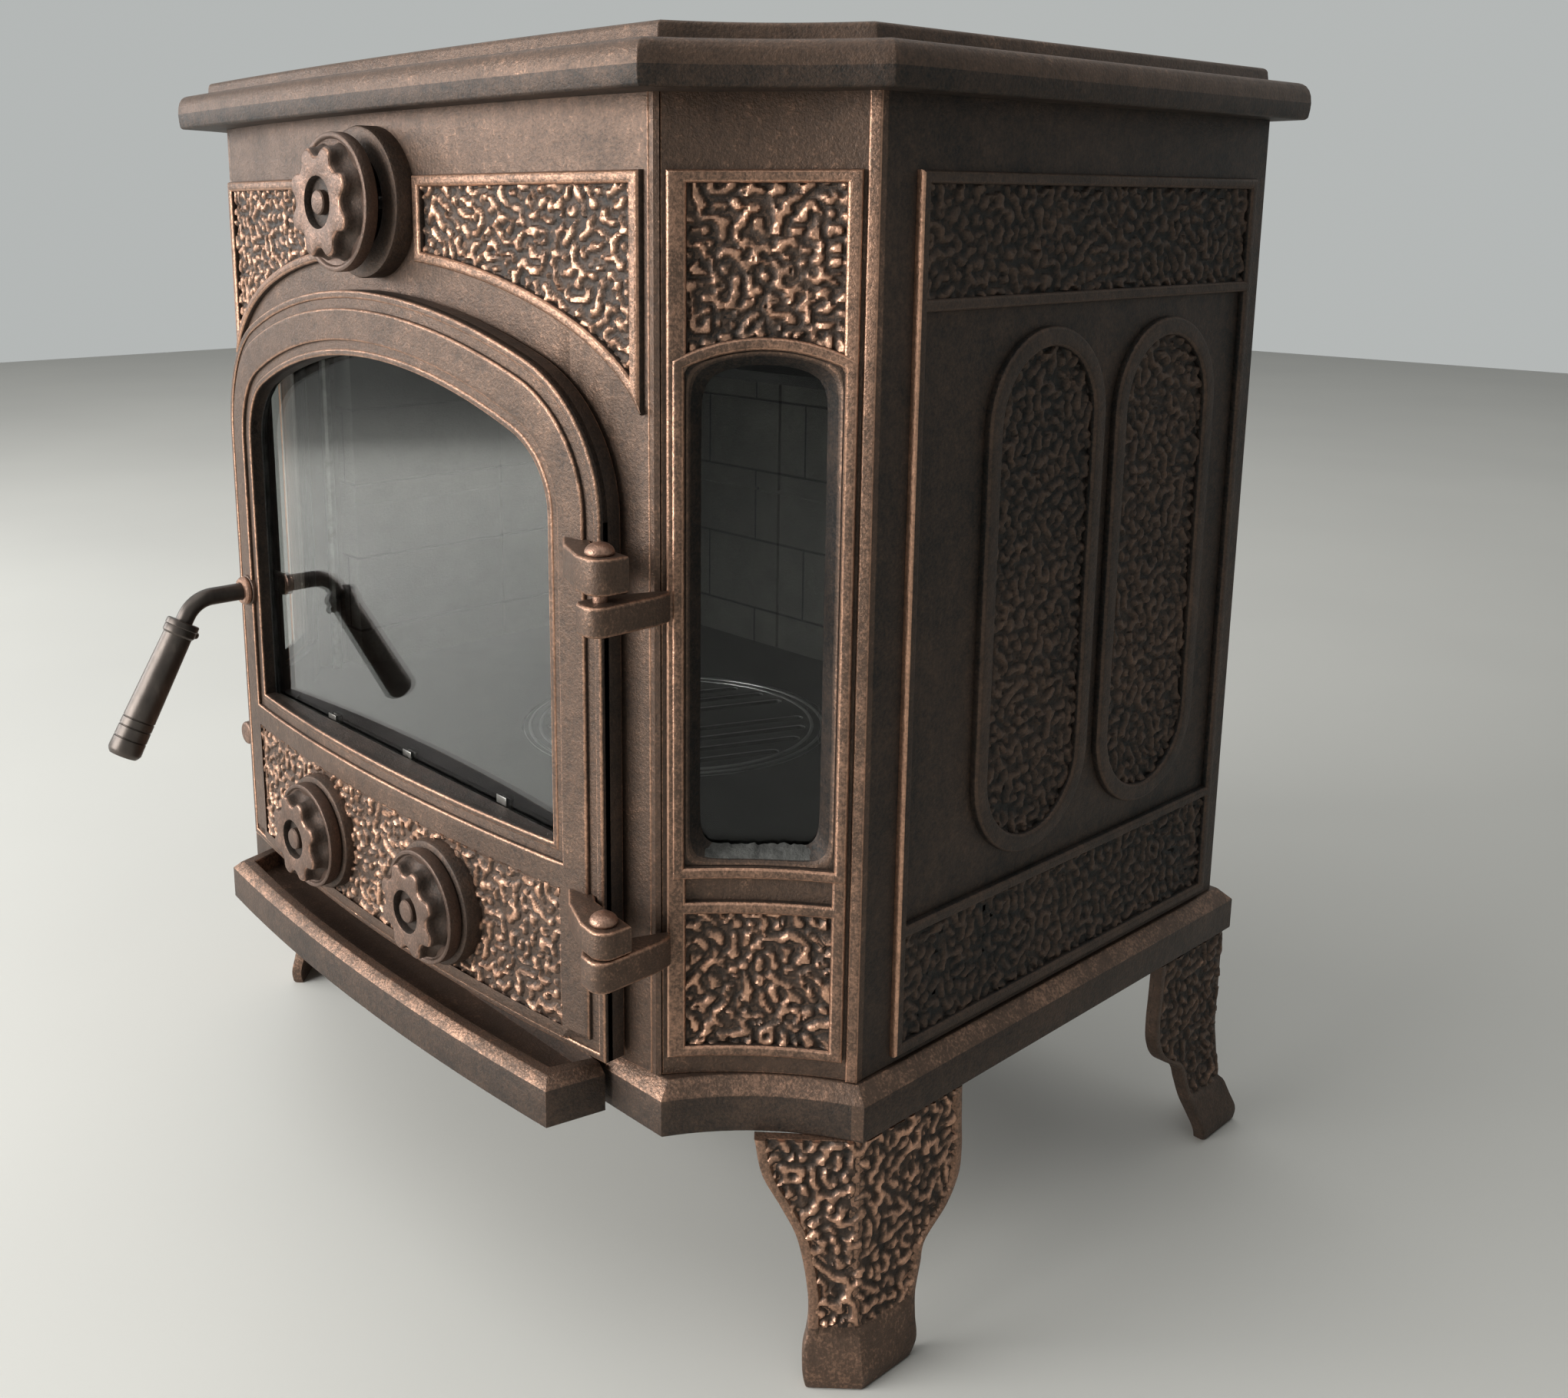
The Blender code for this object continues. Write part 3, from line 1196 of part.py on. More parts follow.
def make_air_wash():
    """The sheet duct that leads the upper air down behind the glass."""
    front = WALL + GAP
    back = front + WASH_DEPTH
    outer = box((-WASH_HALF, front, WASH_BOTTOM), (WASH_HALF, back, WASH_TOP))
    inner = box((-WASH_HALF + WASH_SHEET, front - 0.01, WASH_BOTTOM - 0.01),
                (WASH_HALF - WASH_SHEET, back - WASH_SHEET, WASH_TOP - WASH_SHEET))
    duct = bowed(cut(outer, inner), WASH_HALF)
    add_part("air_wash_duct", duct, CAST, 0.7, 0.6)


# Door

def hinge_lug(level):
    """A lug on the door's edge that sits over the hinge arm."""
    right = HINGE_X + HINGE_REACH
    front = HINGE_Y - HINGE_REACH
    outline = [(DOOR_HALF - 0.012, -0.016), (DOOR_HALF - 0.024, -0.0245), (DOOR_HALF - 0.010, -0.0350),
               (HINGE_X - 0.008, front + 0.0025), (right - 0.004, front + 0.0015), (right, front + 0.005),
               (right, HINGE_Y + 0.009), (DOOR_HALF - 0.002, HINGE_Y + 0.013)]
    return plan_solid(outline, [], level[0], level[1])


def make_door():
    """The bowed door: glass opening with a deep reveal, lower field, air seats and lugs."""
    front = -DOOR_PROUD
    door = outline_solid(door_outline(0), [], front + DOOR_LEDGE_DEPTH, -DOOR_REBATE)
    hollow = outline_solid(door_outline(DOOR_RIM_WALL), [], front + DOOR_SKIN, 0.01)
    face = outline_solid(door_outline(DOOR_LEDGE), [glass_outline(GLASS_STEP)], front,
                         front + DOOR_SKIN - 0.002)
    field = box((-DOOR_FIELD_HALF, front - 0.01, DOOR_FIELD_BOTTOM),
                (DOOR_FIELD_HALF, front + DOOR_FIELD_DEPTH + 0.0006, DOOR_FIELD_TOP))
    door = bowed(cut(joined(cut(door, hollow), face), field), DOOR_HALF)
    reveal = bowed(outline_solid(glass_outline(REVEAL_WALL), [], front + 0.005, 0.02), DOOR_HALF)
    reveal = trimmed(reveal, (0, GLASS_PLANE - GAP - GLASS_TAPE - GAP, 0), (0, 1, 0))
    opening = outline_solid(glass_outline(0), [], -0.1, 0.1)
    surface = front - front_bow(DOOR_WHEEL_X)
    seat_front = surface - DOOR_SEAT_HEIGHT
    latch_front = collar_seat() + GAP
    latch_back = -DOOR_REBATE - front_bow(HANDLE_X - LATCH_BOSS_RADIUS)
    additions = [hinge_lug(UPPER_LUG), hinge_lug(LOWER_LUG),
                 cylinder((HANDLE_X, latch_front, HANDLE_Z), (HANDLE_X, -0.020, HANDLE_Z),
                          COLLAR_RADIUS + 0.001, 18),
                 cylinder((HANDLE_X, -0.021, HANDLE_Z), (HANDLE_X, latch_back, HANDLE_Z),
                          LATCH_BOSS_RADIUS, 14)]
    air_holes = []
    spiders = []
    bores = [cylinder((HANDLE_X, -0.1, HANDLE_Z), (HANDLE_X, 0.1, HANDLE_Z), ROD_RADIUS + GAP, 12),
             cylinder((HINGE_X, HINGE_Y, LOWER_LUG[0] - 0.01), (HINGE_X, HINGE_Y, UPPER_LUG[1] + 0.01),
                      PIN_RADIUS + PIN_CLEARANCE, 12)]
    for x in (-DOOR_WHEEL_X, DOOR_WHEEL_X):
        additions.append(seat(x, DOOR_WHEEL_Z, seat_front, surface + DOOR_SKIN - 0.0015, DOOR_WHEEL_SHARE))
        air_holes.append(cylinder((x, -0.1, DOOR_WHEEL_Z), (x, 0.1, DOOR_WHEEL_Z),
                                  SEAT_BORE * DOOR_WHEEL_SHARE, TURN_STEPS))
        spiders.append(spider(x, DOOR_WHEEL_Z, surface, surface + DOOR_SKIN, DOOR_WHEEL_SHARE))
        bores.append(cylinder((x, -0.1, DOOR_WHEEL_Z), (x, 0.1, DOOR_WHEEL_Z),
                              SPINDLE_RADIUS + SPINDLE_CLEARANCE, 12))
    door = cut(joined(door, reveal), opening)
    door = joined(cut(joined(door, *additions), *air_holes), *spiders)
    back = GLASS_PLANE + GLASS_THICKNESS
    bosses = []
    for _, x, z in screw_places():
        bosses.append(cylinder((x, front - front_bow(x) + 0.005, z), (x, back, z), SCREW_BOSS_RADIUS, 12))
        bores.append(cylinder((x, back - SCREW_LENGTH, z), (x, 0.1, z), SCREW_RADIUS + GAP, 8))
    door = joined(door, *bosses)
    add_part("door", cut(door, *bores), CAST, origin=(HINGE_X, HINGE_Y, DOOR_BOTTOM))


def make_door_glass():
    """The flat door glass on its tape, and the frame and screws that hold it."""
    tape_front = GLASS_PLANE - GAP - GLASS_TAPE
    tape = outline_solid(glass_outline(GLASS_LAP), [glass_outline(0.001)], tape_front, GLASS_PLANE - GAP)
    origin = (HINGE_X, HINGE_Y, DOOR_BOTTOM)
    add_part("door_glass_tape", tape, BLACK, 0.9, 0.0, origin=origin)
    back = GLASS_PLANE + GLASS_THICKNESS
    glass = outline_solid(glass_outline(GLASS_LAP - 0.001), [], GLASS_PLANE, back)
    add_part("door_glass", glass, GLASS_COLOUR, 0.05, 0.0, origin=origin)
    front = back + GAP
    frame = outline_solid(glass_outline(RETAINER_OUTER), [glass_outline(RETAINER_INNER)], front,
                          front + RETAINER_SHEET)
    additions = []
    for x in RETAINER_TABS:
        half = RETAINER_TAB_WIDTH / 2
        additions.append(box((x - half, front + 0.0002, GLASS_SILL - RETAINER_OUTER + 0.002),
                             (x + half, front + RETAINER_SHEET - 0.0002, GLASS_SILL + RETAINER_TAB_HEIGHT)))
    holes = []
    for name, x, z in screw_places():
        additions.append(cylinder((x, front + 0.0001, z), (x, front + RETAINER_SHEET - 0.0001, z),
                                  RETAINER_EAR, 14))
        holes.append(cylinder((x, -0.1, z), (x, 0.1, z), SCREW_RADIUS + GAP, 8))
        head = front + RETAINER_SHEET + GAP + SCREW_HEAD
        length = head - SCREW_HEAD - back + SCREW_LENGTH - 0.001
        screw = bolt((x, head, z), (0, -1, 0), SCREW_RADIUS, length, SCREW_HEAD_RADIUS, SCREW_HEAD, 8)
        add_part(name, screw, STEEL, 0.35, 1.0, origin=origin)
    add_part("glass_retainer", cut(joined(frame, *additions), *holes), STEEL, 0.35, 1.0, origin=origin)


def screw_places():
    """The screws of the glass frame: name, x and z."""
    low = GLASS_SILL - GLASS_LAP + 0.001 - SCREW_OUT
    radius = GLASS_TOP_RADIUS + GLASS_LAP - 0.001
    high = GLASS_TOP - GLASS_TOP_RADIUS + math.sqrt(radius ** 2 - SCREW_X ** 2) + SCREW_OUT
    return [("glass_screw_1", -SCREW_X, low), ("glass_screw_2", SCREW_X, low),
            ("glass_screw_3", -SCREW_X, high), ("glass_screw_4", SCREW_X, high)]


def make_door_rope():
    """The rope seal round the back of the door, just off the front panel."""
    outline = door_outline(ROPE_INSET)
    path = []
    for index, (x, z) in enumerate(outline):
        path.append((x, z))
        if index in (0, 1):
            following = outline[index + 1]
            for step in range(1, 10):
                share = step / 10
                path.append((x + (following[0] - x) * share, z + (following[1] - z) * share))
    closing = outline[-1]
    for step in range(1, 10):
        share = step / 10
        path.append((closing[0] + (outline[0][0] - closing[0]) * share,
                     closing[1] + (outline[0][1] - closing[1]) * share))
    curve = bpy.data.curves.new("rope", "CURVE")
    curve.dimensions = "3D"
    curve.bevel_depth = ROPE_RADIUS
    curve.bevel_resolution = 1
    spline = curve.splines.new("POLY")
    spline.points.add(len(path) - 1)
    for target, (x, z) in zip(spline.points, path):
        target.co = (x, -DOOR_PROUD + DOOR_SKIN + ROPE_RADIUS + GAP - front_bow(x), z, 1)
    spline.use_cyclic_u = True
    rope = evaluated_mesh(linked("rope", curve))
    add_part("door_rope", rope, BLACK, 0.95, 0.0, origin=(HINGE_X, HINGE_Y, DOOR_BOTTOM))


def make_hinge_pins():
    """Two dome-headed pins that drop through the door's lugs into the arms."""
    for name, lug, arm in (("hinge_pin_upper", UPPER_LUG, UPPER_ARM), ("hinge_pin_lower", LOWER_LUG, LOWER_ARM)):
        top = lug[1] + GAP
        profile = [(0, top + PIN_HEAD_HEIGHT)]
        for index in range(1, 5):
            angle = math.pi / 2 * index / 4
            profile.append((PIN_HEAD_RADIUS * math.sin(angle), top + 0.001 + (PIN_HEAD_HEIGHT - 0.001) *
                            math.cos(angle)))
        profile += [(PIN_HEAD_RADIUS - 0.0005, top), (PIN_RADIUS, top), (PIN_RADIUS, arm[0]), (0, arm[0])]
        pin = moved(turned(profile, 14), Matrix.Translation((HINGE_X, HINGE_Y, 0)))
        add_part(name, pin, COPPER, 0.4, 0.9, origin=(HINGE_X, HINGE_Y, top))


# Door handle

def make_handle():
    """The bent rod through the door, its collar, the grip on its end and the catch inside."""
    origin = (HANDLE_X, 0, HANDLE_Z)
    inside = catch_front() + CATCH_THICKNESS
    points = [(HANDLE_X, inside, HANDLE_Z), (HANDLE_X, ROD_BEND_START, HANDLE_Z)]
    for index in range(1, 8):
        angle = ROD_BEND_ANGLE * index / 7
        points.append((HANDLE_X, ROD_BEND_START - ROD_BEND_RADIUS * math.sin(angle),
                       HANDLE_Z - ROD_BEND_RADIUS * (1 - math.cos(angle))))
    way = Vector((0, -math.cos(ROD_BEND_ANGLE), -math.sin(ROD_BEND_ANGLE)))
    bend_end = Vector(points[-1])
    points.append(tuple(bend_end + way * (GRIP_START + GRIP_SOCKET - 0.001)))
    add_part("handle_rod", tube(points, ROD_RADIUS, 12), STEEL, 0.4, 0.9, origin=origin)
    bore = ROD_RADIUS + GAP
    radius = GRIP_RADIUS
    length = GRIP_LENGTH
    profile = [(bore, 0), (radius, 0), (radius + 0.0004, 0.001), (radius + 0.0004, 0.0085),
               (radius - 0.0006, 0.0095)]
    for groove in GRIP_GROOVES:
        place = length - groove
        profile += [(radius - 0.0004, place - 0.001), (radius - 0.0012, place), (radius - 0.0004, place + 0.001)]
    profile += [(radius - 0.0003, length - 0.0015), (radius - 0.0018, length), (0, length),
                (0, GRIP_SOCKET), (bore, GRIP_SOCKET)]
    start = bend_end + way * GRIP_START
    turn = Vector((0, 0, 1)).rotation_difference(way).to_matrix().to_4x4()
    grip = moved(turned(profile, 16), Matrix.Translation(start) @ turn)
    side = Vector((0, math.sin(ROD_BEND_ANGLE), -math.cos(ROD_BEND_ANGLE)))
    screw_middle = start + way * 0.006
    hole = cylinder(screw_middle + side * 0.004, screw_middle + side * 0.03, 0.0025 + GAP, 12)
    add_part("handle_grip", cut(grip, hole), STEEL, 0.35, 0.9, origin=origin)
    screw = cylinder(screw_middle + side * (ROD_RADIUS + GAP), screw_middle + side * (GRIP_RADIUS + 0.0025),
                     0.0025, 12)
    add_part("grip_screw", screw, STEEL, 0.4, 1.0, origin=origin)
    profile = [(bore, 0), (COLLAR_RADIUS, 0), (COLLAR_RADIUS, COLLAR_THICKNESS * 0.5),
               (COLLAR_RADIUS - 0.0018, COLLAR_THICKNESS), (bore, COLLAR_THICKNESS)]
    turn = Matrix.Translation((HANDLE_X, collar_seat(), HANDLE_Z)) @ Matrix.Rotation(math.pi / 2, 4, "X")
    add_part("handle_collar", moved(turned(profile, 16), turn), COPPER, 0.35, 0.9, origin=origin)
    front = catch_front()
    back = front + CATCH_THICKNESS
    hub = cylinder((HANDLE_X, front, HANDLE_Z), (HANDLE_X, back, HANDLE_Z), CATCH_HUB_RADIUS, 16)
    half = CATCH_WIDTH / 2
    tongue = box((HANDLE_X - CATCH_REACH, front + 0.0003, HANDLE_Z - half),
                 (HANDLE_X, back - 0.0003, HANDLE_Z + half))
    hole = cylinder((HANDLE_X, -0.1, HANDLE_Z), (HANDLE_X, 0.1, HANDLE_Z), ROD_RADIUS + GAP, 12)
    add_part("door_catch", cut(joined(hub, tongue), hole), STEEL, 0.4, 0.9, origin=origin)


def collar_seat():
    """The back face of the handle's collar, just off its boss on the door."""
    return -DOOR_PROUD - front_bow(abs(HANDLE_X) - COLLAR_RADIUS) - 2 * GAP


def catch_front():
    """The front face of the catch, just behind the front panel's edge."""
    return WALL - front_bow(HANDLE_X - CATCH_REACH) + CATCH_PLAY


# Air wheels

def wheel_mesh(share):
    """A dished valve disc and a scalloped knob in one casting, facing +Z from its back."""
    bore = SPINDLE_RADIUS + SPINDLE_CLEARANCE
    floor = WHEEL_DEPTH - KNOB_RECESS_DEPTH
    recess = KNOB_RECESS_RADIUS * share
    middle = KNOB_CORE_RADIUS * share
    rim = WHEEL_RADIUS * share
    profile = [(bore, 0), (bore, floor), (recess, floor), (recess, WHEEL_DEPTH),
               (middle, WHEEL_DEPTH), (middle, WHEEL_DISC - WHEEL_DISH),
               (rim - 0.0035, WHEEL_DISC - WHEEL_DISH), (rim - 0.0030, WHEEL_DISC),
               (rim - 0.0010, WHEEL_DISC), (rim, WHEEL_DISC - 0.001), (rim, 0.0015), (rim - 0.0015, 0)]
    core = turned(profile[::-1], TURN_STEPS)
    outline = []
    count = KNOB_LOBES * 6
    for index in range(count):
        angle = 2 * math.pi * index / count
        wave = abs(math.sin(KNOB_LOBES * angle / 2)) ** 0.6
        radius = (KNOB_RADIUS - KNOB_LOBE_DEPTH * (1 - wave)) * share
        outline.append((radius * math.cos(angle), radius * math.sin(angle)))
    hole = circle(middle - 0.003, 16)
    petals = plan_solid(outline, [hole], WHEEL_DEPTH - KNOB_THICKNESS, WHEEL_DEPTH - 0.0004)
    return joined(core, petals)


def spindle_mesh(length):
    """A spindle with a round head, facing +Z, with its head's underside in the wheel's recess."""
    seat_height = WHEEL_DEPTH - KNOB_RECESS_DEPTH + GAP
    head = WHEEL_DEPTH
    profile = [(0, head), (SPINDLE_HEAD_RADIUS - 0.001, head), (SPINDLE_HEAD_RADIUS, head - 0.001),
               (SPINDLE_HEAD_RADIUS, seat_height), (SPINDLE_RADIUS, seat_height),
               (SPINDLE_RADIUS, -length), (0, -length)]
    return turned(profile, 12)


def make_air_wheels():
    """The upper wheel on the front panel and two lower wheels on the door."""
    door_surface = -DOOR_PROUD - front_bow(DOOR_WHEEL_X) - DOOR_SEAT_HEIGHT
    upper_through = -SEAT_FRONT - FRONT_BOW + WALL
    door_back = door_surface - DOOR_WHEEL_OPEN
    places = [("upper_air", 0, TOP_WHEEL_Z, SEAT_FRONT - TOP_WHEEL_OPEN, upper_through, 1),
              ("left_air", -DOOR_WHEEL_X, DOOR_WHEEL_Z, door_back, DOOR_SKIN, DOOR_WHEEL_SHARE),
              ("right_air", DOOR_WHEEL_X, DOOR_WHEEL_Z, door_back, DOOR_SKIN, DOOR_WHEEL_SHARE)]
    for name, x, z, back, through, share in places:
        turn = Matrix.Translation((x, back, z)) @ Matrix.Rotation(math.pi / 2, 4, "X")
        wheel = moved(wheel_mesh(share), turn)
        add_part(name + "_wheel", wheel, COPPER, 0.45, 0.85, origin=(x, back, z))
        spindle = moved(spindle_mesh(through + SPINDLE_TAIL), turn)
        add_part(name + "_spindle", spindle, STEEL, 0.4, 1.0, origin=(x, back, z))


STOVE = clear_scene()
make_base_plate()
make_ash_lip()
make_legs()
make_front_panel()
make_corner_panels()
make_side_panels()
make_back_panel()
make_flue_collar()
make_top_plate()
make_tie_rods()
make_windows()
make_floor_plate()
make_grate()
make_riddling_rod()
make_ash_pit()
make_lining()
make_air_wash()
make_door()
make_door_glass()
make_door_rope()
make_hinge_pins()
make_handle()
make_air_wheels()
centre_on_floor()
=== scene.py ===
import json
import math

import bmesh
import bpy
import numpy as np
from mathutils import Matrix, Vector

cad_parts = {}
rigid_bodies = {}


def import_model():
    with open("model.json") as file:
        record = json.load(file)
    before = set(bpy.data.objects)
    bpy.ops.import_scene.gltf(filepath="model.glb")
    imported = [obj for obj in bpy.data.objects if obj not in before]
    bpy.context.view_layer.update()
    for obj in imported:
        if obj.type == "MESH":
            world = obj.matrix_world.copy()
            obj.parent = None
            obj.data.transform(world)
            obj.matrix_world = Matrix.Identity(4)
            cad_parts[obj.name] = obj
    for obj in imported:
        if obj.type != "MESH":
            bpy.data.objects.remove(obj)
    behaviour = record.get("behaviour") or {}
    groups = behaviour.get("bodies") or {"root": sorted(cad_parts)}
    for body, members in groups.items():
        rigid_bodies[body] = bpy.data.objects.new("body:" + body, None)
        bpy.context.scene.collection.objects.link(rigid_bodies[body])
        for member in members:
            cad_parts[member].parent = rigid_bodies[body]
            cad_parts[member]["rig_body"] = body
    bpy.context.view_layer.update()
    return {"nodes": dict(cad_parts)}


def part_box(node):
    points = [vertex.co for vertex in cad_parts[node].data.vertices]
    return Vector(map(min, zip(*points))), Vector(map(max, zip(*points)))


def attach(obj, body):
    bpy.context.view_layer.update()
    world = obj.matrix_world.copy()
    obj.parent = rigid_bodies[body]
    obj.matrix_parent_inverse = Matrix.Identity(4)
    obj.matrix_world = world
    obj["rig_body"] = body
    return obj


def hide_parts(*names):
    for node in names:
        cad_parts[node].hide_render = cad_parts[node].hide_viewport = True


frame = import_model()

# Casting sizes, in metres, as in the stove's source
SIDE_HALF = 0.304
CORNER_REACH = 0.0765
FRONT_HALF = SIDE_HALF - CORNER_REACH
CORNER_LENGTH = CORNER_REACH * math.sqrt(2)
BODY_DEPTH = 0.436
BASE_BOTTOM = 0.147
BODY_BOTTOM = 0.177
BODY_TOP = 0.689
TOP_RIM_HEIGHT = 0.022
TOP_STEP_HEIGHT = 0.009
WALL = 0.007
FRONT_BOW = 0.018
CORNER_HOLLOW = 0.006
GAP = 0.0003
JOINT_INSET = 0.003
PANEL_TOP = BODY_TOP + 0.0097
PANEL_BOTTOM = BODY_BOTTOM + GAP
PLATE_HOLLOW = 0.0085
FRAME_PROUD = 0.0045
FRAME_WIDTH = 0.0065
FRAME_TOP = 0.6535
FRAME_BOTTOM = 0.189
FRAME_SINK = 0.002
DOOR_HALF = 0.208
DOOR_BOTTOM = 0.183
DOOR_TOP = 0.5888
DOOR_TOP_RADIUS = 0.430
DOOR_CORNER_RADIUS = 0.085
DOOR_PROUD = 0.018
DOOR_SKIN = 0.008
GLASS_HALF = 0.170
GLASS_SILL = 0.300
GLASS_TOP = 0.5505
GLASS_TOP_RADIUS = 0.362
GLASS_CORNER_RADIUS = 0.045
GLASS_PLANE = -0.0135
FLOOR_TOP = 0.270
GRATE_Y = BODY_DEPTH / 2 - 0.003
GRATE_RADIUS = 0.110
GRATE_THICKNESS = 0.007
LEVER_WIDTH = 0.016
LEVER_DROP = 0.0145
DOOR_FIELD = (-0.1745, 0.1745, 0.190, 0.2735)
DOOR_FIELD_DEPTH = 0.0025
HINGE_X = 0.229
HINGE_Y = -0.036
HINGE_REACH = 0.0115
UPPER_LUG = (0.4530, 0.4715)
UPPER_ARM = (0.4325, 0.4480)
LOWER_LUG = (0.2632, 0.2785)
LOWER_ARM = (0.2455, 0.2627)
HANDLE_X = -0.186
HANDLE_Z = 0.373
WHEEL_DEPTH = 0.0175
TOP_WHEEL_Z = 0.6388
DOOR_WHEEL_X = 0.0695
DOOR_WHEEL_Z = 0.2331
DOOR_WHEEL_SHARE = 0.88
SEAT_RADIUS = 0.043
SEAT_BORE = 0.027
FLUE_Z = 0.602
SIDE_FRAME_BOTTOM = 0.183
FIELD_LAP = 0.003
HANDLE_SEAT_X = 0.1762
HANDLE_INSIDE_X = 0.1936
ROD_HOLE = 0.0063
GRATE_TURN = math.radians(68)
SIDES = (("right", 1), ("left", -1))

# The side ovals: their middle, their spacing, then radius, bottom and top of the bar and of the grain
OVAL_MIDDLE = 0.274
OVAL_SPACING = 0.117
OVAL_OUTER = (0.053, 0.272, 0.5735)
OVAL_INNER = (0.042, 0.283, 0.5625)
OVAL_FIELD = (0.045, 0.280, 0.5655)

# Where a corner casting starts along its length, clear of the front casting's edge
JOINT_START = (WALL * math.sin(math.pi / 4) - JOINT_INSET + GAP) / math.cos(math.pi / 4)

# The cell of the worm-grain grids, and the height that the grain stands
CELL = 0.00118
GRAIN_HEIGHT = 0.0026
BOW_SLICES = 40
HOLLOW_SLICES = 18
TURN_STEPS = 72

# The frame's origin lies under the middle of the stove; the sizes above start at the front corners
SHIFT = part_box("back_panel")[1].y - BODY_DEPTH

# The body that each node of the frame rides on
NODE_BODY = {name: node["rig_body"] for name, node in frame["nodes"].items()}


# Camera, first

def make_camera():
    """The photograph's place and view."""
    data = bpy.data.cameras.new("photo_view")
    data.sensor_width = 36.0
    data.lens = 34.704
    data.shift_x = 0.0677
    data.shift_y = -0.1063
    data.clip_start = 0.05
    camera = bpy.data.objects.new("photo_view", data)
    camera.location = (0.7900, -0.657449, 0.6338)
    camera.rotation_euler = (math.radians(90 - 11.99), 0.0, math.radians(48.764))
    bpy.context.scene.collection.objects.link(camera)
    bpy.context.scene.camera = camera


make_camera()


# Shader maths

class Level:
    """A number that varies over a surface; arithmetic on it adds the Math nodes."""

    def __init__(self, finish, socket):
        self.finish = finish
        self.socket = socket

    def maths(self, operation, *values):
        sockets = dict(enumerate(values))
        return self.finish.node("ShaderNodeMath", {"operation": operation}, sockets)

    def __add__(self, other):
        return self.maths("ADD", self, other)

    def __radd__(self, other):
        return self.maths("ADD", other, self)

    def __sub__(self, other):
        return self.maths("SUBTRACT", self, other)

    def __rsub__(self, other):
        return self.maths("SUBTRACT", other, self)

    def __mul__(self, other):
        return self.maths("MULTIPLY", self, other)

    def __rmul__(self, other):
        return self.maths("MULTIPLY", other, self)

    def limited(self, low, high):
        """The level spread so that low becomes 0 and high becomes 1, and held between them."""
        settings = {"interpolation_type": "SMOOTHSTEP"}
        return self.finish.node("ShaderNodeMapRange", settings, {0: self, 1: low, 2: high})


class Finish:
    """A material, with one method that makes its nodes."""

    def __init__(self, name):
        self.material = bpy.data.materials.new(name)
        self.material.use_nodes = True
        self.tree = self.material.node_tree
        self.shader = self.tree.nodes["Principled BSDF"]
        self.place = self.node("ShaderNodeTexCoord", {}, {}, "Object")

    def feed(self, socket, value):
        """Put a number, a colour or another node's output into a socket."""
        if isinstance(value, Level):
            value = value.socket
        if isinstance(value, bpy.types.NodeSocket):
            self.tree.links.new(value, socket)
        else:
            socket.default_value = value

    def node(self, kind, settings, sockets, output=0):
        """Make a node: its settings first, then the values or links of its sockets."""
        made = self.tree.nodes.new(kind)
        for name, value in settings.items():
            if name == "stops":
                ramp = made.color_ramp
                while len(ramp.elements) < len(value):
                    ramp.elements.new(0.5)
                for element, (place, colour) in zip(ramp.elements, value):
                    element.position = place
                    element.color = colour
            else:
                setattr(made, name, value)
        for name, value in sockets.items():
            self.feed(made.inputs[name], value)
        return Level(self, made.outputs[output])

    def noise(self, scale, detail=3.0, roughness=0.55, stretch=(1, 1, 1)):
        """Noise on the object's own coordinates; its features are about 1 / scale metres."""
        place = self.place
        if stretch != (1, 1, 1):
            place = self.node("ShaderNodeMapping", {}, {"Vector": place, "Scale": stretch})
        return self.node("ShaderNodeTexNoise", {}, {"Vector": place, "Scale": scale, "Detail": detail,
                                                    "Roughness": roughness})

    def ramp(self, level, stops):
        """A colour ramp over a level."""
        return self.node("ShaderNodeValToRGB", {"stops": stops}, {0: level})

    def attribute(self, name):
        """A number painted on the mesh."""
        return self.node("ShaderNodeAttribute", {"attribute_name": name}, {}, "Fac")

    def bump(self, height, strength, distance):
        """Bump that feeds the shader's normal."""
        made = self.node("ShaderNodeBump", {}, {"Height": height, "Strength": strength,
                                                "Distance": distance})
        self.feed(self.shader.inputs["Normal"], made)

    def set(self, **values):
        """Set sockets of the main shader by name, with _ for a space."""
        for name, value in values.items():
            self.feed(self.shader.inputs[name.replace("_", " ")], value)
        return self.material


def rgb(red, green, blue):
    return (red, green, blue, 1.0)


def between(first, second, share):
    """A colour a share of the way from the first to the second."""
    return rgb(*[a * (1 - share) + b * share for a, b in zip(first, second)])


def rubbed_iron(name, dark, brown, copper, grain):
    """Cast iron under black paint, with copper rubbed on its high places; its painted level also holds painted
    shade and highlights.
    """
    finish = Finish(name)
    rub = finish.attribute("rub")
    wide = finish.noise(7.0, 3.0, 0.5)
    patches = finish.noise(38.0, 4.0, 0.6)
    streaks = finish.noise(26.0, 3.0, 0.6, (1.0, 1.0, 0.18))
    sand = finish.noise(620.0, 2.0, 0.6)
    fine = finish.noise(1500.0, 1.0, 0.5)
    worn = finish.noise(150.0, 3.0, 0.65)
    cloud = (wide - 0.5) * 0.5 + (patches - 0.5) * 0.5 + (streaks - 0.5) * 0.25 + (worn - 0.5) * 0.6
    level = rub + cloud * 0.55 + (sand - 0.5) * 0.50
    colour = finish.ramp(level, [(0.04, rgb(*dark)), (0.26, between(dark, brown, 0.4)), (0.52, rgb(*brown)),
                                 (0.80, between(brown, copper, 0.55)), (1.0, rgb(*copper))])
    shine = level.limited(0.1, 1.0)
    finish.bump(sand * 0.8 + fine * 0.35 + worn * 0.9 + patches * 0.5, grain, 0.0014)
    return finish.set(Base_Color=colour, Metallic=0.50 + shine * 0.40, Specular_IOR_Level=0.35,
                      Roughness=0.58 - shine * 0.22 + (sand - 0.5) * 0.16)


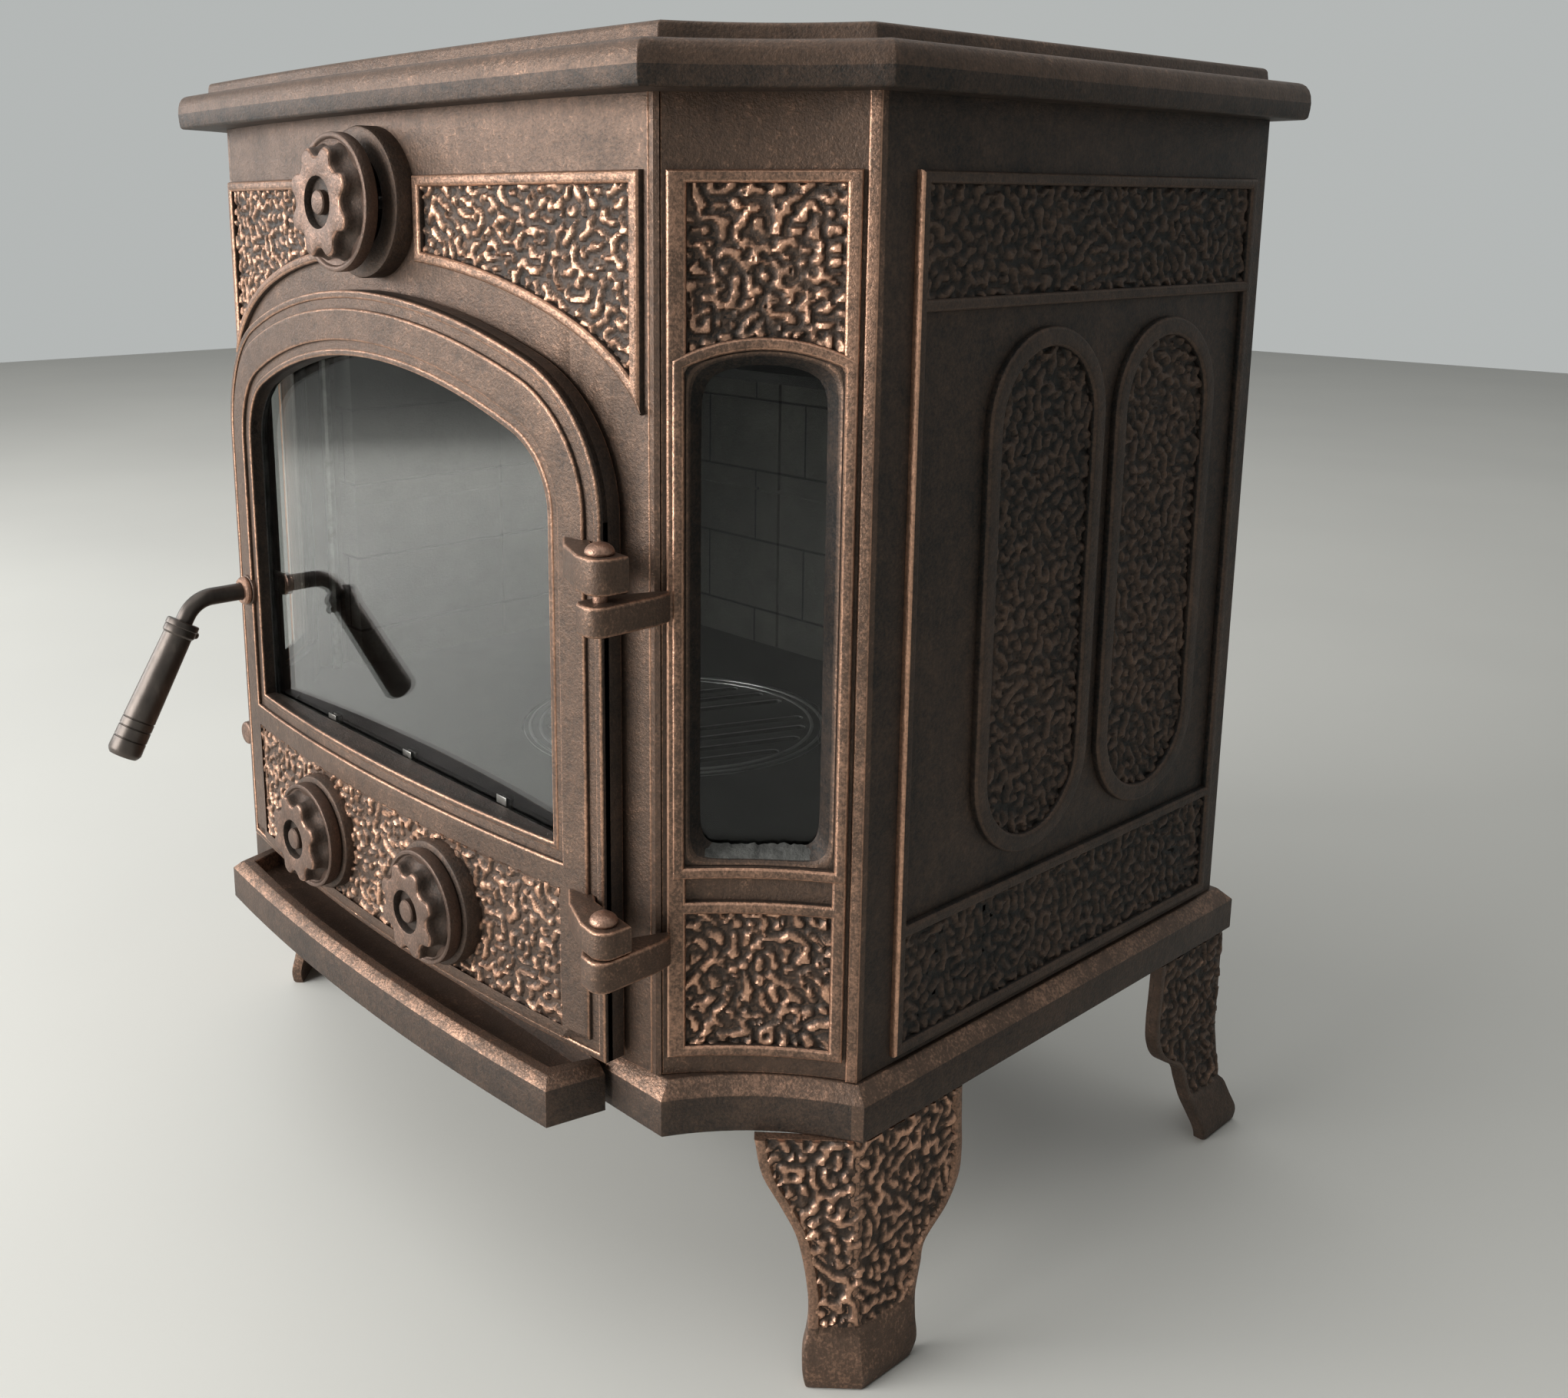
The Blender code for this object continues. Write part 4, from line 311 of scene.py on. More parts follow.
# The dark, brown and copper of the body castings, and of the wheels and pins
BODY = rubbed_iron("rubbed_cast_iron", (0.0165, 0.0165, 0.0155), (0.120, 0.077, 0.055),
                   (0.70, 0.40, 0.265), 0.32)
DIALS = rubbed_iron("rubbed_copper_castings", (0.034, 0.027, 0.022), (0.122, 0.078, 0.058),
                    (0.52, 0.305, 0.215), 0.28)


def bronze():
    """The handle's dark satin bronze."""
    finish = Finish("dark_bronze")
    rub = finish.attribute("rub")
    patches = finish.noise(55.0, 4.0, 0.6)
    brushed = finish.noise(240.0, 2.0, 0.5, (1.0, 1.0, 0.25))
    level = rub * 0.9 + (patches - 0.5) * 0.5 + (brushed - 0.5) * 0.3
    colour = finish.ramp(level, [(0.1, rgb(0.034, 0.029, 0.027)), (0.5, rgb(0.098, 0.082, 0.071)),
                                 (0.95, rgb(0.30, 0.25, 0.21))])
    finish.bump(brushed * 0.6 + patches * 0.5, 0.12, 0.0006)
    return finish.set(Base_Color=colour, Metallic=0.85, Roughness=0.38 + (patches - 0.5) * 0.16)


def sooty_iron():
    """Bare grey iron inside the firebox."""
    finish = Finish("inner_iron")
    patches = finish.noise(30.0, 5.0, 0.6)
    sand = finish.noise(700.0, 2.0, 0.6)
    level = patches * 0.8 + (sand - 0.5) * 0.3
    colour = finish.ramp(level, [(0.2, rgb(0.012, 0.012, 0.012)), (0.5, rgb(0.034, 0.033, 0.032)),
                                 (0.85, rgb(0.085, 0.08, 0.075))])
    finish.bump(sand + patches * 0.5, 0.3, 0.0008)
    return finish.set(Base_Color=colour, Metallic=0.55, Roughness=0.62 + (sand - 0.5) * 0.2)


def plain_steel():
    """Zinc-plated steel of the rods, screws and springs."""
    finish = Finish("plated_steel")
    patches = finish.noise(90.0, 4.0, 0.6)
    fine = finish.noise(900.0, 1.0, 0.5)
    colour = finish.ramp(patches, [(0.3, rgb(0.22, 0.21, 0.19)), (0.7, rgb(0.46, 0.45, 0.42))])
    finish.bump(fine + patches * 0.4, 0.1, 0.0004)
    return finish.set(Base_Color=colour, Metallic=1.0, Roughness=0.34 + (patches - 0.5) * 0.2)


def fire_brick():
    """Pale fire brick with soot clouds, and dark in its scored joints."""
    finish = Finish("fire_brick")
    soot = finish.noise(9.0, 4.0, 0.6)
    patches = finish.noise(60.0, 4.0, 0.6)
    pores = finish.noise(480.0, 2.0, 0.7)
    upright = finish.node("ShaderNodeMapping", {}, {"Vector": finish.place, "Rotation": (math.pi / 2, 0, 0)})
    joints = finish.node("ShaderNodeTexBrick", {}, {"Vector": upright, "Scale": 1.0, "Brick Width": 0.115,
                                                    "Row Height": 0.060, "Mortar Size": 0.0012,
                                                    "Mortar Smooth": 0.4}, "Fac")
    level = soot * 0.7 + patches * 0.3 + (pores - 0.5) * 0.35 - joints * 0.6
    colour = finish.ramp(level, [(0.0, rgb(0.006, 0.006, 0.006)), (0.25, rgb(0.030, 0.029, 0.027)),
                                 (0.5, rgb(0.070, 0.067, 0.060)), (0.75, rgb(0.12, 0.115, 0.10))])
    finish.bump(pores + patches * 0.6 - joints * 3.0, 0.35, 0.0012)
    return finish.set(Base_Color=colour, Roughness=0.93)


def fire_glass(name, ior, clear):
    """Clear heat-proof glass, a little smoky; where the last number is under 1 the tint is darkened as painted
    shade.
    """
    finish = Finish(name)
    haze = finish.noise(16.0, 3.0, 0.6)
    tint = finish.ramp(haze, [(0.3, rgb(0.78 * clear, 0.81 * clear, 0.80 * clear)),
                              (0.7, rgb(0.84 * clear, 0.86 * clear, 0.85 * clear))])
    return finish.set(Base_Color=tint, Roughness=0.0, Transmission_Weight=1.0, IOR=ior)


def glass_fibre():
    """Grey woven glass-fibre rope and tape."""
    finish = Finish("glass_fibre")
    weave = finish.noise(700.0, 2.0, 0.6)
    patches = finish.noise(60.0, 3.0, 0.6)
    colour = finish.ramp(weave * 0.6 + patches * 0.4, [(0.3, rgb(0.035, 0.034, 0.033)),
                                                       (0.7, rgb(0.16, 0.155, 0.15))])
    finish.bump(weave, 0.5, 0.001)
    return finish.set(Base_Color=colour, Roughness=0.95)


def fire_cement():
    """Grey fire cement, rough from the trowel."""
    finish = Finish("fire_cement")
    patches = finish.noise(140.0, 4.0, 0.6)
    pores = finish.noise(900.0, 2.0, 0.7)
    colour = finish.ramp(patches * 0.8 + pores * 0.2, [(0.3, rgb(0.035, 0.035, 0.032)),
                                                       (0.7, rgb(0.13, 0.13, 0.12))])
    finish.bump(pores + patches, 0.5, 0.0012)
    return finish.set(Base_Color=colour, Roughness=0.9)


def grate_iron_painted_glints():
    """Dark iron, with light colour where its edges glint: a painted highlight."""
    finish = Finish("grate_iron_painted_glints")
    rub = finish.attribute("rub")
    patches = finish.noise(60.0, 4.0, 0.6)
    colour = finish.ramp(rub + (patches - 0.5) * 0.5, [(0.2, rgb(0.020, 0.020, 0.019)),
                                                       (0.6, rgb(0.10, 0.098, 0.094)),
                                                       (0.95, rgb(0.36, 0.35, 0.34))])
    finish.bump(patches, 0.3, 0.0008)
    return finish.set(Base_Color=colour, Metallic=0.7, Roughness=0.42 + (patches - 0.5) * 0.2)


BRONZE = bronze()
INNER = sooty_iron()
STEEL = plain_steel()
BRICK = fire_brick()
GLASS = fire_glass("fire_glass", 1.52, 1.0)
# The corner glass has a darker tint: painted shade for the dim firebox behind it.
CORNER_GLASS = fire_glass("corner_glass", 1.30, 0.72)
FIBRE = glass_fibre()
CEMENT = fire_cement()
GRATE_IRON = grate_iron_painted_glints()


# Meshes: numbers in and out

def numbers(items, name, width=1, kind=float):
    """One property of all points, corners or faces, in rows where it has several numbers."""
    flat = np.empty(len(items) * width, kind)
    items.foreach_get(name, flat)
    return flat if width == 1 else flat.reshape(-1, width)


def points_of(mesh):
    """The mesh's points as rows of x, y, z."""
    return numbers(mesh.vertices, "co", 3)


def face_normals(mesh):
    return numbers(mesh.polygons, "normal", 3)


def face_centres(mesh):
    return numbers(mesh.polygons, "center", 3)


def face_corners(mesh):
    """How many corners each face has."""
    return numbers(mesh.polygons, "loop_total", 1, int)


def put_points(mesh, points):
    """Write the points back."""
    mesh.vertices.foreach_set("co", np.asarray(points, float).ravel())
    mesh.update()
    return mesh


def moved(mesh, transform):
    mesh.transform(transform)
    return mesh


def mirrored(mesh):
    """A mirror image across the plane x = 0, with its faces still pointing out."""
    copy = mesh.copy()
    copy.transform(Matrix.Scale(-1, 4, (1, 0, 0)))
    copy.flip_normals()
    return copy


def handed(mesh, sign):
    """The mesh for the right-hand side, or its mirror image for the left."""
    return mesh if sign > 0 else mirrored(mesh)


def with_copper_level(mesh, level):
    """Paint how much copper shows on each face corner: a number, or one number for each face."""
    painted = mesh.attributes.get("rub") or mesh.attributes.new("rub", "FLOAT", "CORNER")
    if np.isscalar(level):
        values = np.full(len(mesh.loops), float(level))
    else:
        values = np.repeat(level, face_corners(mesh))
    painted.data.foreach_set("value", values)
    return mesh


def with_painted_highlight(mesh, faces, level):
    """The same casting with some of its faces set to another copper level, as a painted highlight."""
    painted = mesh.attributes["rub"]
    values = np.where(np.repeat(faces, face_corners(mesh)), level, numbers(painted.data, "value"))
    painted.data.foreach_set("value", values)
    return mesh


def edge_rubbed(mesh, flat=0.42, edge=0.80, wall=0.26):
    """Copper on the rounded edges of a flat casting, and dark on its walls."""
    front = np.abs(face_normals(mesh)[:, 1])
    worn = np.clip(4 * front ** 2 * (1 - front ** 2), 0, 1) ** 0.5
    level = np.where(front > 0.98, flat, np.where(front < 0.2, wall, flat + (edge - flat) * worn))
    return with_copper_level(mesh, level)


def with_painted_shade(mesh, share):
    """The same casting with less copper on it, or with more; less is used as painted shade on castings out of
    the light.
    """
    painted = mesh.attributes.get("rub") or with_copper_level(mesh, 0.45).attributes["rub"]
    painted.data.foreach_set("value", numbers(painted.data, "value") * share)
    return mesh


def gathered(meshes):
    """Several closed meshes put into one, with what is painted on them."""
    points = []
    corners = []
    totals = []
    rubs = []
    start = 0
    for mesh in meshes:
        points.append(points_of(mesh))
        index = numbers(mesh.loops, "vertex_index", 1, int)
        corners.append(index + start)
        totals.append(face_corners(mesh))
        rub = np.full(len(mesh.loops), 0.45)
        painted = mesh.attributes.get("rub")
        if painted is not None:
            values = numbers(painted.data, "value")
            rub = values[index] if painted.domain == "POINT" else values
        rubs.append(rub)
        start += len(mesh.vertices)
    points = np.concatenate(points)
    corners = np.concatenate(corners)
    totals = np.concatenate(totals)
    whole = bpy.data.meshes.new("casting")
    whole.vertices.add(len(points))
    whole.vertices.foreach_set("co", points.ravel())
    whole.loops.add(len(corners))
    whole.loops.foreach_set("vertex_index", corners)
    whole.polygons.add(len(totals))
    whole.polygons.foreach_set("loop_start", np.concatenate([[0], np.cumsum(totals)[:-1]]))
    whole.update(calc_edges=True)
    painted = whole.attributes.new("rub", "FLOAT", "CORNER")
    painted.data.foreach_set("value", np.concatenate(rubs))
    return whole


def evaluated_mesh(source, weld=True):
    """The mesh that an object shows; the object is removed."""
    depsgraph = bpy.context.evaluated_depsgraph_get()
    mesh = bpy.data.meshes.new_from_object(source.evaluated_get(depsgraph))
    mesh.transform(source.matrix_world)
    bpy.data.objects.remove(source, do_unlink=True)
    if weld:
        shape = bmesh.new()
        shape.from_mesh(mesh)
        bmesh.ops.remove_doubles(shape, verts=shape.verts, dist=0.00001)
        bmesh.ops.recalc_face_normals(shape, faces=shape.faces)
        shape.to_mesh(mesh)
        shape.free()
    return mesh


def linked(name, data):
    made = bpy.data.objects.new(name, data)
    bpy.context.scene.collection.objects.link(made)
    return made


# Pieces

def piece(name, meshes, finish, body, slot, *nodes, angle=38):
    """Finish a piece: one mesh in the frame, shaded, riding on its body in place of its nodes."""
    mesh = gathered(meshes)
    mesh.transform(Matrix.Translation((0, SHIFT, 0)))
    mesh.name = name
    mesh.materials.append(finish)
    mesh.shade_smooth()
    mesh.set_sharp_from_angle(angle=math.radians(angle))
    made = linked(name, mesh)
    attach(made, body)
    if nodes:
        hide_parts(*nodes)
    return made


# Castings with rounded edges

def add_run(curve, points, closed):
    """A run of straight lines added to a curve."""
    spline = curve.splines.new("POLY")
    spline.points.add(len(points) - 1)
    for target, (x, y, z) in zip(spline.points, points):
        target.co = (x, y, z, 1)
    spline.use_cyclic_u = closed


def outline_solid(outline, holes, front, back, rounding=0.0, rounds=2):
    """A flat outline of (x, z) points, with holes, from y = front to y = back, with rounded edges."""
    curve = bpy.data.curves.new("outline", "CURVE")
    curve.dimensions = "2D"
    curve.fill_mode = "BOTH"
    curve.extrude = (back - front) / 2 - rounding
    curve.bevel_depth = rounding
    curve.bevel_resolution = rounds
    curve.offset = -rounding
    for loop in [outline] + list(holes):
        add_run(curve, [(across, up, 0) for across, up in loop], True)
    mesh = evaluated_mesh(linked("outline", curve))
    stand = Matrix.Translation((0, (front + back) / 2, 0)) @ Matrix.Rotation(math.pi / 2, 4, "X")
    mesh.transform(stand)
    return edge_rubbed(mesh)


def plan_solid(outline, holes, bottom, top, rounding=0.0, rounds=2):
    """A flat outline of (x, y) points, with holes, from z = bottom to z = top."""
    mesh = outline_solid(outline, holes, 0, top - bottom, rounding, rounds)
    return moved(mesh, Matrix.Translation((0, 0, top)) @ Matrix.Rotation(-math.pi / 2, 4, "X"))


def turned(profile, steps=TURN_STEPS):
    """A closed (radius, height) profile turned about Z with a Screw modifier."""
    shape = bmesh.new()
    corners = [shape.verts.new((radius, 0, height)) for radius, height in profile]
    for first, second in zip(corners, corners[1:] + corners[:1]):
        if first.co.x > 0 or second.co.x > 0:
            shape.edges.new((first, second))
    mesh = bpy.data.meshes.new("profile")
    shape.to_mesh(mesh)
    shape.free()
    source = linked("turned", mesh)
    screw = source.modifiers.new("Turn", "SCREW")
    screw.steps = steps
    screw.render_steps = steps
    screw.use_merge_vertices = True
    screw.merge_threshold = 0.00001
    return evaluated_mesh(source)


def tube(points, radius, sides=24):
    """A round bar along points, with filled ends."""
    curve = bpy.data.curves.new("tube", "CURVE")
    curve.dimensions = "3D"
    curve.bevel_depth = radius
    curve.bevel_resolution = sides // 2 - 2
    curve.use_fill_caps = True
    add_run(curve, points, False)
    return evaluated_mesh(linked("tube", curve))


def lofted(rings, bevel=0.0, closed=False):
    """A solid through rings of as many points: filled at both ends, or closed on its first ring."""
    shape = bmesh.new()
    loops = [[shape.verts.new(point) for point in ring] for ring in rings]
    uppers = loops[1:] + loops[:1] if closed else loops[1:]
    for lower, upper in zip(loops, uppers):
        for index in range(len(lower)):
            following = (index + 1) % len(lower)
            shape.faces.new((lower[index], lower[following], upper[following], upper[index]))
    if not closed:
        for end in (loops[0], loops[-1]):
            shape.faces.new(end)
    bmesh.ops.recalc_face_normals(shape, faces=shape.faces)
    mesh = bpy.data.meshes.new("loft")
    shape.to_mesh(mesh)
    shape.free()
    if not bevel:
        return mesh
    source = linked("loft", mesh)
    modifier = source.modifiers.new("Round", "BEVEL")
    modifier.width = bevel
    modifier.segments = 2
    modifier.limit_method = "ANGLE"
    modifier.angle_limit = math.radians(22)
    return evaluated_mesh(source)


def sliced(mesh, low, high, count):
    """The mesh cut into strips across x, so that it can bend."""
    shape = bmesh.new()
    shape.from_mesh(mesh)
    for index in range(1, count):
        place = low + (high - low) * index / count
        parts = shape.verts[:] + shape.edges[:] + shape.faces[:]
        bmesh.ops.bisect_plane(shape, geom=parts, dist=0.000001, plane_co=(place, 0, 0), plane_no=(1, 0, 0))
    shape.to_mesh(mesh)
    shape.free()
    return mesh


def front_bow(x):
    """How far the front of the body stands forward of its corners at x."""
    return FRONT_BOW * (1 - (x / FRONT_HALF) ** 2)


def bowed(mesh, slices=BOW_SLICES):
    """A flat front casting bent to the bow of the front."""
    if slices:
        sliced(mesh, -FRONT_HALF, FRONT_HALF, slices)
    points = points_of(mesh)
    points[:, 1] -= front_bow(points[:, 0])
    return put_points(mesh, points)


def hollowed(mesh, slices=HOLLOW_SLICES):
    """A flat corner casting bent inwards between its edges and turned into the right-hand corner."""
    if slices:
        sliced(mesh, 0, CORNER_LENGTH, slices)
    points = points_of(mesh)
    share = 2 * points[:, 0] / CORNER_LENGTH - 1
    points[:, 1] += CORNER_HOLLOW * (1 - share ** 2)
    place = Matrix.Translation((FRONT_HALF, 0, 0)) @ Matrix.Rotation(math.pi / 4, 4, "Z")
    return moved(put_points(mesh, points), place)


def sided(mesh):
    """A flat casting turned onto the right-hand side."""
    return moved(mesh, Matrix.Translation((SIDE_HALF, 0, 0)) @ Matrix.Rotation(math.pi / 2, 4, "Z"))


# Outlines

def arc(centre, radius, start, end, steps):
    """Points along an arc between two angles."""
    points = []
    for index in range(steps + 1):
        angle = start + (end - start) * index / steps
        points.append((centre[0] + radius * math.cos(angle), centre[1] + radius * math.sin(angle)))
    return points


def circle(radius, steps, centre=(0, 0)):
    return arc(centre, radius, 0, 2 * math.pi * (steps - 1) / steps, steps - 1)


def rectangle(left, right, bottom, top):
    return [(left, bottom), (right, bottom), (right, top), (left, top)]


def arched(half, bottom, top, top_radius, corner_radius):
    """A door shape: straight sides, round shoulders and a flat arch on top."""
    crown = top - top_radius
    shoulder_x = half - corner_radius
    shoulder_z = crown + math.sqrt((top_radius - corner_radius) ** 2 - shoulder_x ** 2)
    meet = math.atan2(shoulder_z - crown, shoulder_x)
    right = arc((shoulder_x, shoulder_z), corner_radius, 0, meet, 18)
    across = arc((0, crown), top_radius, meet, math.pi - meet, 40)
    left = [(-x, z) for x, z in reversed(right)]
    return [(-half, bottom), (half, bottom)] + right + across[1:-1] + left


def door_outline(inset):
    return arched(DOOR_HALF - inset, DOOR_BOTTOM + inset, DOOR_TOP - inset,
                  DOOR_TOP_RADIUS - inset, DOOR_CORNER_RADIUS - inset)


def glass_outline(lap):
    return arched(GLASS_HALF + lap, GLASS_SILL - lap, GLASS_TOP + lap, GLASS_TOP_RADIUS + lap,
                  GLASS_CORNER_RADIUS + lap)


def spandrel(grow):
    """The field above one shoulder of the door, let out by a width on every edge."""
    half = 0.226 + FRAME_WIDTH - grow
    rise = 0.0904 + FRAME_WIDTH - grow
    left = 0.0445 + FRAME_WIDTH - grow
    right = 0.2215 - FRAME_WIDTH + grow
    top = FRAME_TOP - FRAME_WIDTH + grow
    shoulder = 0.5174
    steps = 36
    points = [(right, top), (left, top)]
    for index in range(steps + 1):
        x = left + (right - left) * math.sin(math.pi / 2 * index / steps)
        points.append((x, shoulder + rise * math.sqrt(1 - (x / half) ** 2)))
    return points


def stadium(middle, radius, bottom, top):
    """An upright slot shape with round ends."""
    upper = arc((middle, top - radius), radius, 0, math.pi, 28)
    lower = arc((middle, bottom + radius), radius, math.pi, 2 * math.pi, 28)
    return upper + lower


def window_outline(grow):
    """The corner window, with its low arch, let out by a width on every edge."""
    half = CORNER_LENGTH / 2 - 0.016
    rise = 0.0085
    radius = (half ** 2 + rise ** 2) / (2 * rise) + grow
    crown = 0.567 + grow - radius
    reach = math.asin((half + grow) / radius)
    middle = CORNER_LENGTH / 2
    top = arc((middle, crown), radius, math.pi / 2 - reach, math.pi / 2 + reach, 20)
    bottom = 0.299 - grow
    return [(middle - half - grow, bottom), (middle + half + grow, bottom)] + top


def upper_field_outline(grow=0.0):
    """The textured field over the corner window, with the window's bead as its lower edge."""
    top = window_outline(0.007 - grow)[2:]
    left = 0.016 - grow
    right = CORNER_LENGTH - 0.016 + grow
    arch = [point for point in top if left < point[0] < right]
    ends = (top[0][1] + top[1][1]) / 2
    field_top = FRAME_TOP - FRAME_WIDTH + grow
    return [(left, field_top), (left, ends)] + arch[::-1] + [(right, ends), (right, field_top)]


def softened(outline, count=220, rounds=8):
    """An outline of evenly spaced points with its corners rounded off."""
    closed = np.array(outline + outline[:1])
    steps = np.hypot(*np.diff(closed, axis=0).T)
    along = np.concatenate([[0], np.cumsum(steps)])
    places = np.linspace(0, along[-1], count, endpoint=False)
    points = np.stack([np.interp(places, along, closed[:, 0]), np.interp(places, along, closed[:, 1])], axis=1)
    for _ in range(rounds):
        points = points * 0.5 + (np.roll(points, 1, axis=0) + np.roll(points, -1, axis=0)) * 0.25
    return points


def dense(outline, step=0.006, guide=None):
    """The same closed outline with its sides cut into short ones, as often as the guide's are."""
    guide = guide or outline
    points = []
    for index, (x0, z0) in enumerate(outline):
        following = (index + 1) % len(outline)
        x1, z1 = outline[following]
        length = math.hypot(guide[following][0] - guide[index][0], guide[following][1] - guide[index][1])
        count = max(1, int(length / step))
        for cut in range(count):
            share = cut / count
            points.append((x0 + (x1 - x0) * share, z0 + (z1 - z0) * share))
    return points


# Worm grain: the raised, wandering strokes of the textured fields

def node_in(tree, kind, settings, sockets):
    """A node of a geometry tree: its settings first, then the values or links of its sockets."""
    made = tree.nodes.new(kind)
    for name, value in settings.items():
        setattr(made, name, value)
    for name, value in sockets.items():
        if isinstance(value, bpy.types.NodeSocket):
            tree.links.new(value, made.inputs[name])
        else:
            made.inputs[name].default_value = value
    return made


def maths_in(tree, operation, first, second=0.0):
    return node_in(tree, "ShaderNodeMath", {"operation": operation}, {0: first, 1: second}).outputs[0]


def vector_in(tree, operation, sockets):
    return node_in(tree, "ShaderNodeVectorMath", {"operation": operation}, sockets).outputs[0]


def new_tree(name, inputs):
    """A geometry tree with its named inputs, and the sockets that give them."""
    tree = bpy.data.node_groups.new(name, "GeometryNodeTree")
    tree.is_modifier = True
    face = tree.interface
    face.new_socket("Geometry", in_out="INPUT", socket_type="NodeSocketGeometry")
    for label, kind, value in inputs:
        made = face.new_socket(label, in_out="INPUT", socket_type=kind)
        made.default_value = value
    face.new_socket("Finish", in_out="INPUT", socket_type="NodeSocketMaterial")
    face.new_socket("Geometry", in_out="OUTPUT", socket_type="NodeSocketGeometry")
    return tree, tree.nodes.new("NodeGroupInput").outputs


def end_tree(tree, geometry, finish):
    """Send a tree's geometry out, made real and with its finish."""
    whole = node_in(tree, "GeometryNodeRealizeInstances", {}, {"Geometry": geometry}).outputs[0]
    painted = node_in(tree, "GeometryNodeSetMaterial", {}, {"Geometry": whole, "Material": finish}).outputs[0]
    out = tree.nodes.new("NodeGroupOutput")
    tree.links.new(painted, out.inputs["Geometry"])


def through(source, tree, values):
    """What a tree makes of an object, with the tree's inputs set by their identifiers."""
    modifier = source.modifiers.new(tree.name, "NODES")
    modifier.node_group = tree
    for item in tree.interface.items_tree:
        if item.in_out == "INPUT" and item.name in values:
            modifier[item.identifier] = values[item.name]
    return evaluated_mesh(source, weld=False)


def grain_tree():
    """A tree that grows wandering ridges on any grid and raises them along its normals."""
    tree, given = new_tree("worm_grain", (
        ("Seed", "NodeSocketInt", 1), ("Rounds", "NodeSocketInt", 9), ("Stroke", "NodeSocketInt", 2),
        ("Spacing", "NodeSocketInt", 6), ("Fullness", "NodeSocketFloat", 0.0),
        ("Height", "NodeSocketFloat", GRAIN_HEIGHT)))

    def maths(operation, first, second):
        return maths_in(tree, operation, first, second)

    def stored(geometry, name, value):
        return node_in(tree, "GeometryNodeStoreNamedAttribute", {"data_type": "FLOAT", "domain": "POINT"},
                       {"Geometry": geometry, "Name": name, "Value": value}).outputs[0]

    def named(name):
        made = node_in(tree, "GeometryNodeInputNamedAttribute", {"data_type": "FLOAT"}, {"Name": name})
        return made.outputs["Attribute"]

    def blurred(value, rounds):
        return node_in(tree, "GeometryNodeBlurAttribute", {"data_type": "FLOAT"},
                       {"Value": value, "Iterations": rounds}).outputs[0]

    def stepped(value, low, high):
        return node_in(tree, "ShaderNodeMapRange", {"interpolation_type": "SMOOTHSTEP"},
                       {0: value, 1: low, 2: high}).outputs[0]

    def noise(scale, detail):
        return node_in(tree, "ShaderNodeTexNoise", {}, {"Scale": scale, "Detail": detail}).outputs[0]

    # Chance values, blurred once, then pulled into strokes round after round
    chance = node_in(tree, "FunctionNodeRandomValue", {"data_type": "FLOAT"},
                     {2: -1.0, 3: 1.0, "Seed": given["Seed"]})
    first = stored(given["Geometry"], "level", chance.outputs[1])
    first = stored(first, "level", maths("MULTIPLY", blurred(named("level"), 4), 5.0))
    start = tree.nodes.new("GeometryNodeRepeatInput")
    end = tree.nodes.new("GeometryNodeRepeatOutput")
    start.pair_with_output(end)
    tree.links.new(given["Rounds"], start.inputs["Iterations"])
    tree.links.new(first, start.inputs["Geometry"])
    narrow = blurred(named("level"), given["Stroke"])
    wide = blurred(named("level"), given["Spacing"])
    uneven = noise(105.0, 2.5)
    bias = maths("ADD", maths("MULTIPLY", maths("SUBTRACT", uneven, 0.5), 1.8), given["Fullness"])
    swing = maths("ADD", maths("MULTIPLY", maths("SUBTRACT", narrow, wide), 9.0), bias)
    held = maths("MINIMUM", maths("MAXIMUM", swing, -1.0), 1.0)
    tree.links.new(stored(start.outputs["Geometry"], "level", held), end.inputs["Geometry"])

    # The strokes' height, uneven and broken here and there, and the copper on it
    ridge = stepped(blurred(named("level"), 2), -0.80, 0.55)
    whole_stroke = stepped(noise(170.0, 1.0), 0.36, 0.50)
    rise = maths("MULTIPLY", ridge, maths("ADD", maths("MULTIPLY", uneven, 1.2), 0.32))
    rise = maths("MULTIPLY", rise, maths("ADD", maths("MULTIPLY", whole_stroke, 0.86), 0.14))
    risen = stored(end.outputs["Geometry"], "rise", rise)
    kept = stored(risen, "rub", maths("ADD", maths("MULTIPLY", named("rise"), 0.66), 0.17))
    lift = maths("MULTIPLY", named("rise"), given["Height"])
    normal = tree.nodes.new("GeometryNodeInputNormal").outputs[0]
    offset = vector_in(tree, "SCALE", {0: normal, "Scale": lift})
    raised = node_in(tree, "GeometryNodeSetPosition", {}, {"Geometry": kept, "Offset": offset}).outputs[0]
    end_tree(tree, raised, given["Finish"])
    return tree


GRAIN = grain_tree()


def grained(mesh, seed, height=GRAIN_HEIGHT, fullness=-0.10):
    """The mesh with worm grain raised on it."""
    values = {"Seed": seed, "Height": height, "Fullness": fullness, "Finish": BODY}
    return through(linked("field", mesh), GRAIN, values)


def within(outline, x, z):
    """Which of the places (x, z) lie inside an outline."""
    inside = np.zeros(x.shape, bool)
    for (x0, z0), (x1, z1) in zip(outline, outline[1:] + outline[:1]):
        crosses = (z0 > z) != (z1 > z)
        with np.errstate(divide="ignore", invalid="ignore"):
            at = x0 + (z - z0) * (x1 - x0) / (z1 - z0)
        inside ^= crosses & (x < at)
    return inside


